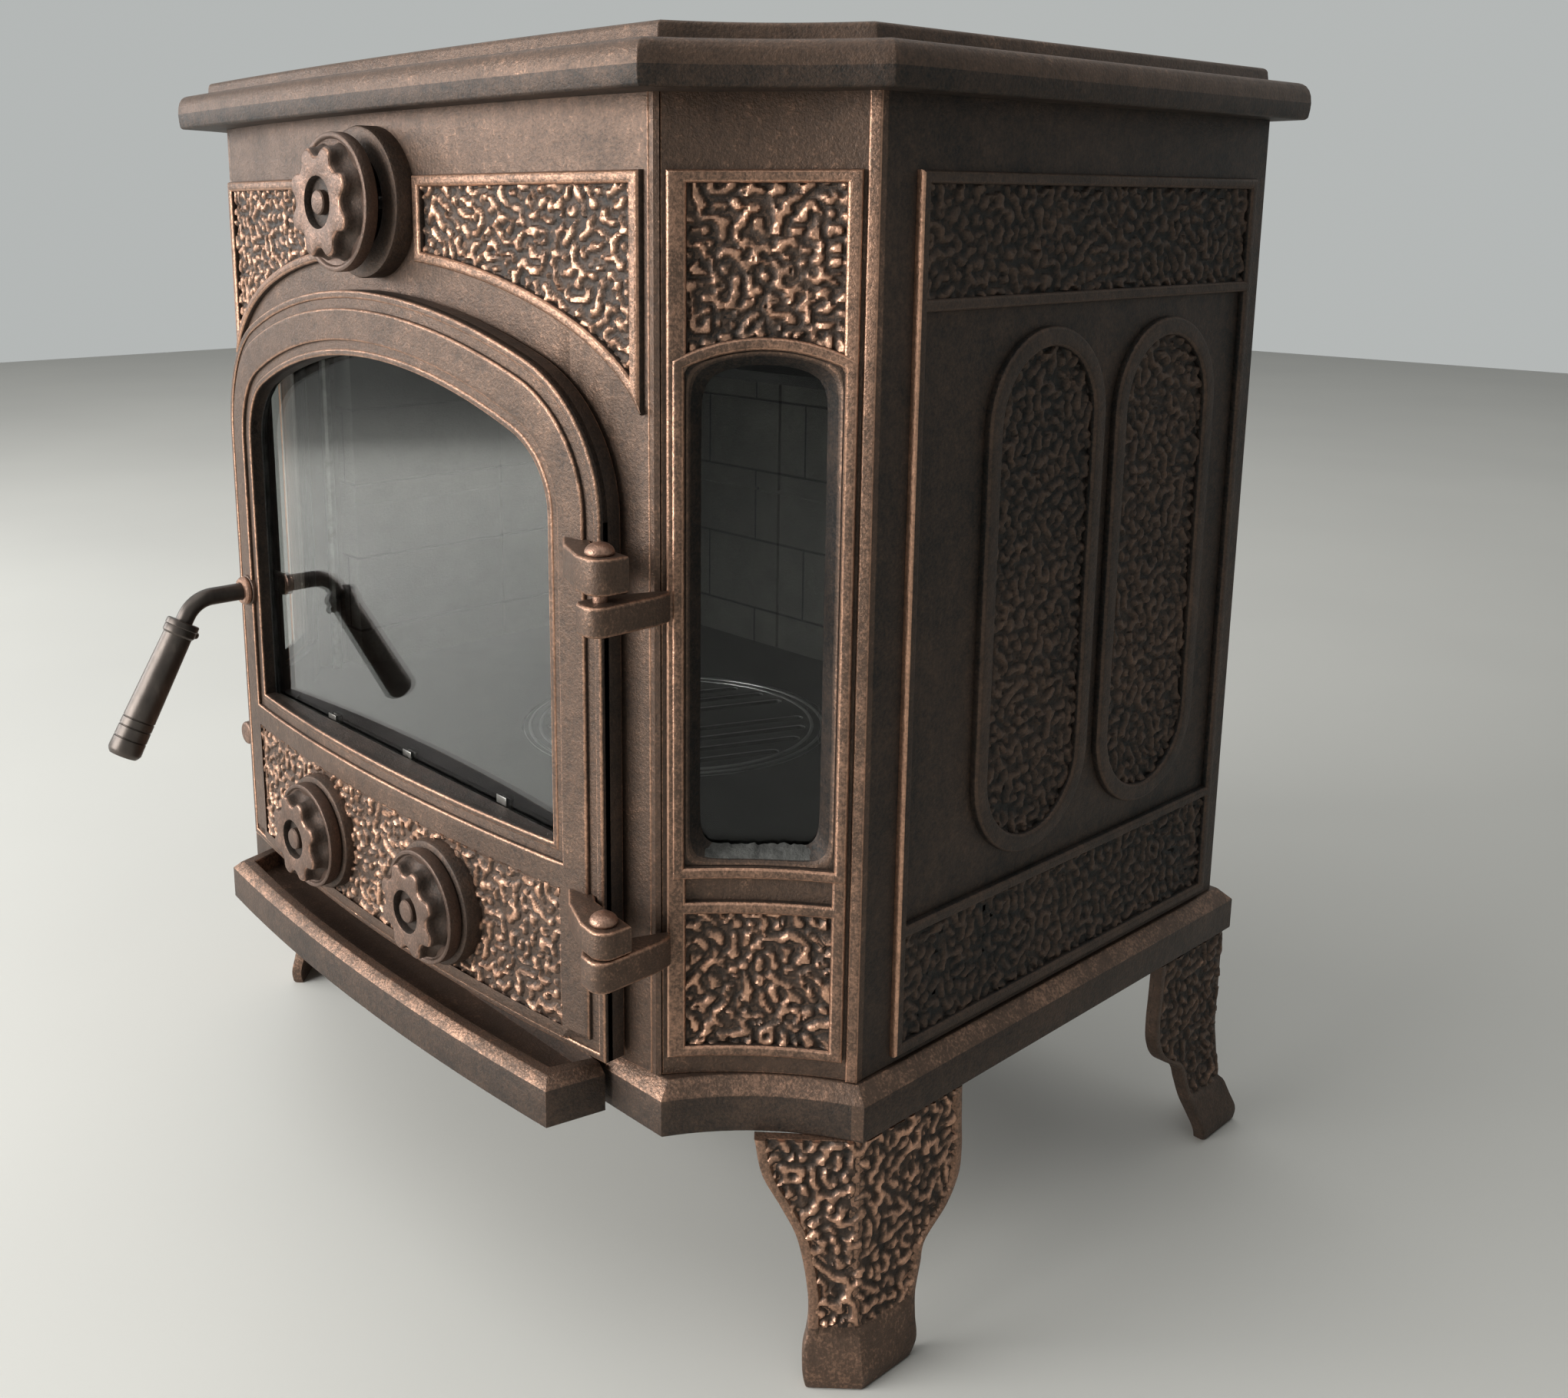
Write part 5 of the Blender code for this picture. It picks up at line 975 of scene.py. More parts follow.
def grid_inside(outline, cell=CELL):
    """A square grid of points and faces that covers an outline in the plane y = 0."""
    across = np.array([x for x, z in outline])
    up = np.array([z for x, z in outline])
    xs = np.arange(across.min(), across.max() + cell, cell)
    zs = np.arange(up.min(), up.max() + cell, cell)
    x, z = np.meshgrid(xs, zs)
    kept = within(outline, x, z)
    full = kept[:-1, :-1] & kept[1:, :-1] & kept[:-1, 1:] & kept[1:, 1:]
    number = np.arange(x.size).reshape(x.shape)
    faces = np.stack([number[:-1, :-1][full], number[:-1, 1:][full], number[1:, 1:][full],
                      number[1:, :-1][full]], axis=1)
    used, renumbered = np.unique(faces, return_inverse=True)
    points = np.stack([x.ravel()[used], np.zeros(len(used)), z.ravel()[used]], axis=1)
    return points, renumbered.reshape(faces.shape), xs


def mesh_from(points, faces):
    mesh = bpy.data.meshes.new("grid")
    mesh.from_pydata([tuple(point) for point in points], [], [tuple(face) for face in faces.tolist()])
    mesh.update()
    return mesh


def field(outline, surface, seed, depth=0.003, height=GRAIN_HEIGHT):
    """A closed slab that fills an outline, with worm grain raised from y = surface."""
    points, faces, columns = grid_inside(outline)
    mesh = grained(mesh_from(points, faces), seed, height)
    shape = bmesh.new()
    shape.from_mesh(mesh)
    rim = [edge for edge in shape.edges if edge.is_boundary]
    made = bmesh.ops.extrude_edge_only(shape, edges=rim)["geom"]
    for vertex in made:
        if isinstance(vertex, bmesh.types.BMVert):
            vertex.co.y = depth
    rim = [edge for edge in shape.edges if edge.is_boundary]
    cap = bmesh.ops.triangle_fill(shape, use_beauty=True, edges=rim)["geom"]
    cap = [item for item in cap if isinstance(item, bmesh.types.BMFace)]
    for place in columns[8:-4:8]:
        cap = [face for face in cap if face.is_valid]
        parts = dict.fromkeys(cap)
        for face in cap:
            parts.update(dict.fromkeys(face.verts))
            parts.update(dict.fromkeys(face.edges))
        cut = bmesh.ops.bisect_plane(shape, geom=list(parts), dist=0.00001, plane_co=(place, 0, 0),
                                     plane_no=(1, 0, 0))
        cap = [item for item in cut["geom"] if isinstance(item, bmesh.types.BMFace)]
    bmesh.ops.recalc_face_normals(shape, faces=shape.faces)
    shape.to_mesh(mesh)
    shape.free()
    points = points_of(mesh)
    points[:, 1] += surface
    return put_points(mesh, points)


def frame_bar(outer, holes, proud=FRAME_PROUD, rounding=0.0023, rounds=3):
    """A raised bar round one or more fields."""
    return edge_rubbed(outline_solid(outer, holes, -proud, FRAME_SINK, rounding, rounds), 0.58, 0.76)


# Front, corner and side panels

def seat_ring(x, z, front, back, share=1):
    """A round raised seat for an air wheel, with its bore."""
    deep = back - front
    bore = SEAT_BORE * share
    rim = SEAT_RADIUS * share
    profile = [(bore, deep), (rim, deep), (rim, 0.0022), (rim - 0.0006, 0.0007), (rim - 0.0020, 0),
               (bore + 0.0010, 0), (bore, 0.0010)]
    mesh = with_copper_level(turned(profile[::-1]), 0.34)
    return moved(mesh, Matrix.Translation((x, front, z)) @ Matrix.Rotation(-math.pi / 2, 4, "X"))


def spider(x, z, front, back, share=1):
    """Crossed bars with a hub that carry a wheel's spindle across the air hole."""
    reach = SEAT_BORE * share + 0.001
    hub = outline_solid(circle(0.009, 32, (x, z)), [circle(0.0043, 24, (x, z))], front, back, 0.0008)
    bars = []
    for turn in (0, math.pi / 2):
        corners = [(reach, 0.0035), (-reach, 0.0035), (-reach, -0.0035), (reach, -0.0035)]
        bar = [(x + a * math.cos(turn) - b * math.sin(turn), z + a * math.sin(turn) + b * math.cos(turn))
               for a, b in corners]
        bars.append(outline_solid(bar, [], front + 0.0005, back - 0.0005, 0.0008))
    return [with_copper_level(mesh, 0.1) for mesh in [hub] + bars]


def joint_post(x, y, way):
    """The cast corner that closes the notch where two panels meet at an angle."""
    along = JOINT_START * math.sin(math.pi / 4) - 0.0002
    thick = WALL * math.sin(math.pi / 4)
    reach = JOINT_INSET + 0.0002
    if way == "front":
        plan = [(x - reach, y), (x, y), (x + along, y + along), (x + along - thick, y + along + thick)]
    else:
        plan = [(x, y + reach), (x - along - thick, y - along + thick), (x - along, y - along), (x, y)]
    post = plan_solid(plan, [], PANEL_BOTTOM, PANEL_TOP, 0.0005)
    return with_copper_level(post, 0.46)


def make_front_panel():
    """The bowed front: its arched opening, two spandrels of worm grain and the upper air seat."""
    half = FRONT_HALF - JOINT_INSET
    wheel_hole = circle(SEAT_BORE + 0.0005, 64, (0, TOP_WHEEL_Z))
    plate = bowed(outline_solid(rectangle(-half, half, PANEL_BOTTOM, PANEL_TOP),
                                [door_outline(0.0125), wheel_hole], 0, WALL, 0.0008))
    bar = bowed(frame_bar(spandrel(FRAME_WIDTH), [spandrel(0)]))
    grain = [bowed(field(spandrel(FIELD_LAP), 0.0, 3), 0),
             bowed(mirrored(field(spandrel(FIELD_LAP), 0.0, 8)), 0)]
    seat_front = -FRONT_BOW - 0.012
    parts = [plate, bar, mirrored(bar)] + grain
    parts.append(seat_ring(0, TOP_WHEEL_Z, seat_front, -FRONT_BOW + 0.004))
    parts += spider(0, TOP_WHEEL_Z, -FRONT_BOW - 0.004, -FRONT_BOW + WALL - 0.001)
    post = joint_post(FRONT_HALF, 0, "front")
    parts += [post, mirrored(post)]
    piece("front_casting", parts, BODY, "stove", "cast_body", "front_panel")


def rounded_plan(outline, level, rounding=0.0016):
    """A block between two heights with all its edges rounded."""
    block = plan_solid(outline, [], level[0], level[1], rounding, 3)
    up = np.abs(face_normals(block)[:, 2])
    return with_copper_level(block, 0.46 + 0.28 * np.clip(4 * up ** 2 * (1 - up ** 2), 0, 1) ** 0.5)


def hinge_arm(level):
    """An arm that reaches forward from the corner to the hinge pin."""
    right = HINGE_X + HINGE_REACH
    front = HINGE_Y - HINGE_REACH
    root = right - FRONT_HALF
    turn = arc((HINGE_X + 0.0035, front + 0.0070), 0.0078, -math.pi / 2, 0, 6)
    outline = [(HINGE_X - 0.0085, front + 0.0035), (HINGE_X - 0.0045, front)] + turn
    outline += [(right, -0.008), (right - 0.0020, root - 0.012), (FRONT_HALF + 0.0060, 0.0045),
                (FRONT_HALF + 0.0015, -0.006), (HINGE_X - 0.0085, HINGE_Y + 0.008)]
    return rounded_plan(outline, level)


def window_lining():
    """The drafted inside of a corner window, with round corners, from its frame down to the glass."""
    back = WALL - 0.0004
    rings = []
    for grow, depth, rounds in ((0.0015, back, 0), (0.0015, -0.0010, 0), (0.0002, -0.0018, 6),
                                (-0.0008, -0.0014, 12), (-0.0018, -0.0002, 16), (-0.0068, back, 22)):
        rings.append([(x, depth, z) for x, z in softened(window_outline(grow), 220, rounds)])
    # Copper wear on the lip rings; the rings deep in the reveal are painted dark as shade.
    levels = np.repeat((0.1, 0.3, 0.5, 0.34, 0.14, 0.1), len(rings[0]))
    return with_copper_level(lofted(rings, closed=True), levels)


def make_corner_panels():
    """The hollow corners: window, textured fields, slot and edge strip, and the hinge arms."""
    left = 0.016
    right = CORNER_LENGTH - 0.016
    plate = rectangle(JOINT_START, CORNER_LENGTH - JOINT_START, PANEL_BOTTOM, PANEL_TOP)
    strip = rectangle(0.1015, CORNER_LENGTH - 0.0002, PANEL_BOTTOM, PANEL_TOP)
    border = rectangle(0.006, CORNER_LENGTH - 0.0085, FRAME_BOTTOM, FRAME_TOP)
    slot = rectangle(left, right, 0.2785, 0.293)
    lower = rectangle(left, right, FRAME_BOTTOM + 0.0065, 0.2715)
    grown = rectangle(left - FIELD_LAP, right + FIELD_LAP, FRAME_BOTTOM + 0.0035, 0.2745)
    for side, sign, seed in (("right", 1, 11), ("left", -1, 23)):
        parts = [outline_solid(plate, [window_outline(0)], 0, WALL, 0.0008),
                 frame_bar(border, [upper_field_outline(), window_outline(0.0006), slot, lower]),
                 frame_bar(window_outline(0.0072), [window_outline(0.0008)], FRAME_PROUD + 0.0008, 0.0022),
                 frame_bar(strip, [], 0.0022, 0.0015)]
        parts = [hollowed(part) for part in parts]
        parts.append(hollowed(window_lining(), 0))
        parts += [hollowed(field(upper_field_outline(FIELD_LAP), 0.0, seed, 0.0055), 0),
                  hollowed(field(grown, 0.0, seed + 1, 0.0055), 0)]
        if side == "right":
            parts += [hinge_arm(UPPER_ARM), hinge_arm(LOWER_ARM)]
        piece("corner_casting_" + side, [handed(part, sign) for part in parts], BODY, "stove", "cast_body",
              "corner_panel_" + side)


def make_side_panels():
    """The flat sides: an upper and a lower band of worm grain, and two upright ovals."""
    front = CORNER_REACH + 0.0255
    back = BODY_DEPTH - 0.016
    left = front + FRAME_WIDTH
    right = back - FRAME_WIDTH
    upper = FRAME_TOP - 0.062
    lower = SIDE_FRAME_BOTTOM + 0.0755
    plate = rectangle(CORNER_REACH + JOINT_INSET, BODY_DEPTH, PANEL_BOTTOM, PANEL_TOP)
    fields = [rectangle(left, right, upper, FRAME_TOP - FRAME_WIDTH),
              rectangle(left, right, lower, upper - FRAME_WIDTH),
              rectangle(left, right, SIDE_FRAME_BOTTOM + FRAME_WIDTH, lower - FRAME_WIDTH)]
    for side, sign, seed in (("right", 1, 31), ("left", -1, 47)):
        bars = frame_bar(rectangle(front, back, SIDE_FRAME_BOTTOM, FRAME_TOP), fields)
        parts = [outline_solid(plate, [], 0, WALL, 0.0008), bars]
        for index, band in enumerate((fields[0], fields[2])):
            (x0, z0), _, (x1, z1), _ = band
            grown = rectangle(x0 - FIELD_LAP, x1 + FIELD_LAP, z0 - FIELD_LAP, z1 + FIELD_LAP)
            parts.append(field(grown, 0.0, seed + index, height=0.0023))
        for index, shift in enumerate((-0.5, 0.5)):
            middle = OVAL_MIDDLE + OVAL_SPACING * shift
            bar = outline_solid(stadium(middle, *OVAL_OUTER), [stadium(middle, *OVAL_INNER)], -0.005,
                                FRAME_SINK, 0.0024, 3)
            parts.append(edge_rubbed(bar, 0.5, 0.74))
            parts.append(field(stadium(middle, *OVAL_FIELD), 0.0, seed + 4 + index))
        # The sides stand out of the light: their copper is cut to under half as painted shade.
        parts = [with_painted_shade(sided(part), 0.47) for part in parts]
        # Painted highlight: the frame's front-facing faces near its front edge are set bright where light
        # glints on them.
        painted_glint = (face_normals(bars)[:, 1] < -0.25) & (face_centres(bars)[:, 1] < front + 0.003)
        with_painted_highlight(bars, painted_glint, 0.84)
        parts.append(joint_post(SIDE_HALF, CORNER_REACH, "side"))
        piece("side_casting_" + side, [handed(part, sign) for part in parts], BODY, "stove", "cast_body",
              "side_panel_" + side)


make_front_panel()
make_corner_panels()
make_side_panels()


# Top plate, base plate and ash lip

def plate_ring(front_half, front_y, side_half, corner_y, back_y, bow, hollow, inset, z):
    """One level of the top plate or the base plate, anticlockwise, drawn in by an inset."""
    share = math.tan(math.radians(22.5))
    front_half -= inset * share
    front_y += inset
    side_half -= inset
    corner_y += inset * share
    back_y -= inset
    points = []
    steps = 36
    for index in range(steps + 1):
        x = front_half * (2 * index / steps - 1)
        points.append((x, front_y - bow * (1 - (x / front_half) ** 2)))
    start = Vector((front_half, front_y))
    end = Vector((side_half, corner_y))
    inward = Vector((start.y - end.y, end.x - start.x)).normalized()
    corner = []
    steps = 16
    for index in range(1, steps + 1):
        share = index / steps
        point = start.lerp(end, share) + inward * hollow * (1 - (2 * share - 1) ** 2)
        corner.append((point.x, point.y))
    points += corner
    points.append((side_half, back_y))
    points.append((-side_half, back_y))
    points += [(-x, y) for x, y in reversed(corner)]
    return [(x, y, z) for x, y in points]


def top_ring(inset, z):
    return plate_ring(FRONT_HALF + 0.0195, -0.026, SIDE_HALF + 0.0165, CORNER_REACH - 0.0110,
                      BODY_DEPTH + 0.018, 0.009, PLATE_HOLLOW, inset, z)


def base_ring(inset, z):
    return plate_ring(FRONT_HALF + 0.0105, -0.0055, SIDE_HALF + 0.0095, CORNER_REACH - 0.0045,
                      BODY_DEPTH + 0.014, 0.006, PLATE_HOLLOW, inset, z)


def slope_rubbed(mesh, flat, edge, wall):
    """Copper on the rounded upper edges of a plate."""
    up = face_normals(mesh)[:, 2]
    worn = np.clip(4 * up ** 2 * (1 - up ** 2), 0, 1) ** 0.7
    base = np.where(np.abs(up) > 0.95, flat, wall)
    level = np.where(up > 0, base + (edge - base) * worn, wall * 0.5)
    return with_copper_level(mesh, level)


def make_plates():
    """The top plate with its stepped lid, and the base plate."""
    rim = BODY_TOP + TOP_RIM_HEIGHT
    top = rim + TOP_STEP_HEIGHT
    levels = [(0.0022, BODY_TOP), (0.0008, BODY_TOP + 0.0012), (0.0002, BODY_TOP + 0.006),
              (0.0, BODY_TOP + 0.010), (0.0004, BODY_TOP + 0.0145), (0.0012, BODY_TOP + 0.0175),
              (0.0026, BODY_TOP + 0.0200), (0.0042, BODY_TOP + 0.0213), (0.0060, rim),
              (0.0182, rim + 0.0003), (0.0190, rim + 0.0012), (0.0196, top - 0.0022),
              (0.0204, top - 0.0007), (0.0218, top)]
    plate = lofted([top_ring(inset, z) for inset, z in levels], 0.0012)
    piece("top_casting", [slope_rubbed(plate, 0.32, 0.44, 0.40)], BODY, "stove", "cast_body", "top_plate",
          angle=30)
    base = lofted([base_ring(0.001, BASE_BOTTOM), base_ring(0, BASE_BOTTOM + 0.001),
                   base_ring(0, BODY_BOTTOM - 0.0082), base_ring(0.0075, BODY_BOTTOM - 0.0004),
                   base_ring(0.0084, BODY_BOTTOM)], 0.0014)
    piece("base_casting", [slope_rubbed(base, 0.38, 0.52, 0.50)], BODY, "stove", "cast_body", "base_plate",
          angle=30)


def lip_ring(inset, front_inset, z):
    """One level of the ash lip, from its back corners round its bowed front."""
    front_half = 0.190 - inset
    back_half = 0.198 - inset
    points = [(back_half, -0.0118), (-back_half, -0.0118)]
    steps = 36
    for index in range(steps + 1):
        x = front_half * (2 * index / steps - 1)
        points.append((x, -0.0465 - 0.010 * (1 - (x / front_half) ** 2) + front_inset))
    return [(x, y, z) for x, y in points]


def make_ash_lip():
    """The bowed tray in front of the base, with a raised rim on three sides."""
    top = 0.174
    floor = top - 0.011
    outer = [(0.0, BASE_BOTTOM), (0.0, top - 0.0052), (0.0046, top - 0.0004), (0.0054, top)]
    inner = [(0.0112, top), (0.0120, top - 0.0008), (0.0128, floor)]
    rings = [lip_ring(inset, inset, z) for inset, z in outer]
    for inset, z in inner:
        ring = lip_ring(inset, inset, z)
        ring[0] = (ring[0][0], -0.0119, z)
        ring[1] = (ring[1][0], -0.0119, z)
        rings.append(ring)
    lip = lofted(rings, 0.0009)
    piece("ash_lip_casting", [slope_rubbed(lip, 0.44, 0.54, 0.54)], BODY, "stove", "cast_body", "ash_lip",
          angle=30)


make_plates()
make_ash_lip()


# Legs

# Rows of height, length of the side face, length of the other face, and sweep of the foot
LEG_LEVELS = [(0.000, 0.040, 0.031, 0.0100), (0.008, 0.045, 0.033, 0.0110), (0.022, 0.046, 0.032, 0.0070),
              (0.032, 0.047, 0.029, 0.0040), (0.050, 0.052, 0.028, 0.0020), (0.062, 0.056, 0.029, 0.0010),
              (0.075, 0.075, 0.031, 0.0000), (0.090, 0.085, 0.035, 0.0000), (0.106, 0.087, 0.043, 0.0000),
              (0.124, 0.086, 0.053, 0.0000), (0.1467, 0.085, 0.058, 0.0000)]
LEG_WALL = 0.008
LEG_RECESS = 0.0024
LEG_FIELD_BOTTOM = 0.034


def leg_measure(column, z):
    """A column of the leg table at any height, along a smooth curve through its rows."""
    heights = np.array([row[0] for row in LEG_LEVELS])
    values = np.array([row[column] for row in LEG_LEVELS])
    slopes = np.gradient(values, heights)
    place = np.clip(np.searchsorted(heights, z) - 1, 0, len(heights) - 2)
    low, high = heights[place], heights[place + 1]
    span = high - low
    t = (z - low) / span
    return ((2 * t ** 3 - 3 * t ** 2 + 1) * values[place] + (t ** 3 - 2 * t ** 2 + t) * span * slopes[place]
            + (3 * t ** 2 - 2 * t ** 3) * values[place + 1] + (t ** 3 - t ** 2) * span * slopes[place + 1])


def leg_frame(rear):
    """The leg's outer corner, the ways its two faces run, and the ways their backs face."""
    x = SIDE_HALF + 0.009
    if rear:
        corner = Vector((x, BODY_DEPTH + 0.0135))
        along, other = Vector((0, -1)), Vector((-1, 0))
    else:
        corner = Vector((x, CORNER_REACH - 0.0045))
        along, other = Vector((0, 1)), Vector((-1, -1)).normalized()
    inward = Vector((-1, 0))
    other_inward = Vector((-other.y, other.x))
    if other_inward.dot(along) < 0:
        other_inward = -other_inward
    return corner, along, other, inward, other_inward


def leg_rings(rear):
    """The leg's section at many heights: a rim round two sunk faces, and the plain back."""
    corner, along, other, inward, other_inward = leg_frame(rear)
    rings = []
    for z in np.concatenate([[0.0, 0.0012], np.linspace(0.003, 0.1467, 56)]):
        side = float(leg_measure(1, z))
        end = float(leg_measure(2, z))
        sweep = float(leg_measure(3, z))
        foot = corner - (along + other) * sweep
        sink = LEG_RECESS * min(max((z - LEG_FIELD_BOTTOM + 0.003) / 0.0035, 0), 1)
        tuck = 0.0012 if z == 0 else 0.0
        mitre = (inward + other_inward) / (1 + inward.dot(other_inward))

        def at(way, back, distance, depth):
            point = foot + way * distance + back * depth
            return (point.x, point.y, z)

        rim = [(0.0, 0.0012 + tuck), (0.0004, 0.0004 + tuck), (0.0013, tuck), (0.0046, tuck),
               (0.0056, 0.15 * sink + tuck), (0.0064, 0.7 * sink + tuck), (0.0070, sink + tuck)]
        ring = [at(other, other_inward, end - step, depth) for step, depth in rim]
        heel = foot + mitre * (sink + tuck + 0.0006)
        ring.append((heel.x, heel.y, z))
        ring += [at(along, inward, side - step, depth) for step, depth in reversed(rim)]
        ring.append(at(along, inward, side, LEG_WALL))
        inner = foot + mitre * LEG_WALL
        ring.append((inner.x, inner.y, z))
        ring.append(at(other, other_inward, end, LEG_WALL))
        rings.append(ring)
    return rings


def leg_field(rear, seed):
    """The worm grain that wraps round the leg's corner, as a closed skin."""
    corner, along, other, inward, other_inward = leg_frame(rear)
    heights = np.linspace(LEG_FIELD_BOTTOM, 0.1467, 60)
    outline = [(-float(leg_measure(2, z)) + 0.0045, z) for z in heights[::-1]]
    outline += [(float(leg_measure(1, z)) - 0.0045, z) for z in heights]
    points, faces, _ = grid_inside(outline[::-1])
    across, up = points[:, 0], points[:, 2]
    bend = 0.004
    right = (across + np.sqrt(across ** 2 + bend ** 2)) / 2
    left = right - across
    sweep = np.array([float(leg_measure(3, z)) for z in up])

    def skin(depth):
        mitre = (inward + other_inward) / (1 + inward.dot(other_inward))
        flat = [corner[axis] - (along[axis] + other[axis]) * sweep + along[axis] * right
                + other[axis] * left + mitre[axis] * depth for axis in (0, 1)]
        return np.stack(flat + [up], axis=1)

    front = mesh_from(skin(LEG_RECESS), faces)
    outward = np.array(list(front.polygons[0].normal))
    away = np.array([-(inward.x + other_inward.x), -(inward.y + other_inward.y), 0.0])
    if outward @ away < 0:
        faces = faces[:, ::-1]
        front = mesh_from(skin(LEG_RECESS), faces)
    mesh = grained(front, seed, 0.0025, fullness=-0.05)
    raised = points_of(mesh)
    rub = np.empty(len(mesh.vertices))
    mesh.attributes["rub"].data.foreach_get("value", rub)
    back = skin(LEG_RECESS + 0.0025)
    count = len(raised)
    edges = {}
    for face in faces.tolist():
        for a, b in zip(face, face[1:] + face[:1]):
            if (b, a) in edges:
                del edges[(b, a)]
            else:
                edges[(a, b)] = True
    walls = [(b, a, a + count, b + count) for a, b in edges]
    whole = mesh_from(np.concatenate([raised, back]),
                      np.concatenate([faces, faces[:, ::-1] + count, np.array(walls)]))
    painted = whole.attributes.new("rub", "FLOAT", "POINT")
    painted.data.foreach_set("value", np.concatenate([rub, rub]))
    return whole


def make_legs():
    """Four corner legs of angle section, with worm grain on both outer faces."""
    for place, rear, seed in (("front", False, 61), ("rear", True, 75)):
        body = lofted(leg_rings(rear))
        with_copper_level(body, np.where(face_centres(body)[:, 2] > LEG_FIELD_BOTTOM, 0.62, 0.5))
        for side, sign in SIDES:
            parts = [body.copy(), leg_field(rear, seed + sign)]
            # The rear legs stand in shadow: their copper is cut as painted shade.
            if rear:
                parts = [with_painted_shade(part, 0.62) for part in parts]
            name = "leg_%s_%s" % (place, side)
            piece("cast_" + name, [handed(part, sign) for part in parts], BODY, "stove", "cast_copper", name)


make_legs()


# Door

def flat_face(outline, holes, depth, thick, rounding):
    """A layer of the door's bowed face, from a depth behind its front."""
    front = -DOOR_PROUD + depth
    return bowed(outline_solid(outline, holes, front, front + thick, rounding))


def reveal_ring():
    """The walls of the glass opening, from the bowed face back to the flat glass."""
    inner = dense(glass_outline(0))
    outer = dense(glass_outline(0.004), guide=glass_outline(0))

    def face_ring(outline):
        return [(x, -DOOR_PROUD + 0.004 - front_bow(x), z) for x, z in outline]

    def glass_ring(outline):
        return [(x, GLASS_PLANE - 0.0020, z) for x, z in outline]

    rings = [face_ring(inner), glass_ring(inner), glass_ring(outer), face_ring(outer)]
    return with_copper_level(lofted(rings, closed=True), 0.22)


def hinge_lug(level):
    """A lug on the door's edge that sits over the hinge arm."""
    right = HINGE_X + HINGE_REACH
    front = HINGE_Y - HINGE_REACH
    turn = arc((HINGE_X + 0.0030, front + 0.0095), 0.0085, -math.pi / 2, 0, 8)
    outline = [(DOOR_HALF - 0.012, -0.016), (DOOR_HALF - 0.024, -0.0245), (DOOR_HALF - 0.010, -0.0350),
               (HINGE_X - 0.008, front + 0.0025)] + turn
    outline += [(right, HINGE_Y + 0.009), (DOOR_HALF - 0.002, HINGE_Y + 0.013)]
    return rounded_plan(outline, level)


def boss(x, z, radius, front, back):
    """A round boss through the door at the handle."""
    mesh = outline_solid(circle(radius, 48, (x, z)), [circle(ROD_HOLE, 32, (x, z))], front, back, 0.0009)
    return with_copper_level(mesh, 0.4)


def screw_post(x, z):
    """A round post behind the door's face that takes a screw of the glass holder."""
    front = -DOOR_PROUD - front_bow(x) + 0.005
    post = outline_solid(circle(0.005, 32, (x, z)), [circle(0.0023, 20, (x, z))], front, -0.0085, 0.0005)
    return with_copper_level(post, 0.2)


def make_door():
    """The bowed door in layers: rim, stepped edge, face, bead round the glass, and worm grain."""
    left, right, low, high = DOOR_FIELD
    field_hole = rectangle(left, right, low, high)
    band = 0.0042
    step_hole = rectangle(left - band, right + band, low - band * 0.7, high + band)
    grown = rectangle(left - FIELD_LAP, right + FIELD_LAP, low - FIELD_LAP, high + FIELD_LAP)
    rod_hole = circle(ROD_HOLE, 24, (HANDLE_X, HANDLE_Z))
    border = rectangle(left - band - 0.002, right + band + 0.002, low - band * 0.7 - 0.002, high + band + 0.002)
    parts = [flat_face(door_outline(0), [glass_outline(0.0008), rod_hole], 0.0026, 0.0054, 0.0012),
             flat_face(door_outline(0), [door_outline(0.0046)], 0.0012, 0.0145, 0.0012),
             flat_face(door_outline(0.0104), [glass_outline(0.0092), step_hole], 0.0, 0.0060, 0.0012),
             flat_face(glass_outline(0.0040), [glass_outline(0.0)], 0.0019, 0.0070, 0.0012),
             flat_face(border, [field_hole], 0.0014, 0.0052, 0.0008),
             reveal_ring()]
    parts.append(bowed(field(grown, -DOOR_PROUD + DOOR_FIELD_DEPTH + 0.0004, 91, 0.0048), 0))
    surface = -DOOR_PROUD - front_bow(DOOR_WHEEL_X)
    for x in (-DOOR_WHEEL_X, DOOR_WHEEL_X):
        parts.append(seat_ring(x, DOOR_WHEEL_Z, surface - 0.006, surface + 0.0065, DOOR_WHEEL_SHARE))
        parts += spider(x, DOOR_WHEEL_Z, surface, surface + DOOR_SKIN, DOOR_WHEEL_SHARE)
    parts += [hinge_lug(UPPER_LUG), hinge_lug(LOWER_LUG)]
    seat = -DOOR_PROUD - front_bow(HANDLE_SEAT_X) - GAP
    inside = -0.002 - front_bow(HANDLE_INSIDE_X)
    parts += [boss(HANDLE_X, HANDLE_Z, 0.0108, seat, -0.020), boss(HANDLE_X, HANDLE_Z, 0.0076, -0.021, inside)]
    parts += [screw_post(x, z) for x, z in ((-0.098, 0.285), (0.098, 0.285), (-0.098, 0.5518), (0.098, 0.5518))]
    piece("door_casting", parts, BODY, "door", "cast_body", "door")


make_door()


def make_hinge_pins():
    """Dome-headed pins that drop through the lugs into the arms."""
    for name, lug, arm in (("hinge_pin_upper", UPPER_LUG, UPPER_ARM),
                           ("hinge_pin_lower", LOWER_LUG, LOWER_ARM)):
        top = lug[1] + GAP
        profile = [(0, top + 0.006)]
        for index in range(1, 13):
            angle = math.pi / 2 * index / 12
            profile.append((0.0075 * math.sin(angle), top + 0.0008 + 0.0052 * math.cos(angle)))
        profile += [(0.0071, top), (0.0037, top), (0.0037, arm[0]), (0, arm[0])]
        pin = moved(turned(profile, 40), Matrix.Translation((HINGE_X, HINGE_Y, 0)))
        piece(name + "_turned", [with_copper_level(pin, 0.75)], DIALS, NODE_BODY[name], "cast_copper", name)


make_hinge_pins()


# Handle

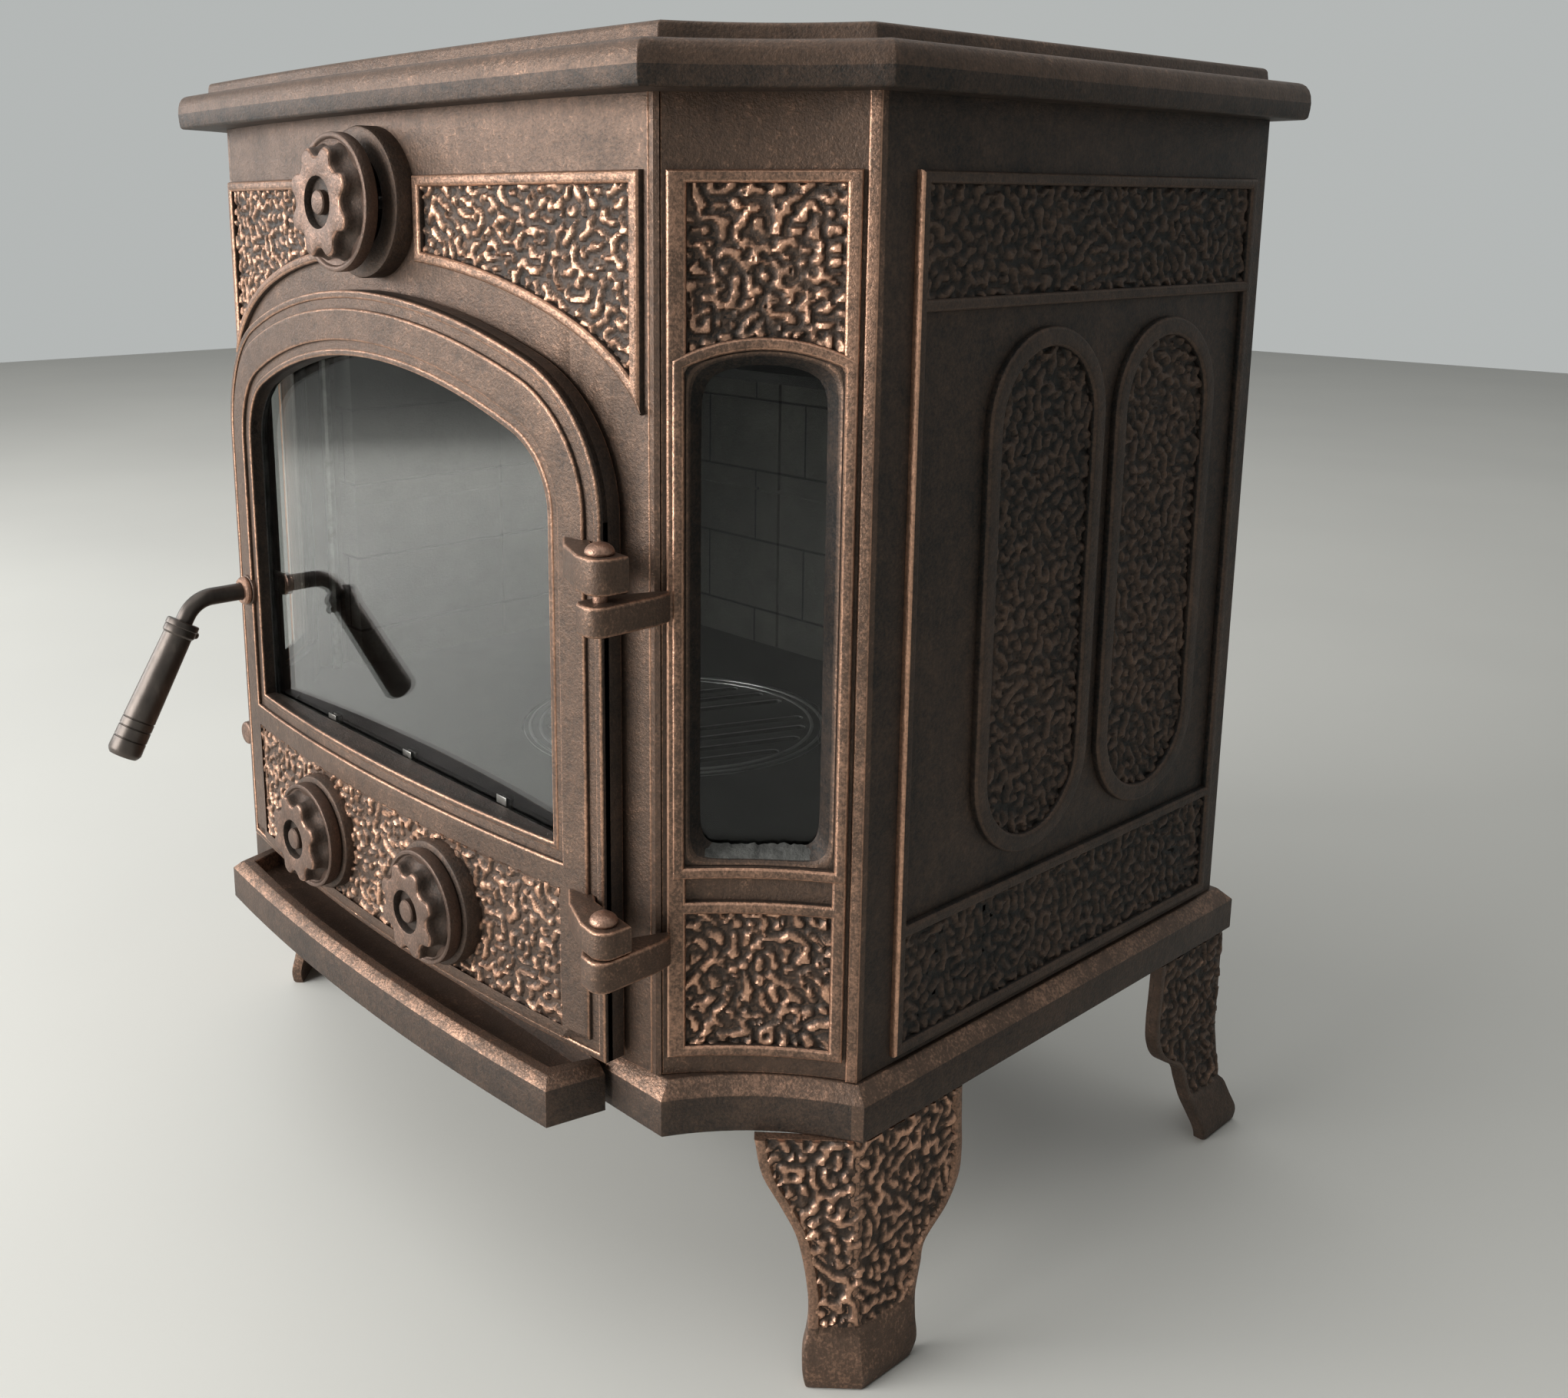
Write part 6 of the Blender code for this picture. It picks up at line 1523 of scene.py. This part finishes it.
def make_handle():
    """The bent rod, its collar on the door, the grooved grip and its set screw."""
    bend_start = -0.0512
    bend_radius = 0.022
    bend = math.radians(60.0)
    points = [(HANDLE_X, -0.004, HANDLE_Z), (HANDLE_X, bend_start, HANDLE_Z)]
    for index in range(1, 19):
        angle = bend * index / 18
        points.append((HANDLE_X, bend_start - bend_radius * math.sin(angle),
                       HANDLE_Z - bend_radius * (1 - math.cos(angle))))
    way = Vector((0, -math.cos(bend), -math.sin(bend)))
    end = Vector(points[-1])
    points.append(tuple(end + way * 0.031))
    piece("handle_bent_rod", [with_copper_level(tube(points, 0.006), 0.45)], BRONZE, "handle", "handle_metal",
          "handle_rod")
    length = 0.098
    profile = [(0.0063, 0), (0.0106, 0), (0.0112, 0.0005), (0.0114, 0.0013), (0.0114, 0.0040), (0.0109, 0.0046),
               (0.0111, 0.0052), (0.0111, 0.0088), (0.0105, 0.0096), (0.0099, 0.0102)]
    for place in (length - 0.026, length - 0.020, length - 0.012):
        radius = 0.0099 + 0.0016 * place / length
        profile += [(radius, place - 0.0006), (radius - 0.0006, place - 0.0001),
                    (radius - 0.0006, place + 0.0001), (radius, place + 0.0006)]
    profile += [(0.0115, length - 0.0036), (0.0109, length - 0.0022), (0.0101, length - 0.0009),
                (0.0093, length), (0, length), (0, 0.028), (0.0063, 0.028)]
    start = end + way * 0.004
    turn = Vector((0, 0, 1)).rotation_difference(way).to_matrix().to_4x4()
    grip = moved(turned(profile), Matrix.Translation(start) @ turn)
    piece("handle_turned_grip", [with_copper_level(grip, 0.5)], BRONZE, "handle", "handle_metal", "handle_grip", angle=30)
    side = Vector((0, math.sin(bend), -math.cos(bend)))
    middle = start + way * 0.006
    profile = [(0, 0.0077), (0.0014, 0.0077), (0.0021, 0.0072), (0.0025, 0.0063), (0.0025, 0), (0, 0)]
    turn = Vector((0, 0, 1)).rotation_difference(side).to_matrix().to_4x4()
    screw = moved(turned(profile, 24), Matrix.Translation(middle + side * 0.0063) @ turn)
    piece("handle_set_screw", [with_copper_level(screw, 0.6)], BRONZE, "handle", "steel", "grip_screw")
    seat = -DOOR_PROUD - front_bow(HANDLE_SEAT_X) - 2 * GAP
    profile = [(0.0063, 0), (0.0092, 0), (0.0098, 0.0006), (0.0098, 0.0022), (0.0094, 0.0030),
               (0.0084, 0.0040), (0.0063, 0.0042)]
    turn = Matrix.Translation((HANDLE_X, seat, HANDLE_Z)) @ Matrix.Rotation(math.pi / 2, 4, "X")
    piece("handle_ring", [with_copper_level(moved(turned(profile, 48), turn), 0.8)], DIALS, "handle", "handle_metal",
          "handle_collar")


make_handle()


# Air wheels

def scallops(radius, deep, count=8, steps=16):
    """The outline of a knob with round notches between broad lobes."""
    points = []
    for index in range(count * steps):
        angle = 2 * math.pi * index / (count * steps)
        wave = 0.5 - 0.5 * math.cos(count * angle)
        wave = wave ** 2 * (3 - 2 * wave)
        reach = radius - deep * (1 - wave)
        points.append((reach * math.cos(angle), reach * math.sin(angle)))
    return points


def knob_petals(share):
    """The scalloped knob: its face, flaring down to the disc, with rounded edges."""
    rings = []
    top = WHEEL_DEPTH
    for grow, depth, height in ((0.0024, 0.4, 0.0062), (0.0012, 0.7, 0.0086), (0.0004, 0.95, 0.0104),
                                (0.0001, 1.0, 0.0122), (0.0000, 1.0, top - 0.0026),
                                (-0.0005, 1.0, top - 0.0012), (-0.0014, 1.0, top - 0.0003),
                                (-0.0026, 1.0, top)):
        rings.append([(x, y, height) for x, y in scallops((0.0322 + grow) * share, 0.0064 * share * depth)])
    count = len(rings[0])
    for radius, height in ((0.0157, top), (0.0148, top - 0.0003), (0.0145, top - 0.0010), (0.0142, 0.0128)):
        rings.append([(x, y, height) for x, y in circle(radius * share, count)])
    mesh = lofted(rings)
    normals = face_normals(mesh)
    centres = face_centres(mesh)
    reach = np.hypot(centres[:, 0], centres[:, 1])
    worn = np.clip(4 * normals[:, 2] ** 2 * (1 - normals[:, 2] ** 2), 0, 1)
    level = np.where(normals[:, 2] > 0.9, 0.50, 0.24 + 0.55 * worn * (centres[:, 2] > 0.012))
    level = np.where(reach < 0.0147 * share, 0.08, level)
    return with_copper_level(mesh, level)


def make_air_wheels():
    """The upper wheel on the front and two on the door: a dished disc, a knob and a spindle."""
    door_surface = -DOOR_PROUD - front_bow(DOOR_WHEEL_X) - 0.006
    places = [("upper_air", 0, TOP_WHEEL_Z, -FRONT_BOW - 0.012 - 0.0085, 1),
              ("left_air", -DOOR_WHEEL_X, DOOR_WHEEL_Z, door_surface - 0.0005, DOOR_WHEEL_SHARE),
              ("right_air", DOOR_WHEEL_X, DOOR_WHEEL_Z, door_surface - 0.0005, DOOR_WHEEL_SHARE)]
    for name, x, z, back, share in places:
        turn = Matrix.Translation((x, back, z)) @ Matrix.Rotation(math.pi / 2, 4, "X")
        disc = [(0.0043, 0), (0.0043, 0.0066), (0.0340, 0.0066), (0.0352, 0.0070), (0.0359, 0.0080),
                (0.0365, 0.0084), (0.0380, 0.0084), (0.0388, 0.0079), (0.0390, 0.0070), (0.0390, 0.0012),
                (0.0386, 0.0004), (0.0375, 0)]
        disc = disc[:2] + [(radius * share, height) for radius, height in disc[2:]]
        disc = with_copper_level(turned(disc[::-1]), 0.42)
        petals = knob_petals(share)
        parts = [moved(part, turn) for part in (disc, petals)]
        wheel = name + "_wheel"
        piece(wheel + "_casting", parts, DIALS, NODE_BODY[wheel], "cast_copper", wheel, angle=34)
        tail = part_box(name + "_spindle")[1].y - SHIFT - back
        top = WHEEL_DEPTH
        profile = [(0, top), (0.0052, top), (0.0064, top - 0.0004), (0.0070, top - 0.0012), (0.0070, 0.0128),
                   (0.004, 0.0128), (0.004, 0.0010 - tail), (0.0032, -tail), (0, -tail)]
        spindle = name + "_spindle"
        piece(spindle + "_turned", [with_copper_level(moved(turned(profile, 40), turn), 0.42)], DIALS, NODE_BODY[spindle],
              "steel", spindle, angle=24)


make_air_wheels()


# Riddling knob, glass and flue

def make_riddling_knob():
    """The turned knob at the left of the front."""
    profile = [(0, 0.0125), (0.0066, 0.0125), (0.0078, 0.0121), (0.0084, 0.0112), (0.0084, 0.0014),
               (0.0079, 0.0004), (0.0070, 0.0), (0.0033, 0.0), (0.0033, 0.0085), (0, 0.0085)]
    turn = Matrix.Translation((-0.2178, -0.0055, 0.2570)) @ Matrix.Rotation(math.pi / 2, 4, "X")
    piece("riddling_knob_turned", [with_copper_level(moved(turned(profile, 48), turn), 0.55)], DIALS,
          NODE_BODY["riddling_knob"], "cast_copper", "riddling_knob")


def make_corner_glasses():
    """The bent glasses of the two corner windows, shaded flat so that what lies behind stays straight."""
    start = WALL + GAP + 0.0014 + GAP
    for side, sign in SIDES:
        glass = hollowed(outline_solid(window_outline(0.005), [], start, start + 0.004, 0.0005))
        piece("corner_glass_" + side, [handed(glass, sign)], CORNER_GLASS, "stove", "fire_glass",
              "window_glass_" + side, angle=0)


def make_flue_collar():
    """The flanged ring on the back that takes the flue pipe."""
    inner = 0.060
    profile = [(inner, 0.054), (0.0640, 0.054), (0.0650, 0.0530), (0.0650, 0.0080), (0.0660, 0.0066),
               (0.0675, 0.006), (0.0790, 0.006), (0.0800, 0.0050), (0.0800, 0), (inner, 0)]
    turn = Matrix.Translation((0, BODY_DEPTH + GAP, FLUE_Z)) @ Matrix.Rotation(-math.pi / 2, 4, "X")
    piece("flue_collar_casting", [with_copper_level(moved(turned(profile), turn), 0.3)], BODY, "stove", "cast_body",
          "flue_collar")


make_riddling_knob()
make_corner_glasses()
make_flue_collar()


# Window cement, glass clips and grate

def make_window_cement():
    """The trowelled cement that slopes from each corner window's sill up to its glass."""
    chance = np.random.default_rng(5)
    edges = window_outline(0)[:2]
    left = edges[0][0] + 0.0006
    right = edges[1][0] - 0.0006
    sill = edges[0][1]
    for side, sign in SIDES:
        rings = []
        for x in np.linspace(left, right, 44):
            end = min(x - left, right - x)
            rise = 0.0082 + 0.0060 * math.exp(-end / 0.005) + chance.normal(0, 0.0005)
            lip = 0.0024 + abs(chance.normal(0, 0.0004)) + 0.0040 * math.exp(-end / 0.004)
            rings.append([(x, 0.0004, sill - 0.0004), (x, WALL - 0.0003, sill - 0.0004),
                          (x, WALL - 0.0003, sill + rise), (x, 0.0036, sill + (rise + lip) * 0.5 + 0.0006),
                          (x, 0.0004, sill + lip)])
        strip = hollowed(lofted(rings), 0)
        piece("window_cement_" + side, [handed(strip, sign)], CEMENT, "stove", "fire_brick", angle=60)


def make_glass_clips():
    """Three folded ends of the glass holder that show at the foot of the door glass."""
    parts = []
    for x, tall in ((-0.090, 0.0034), (0.005, 0.0040), (0.108, 0.0050)):
        foot = outline_solid(rectangle(x - 0.0048, x + 0.0048, 0.3002, 0.3002 + tall), [],
                             GLASS_PLANE - 0.0012, GLASS_PLANE - 0.0004, 0.0003)
        parts.append(with_copper_level(foot, 0.5))
    piece("glass_clips", parts, STEEL, NODE_BODY["glass_retainer"], "steel")


def make_grate():
    """The round riddling grate, with painted highlights on its ring and bars, with its stem and lever."""
    low = -GRATE_THICKNESS
    reach = GRATE_RADIUS - 0.018
    slots = []
    for index in (0, 1, 2, 3, 5, 6, 7, 8):
        shift = (index - 4) * 0.020
        half = math.sqrt(reach ** 2 - shift ** 2)
        slots.append(arc((half - 0.004, shift), 0.004, -math.pi / 2, math.pi / 2, 6)
                     + arc((0.004 - half, shift), 0.004, math.pi / 2, 3 * math.pi / 2, 6))
    disc = plan_solid(circle(GRATE_RADIUS - 0.0003, 96), slots, low, 0.0, 0.0011, 3)
    steep = np.abs(face_normals(disc)[:, 2])
    # Painted highlights: the bevelled edges and the ring beads get light colour where they would glint.
    parts = [with_copper_level(disc, np.where(steep > 0.98, 0.30, np.where(steep < 0.2, 0.05, 0.85)))]
    for radius in (GRATE_RADIUS - 0.0050, GRATE_RADIUS - 0.0125):
        profile = [(radius - 0.0014, -0.0005), (radius - 0.0011, 0.0006), (radius - 0.0004, 0.0010),
                   (radius + 0.0004, 0.0010), (radius + 0.0011, 0.0006), (radius + 0.0014, -0.0005)]
        parts.append(with_copper_level(turned(profile[::-1], 96), 0.95))
    for part in parts:
        moved(part, Matrix.Rotation(GRATE_TURN, 4, "Z"))
    stem = [(0, low - LEVER_DROP), (0.008, low - LEVER_DROP), (0.008, low - 0.0001), (0, low - 0.0001)]
    parts.append(with_copper_level(turned(stem, 32), 0.2))
    rod_slot = rectangle(-0.2238, -0.2118, -0.0036, 0.0036)
    lever = plan_solid(rectangle(-0.2298, 0.012, -LEVER_WIDTH / 2, LEVER_WIDTH / 2), [rod_slot],
                       low - LEVER_DROP - 0.003, low - LEVER_DROP + 0.001, 0.0005)
    parts.append(with_copper_level(lever, 0.2))
    parts = [moved(part, Matrix.Translation((0, GRATE_Y, FLOOR_TOP))) for part in parts]
    piece("grate_casting", parts, GRATE_IRON, NODE_BODY["riddling_grate"], "inner_iron", "riddling_grate")


make_window_cement()
make_glass_clips()
make_grate()


# Seals

def rope_tree():
    """A tree that winds strands round a closed path."""
    tree, given = new_tree("wound_rope", (
        ("Strands", "NodeSocketInt", 5), ("Turns", "NodeSocketInt", 64), ("Step", "NodeSocketFloat", 0.0032),
        ("Lay", "NodeSocketFloat", 0.0024), ("Strand radius", "NodeSocketFloat", 0.0017)))

    def maths(operation, first, second=0.0):
        return maths_in(tree, operation, first, second)

    def vector(operation, sockets):
        return vector_in(tree, operation, sockets)

    path = node_in(tree, "GeometryNodeResampleCurve", {"mode": "LENGTH"},
                   {"Curve": given["Geometry"], "Length": given["Step"]}).outputs[0]
    copies = node_in(tree, "GeometryNodeDuplicateElements", {"domain": "SPLINE"},
                     {"Geometry": path, "Amount": given["Strands"]})
    along = tree.nodes.new("GeometryNodeSplineParameter").outputs["Factor"]
    part = maths("DIVIDE", copies.outputs["Duplicate Index"], given["Strands"])
    angle = maths("MULTIPLY", maths("ADD", part, maths("MULTIPLY", along, given["Turns"])), 2 * math.pi)
    tangent = tree.nodes.new("GeometryNodeInputTangent").outputs[0]
    across = vector("NORMALIZE", {0: vector("CROSS_PRODUCT", {0: tangent, 1: (0.0, 1.0, 0.0)})})
    outward = vector("CROSS_PRODUCT", {0: across, 1: tangent})
    first = vector("SCALE", {0: across, "Scale": maths("COSINE", angle)})
    second = vector("SCALE", {0: outward, "Scale": maths("SINE", angle)})
    offset = vector("SCALE", {0: vector("ADD", {0: first, 1: second}), "Scale": given["Lay"]})
    laid = node_in(tree, "GeometryNodeSetPosition", {}, {"Geometry": copies.outputs[0], "Offset": offset})
    ring = node_in(tree, "GeometryNodeCurvePrimitiveCircle", {},
                   {"Resolution": 8, "Radius": given["Strand radius"]})
    strands = node_in(tree, "GeometryNodeCurveToMesh", {},
                      {"Curve": laid.outputs[0], "Profile Curve": ring.outputs[0]})
    end_tree(tree, strands.outputs[0], given["Finish"])
    return tree


def make_door_rope():
    """The wound glass-fibre rope round the back of the door."""
    curve = bpy.data.curves.new("rope_path", "CURVE")
    curve.dimensions = "3D"
    depth = -DOOR_PROUD + DOOR_SKIN + 0.0042 + GAP
    add_run(curve, [(x, depth - front_bow(x), z) for x, z in dense(door_outline(0.0097), 0.004)], True)
    rope = through(linked("rope_path", curve), rope_tree(), {"Finish": FIBRE})
    rope.materials.clear()
    piece("door_rope_wound", [rope], FIBRE, NODE_BODY["door_rope"], "glass_fibre", "door_rope", angle=60)


def make_tapes():
    """The woven tapes that bed the glasses."""
    front = GLASS_PLANE - GAP - 0.0014
    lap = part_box("door_glass_tape")[1].x - GLASS_HALF
    tape = outline_solid(glass_outline(lap), [glass_outline(0.001)], front, front + 0.0014, 0.0005, 3)
    piece("door_tape_woven", [tape], FIBRE, NODE_BODY["door_glass_tape"], "glass_fibre", "door_glass_tape")
    behind = WALL + GAP
    for side, sign in SIDES:
        tape = hollowed(outline_solid(window_outline(0.006), [window_outline(0.0015)], behind, behind + 0.0014,
                                      0.0005, 3))
        piece("window_tape_woven_" + side, [handed(tape, sign)], FIBRE, "stove", "glass_fibre",
              "window_tape_" + side)


make_door_rope()
make_tapes()


# The CAD nodes that stay: a finish for each

def dress(finish, *names):
    """Give one finish to nodes that are shown as they are."""
    for name in names:
        mesh = frame["nodes"][name].data
        mesh.materials.clear()
        mesh.materials.append(finish)


dress(BODY, "back_panel")
dress(INNER, "floor_plate", "baffle_plate", "ash_guide_left", "ash_guide_right", "ash_pan",
      "air_wash_duct", "window_liner_left", "window_liner_right")
dress(BRICK, "firebrick_back", "firebrick_left", "firebrick_right")
dress(STEEL, "tie_rod_front_left", "tie_rod_front_right", "tie_rod_rear_left", "tie_rod_rear_right",
      "riddling_rod", "door_catch", "glass_retainer", "glass_screw_1", "glass_screw_2", "glass_screw_3",
      "glass_screw_4", "flue_collar_bolt_1", "flue_collar_bolt_2")
dress(GLASS, "door_glass")


# Floor, lights and background

def pale_floor():
    """Pale grey-cream floor with faint wide clouds."""
    finish = Finish("pale_floor")
    wide = finish.noise(1.3, 3.0, 0.5)
    colour = finish.ramp(wide, [(0.3, rgb(0.62, 0.615, 0.575)), (0.7, rgb(0.66, 0.655, 0.61))])
    return finish.set(Base_Color=colour, Roughness=0.55)


def make_stage():
    """A plain pale floor and three soft lamps in a pale room."""
    corners = np.array([(-6, -6, 0), (6, -6, 0), (6, 6, 0), (-6, 6, 0)], float)
    floor = mesh_from(corners, np.array([(0, 1, 2, 3)]))
    floor.materials.append(pale_floor())
    linked("floor", floor)
    for name, place, aim, size, power in (
            ("soft_key", (-1.0, -3.2, 1.25), (0, -0.1, 0.34), (2.6, 1.8), 175.0),
            ("soft_side", (-2.8, -1.7, 1.05), (-0.1, -0.15, 0.28), (1.5, 0.9), 34.0),
            ("soft_top", (-1.0, -0.5, 5.0), (0, 0, 0), (8.0, 8.0), 215.0)):
        data = bpy.data.lights.new(name, "AREA")
        data.shape = "RECTANGLE"
        data.size, data.size_y = size
        data.energy = power
        lamp = linked(name, data)
        lamp.location = place
        lamp.rotation_euler = (Vector(aim) - Vector(place)).to_track_quat("-Z", "Y").to_euler()
    world = bpy.data.worlds.new("pale_room")
    bpy.context.scene.world = world
    world.use_nodes = True
    tree = world.node_tree
    back = tree.nodes["Background"]
    back.inputs["Color"].default_value = rgb(0.74, 0.77, 0.76)
    rays = tree.nodes.new("ShaderNodeLightPath")
    seen = rays.outputs["Is Camera Ray"]
    for name in ("Is Glossy Ray", "Is Transmission Ray"):
        both = tree.nodes.new("ShaderNodeMath")
        both.operation = "MAXIMUM"
        tree.links.new(seen, both.inputs[0])
        tree.links.new(rays.outputs[name], both.inputs[1])
        seen = both.outputs[0]
    strength = tree.nodes.new("ShaderNodeMapRange")
    strength.inputs["To Min"].default_value = 0.10
    strength.inputs["To Max"].default_value = 0.62
    tree.links.new(seen, strength.inputs["Value"])
    tree.links.new(strength.outputs[0], back.inputs["Strength"])


make_stage()
bpy.context.scene.view_settings.view_transform = "Standard"
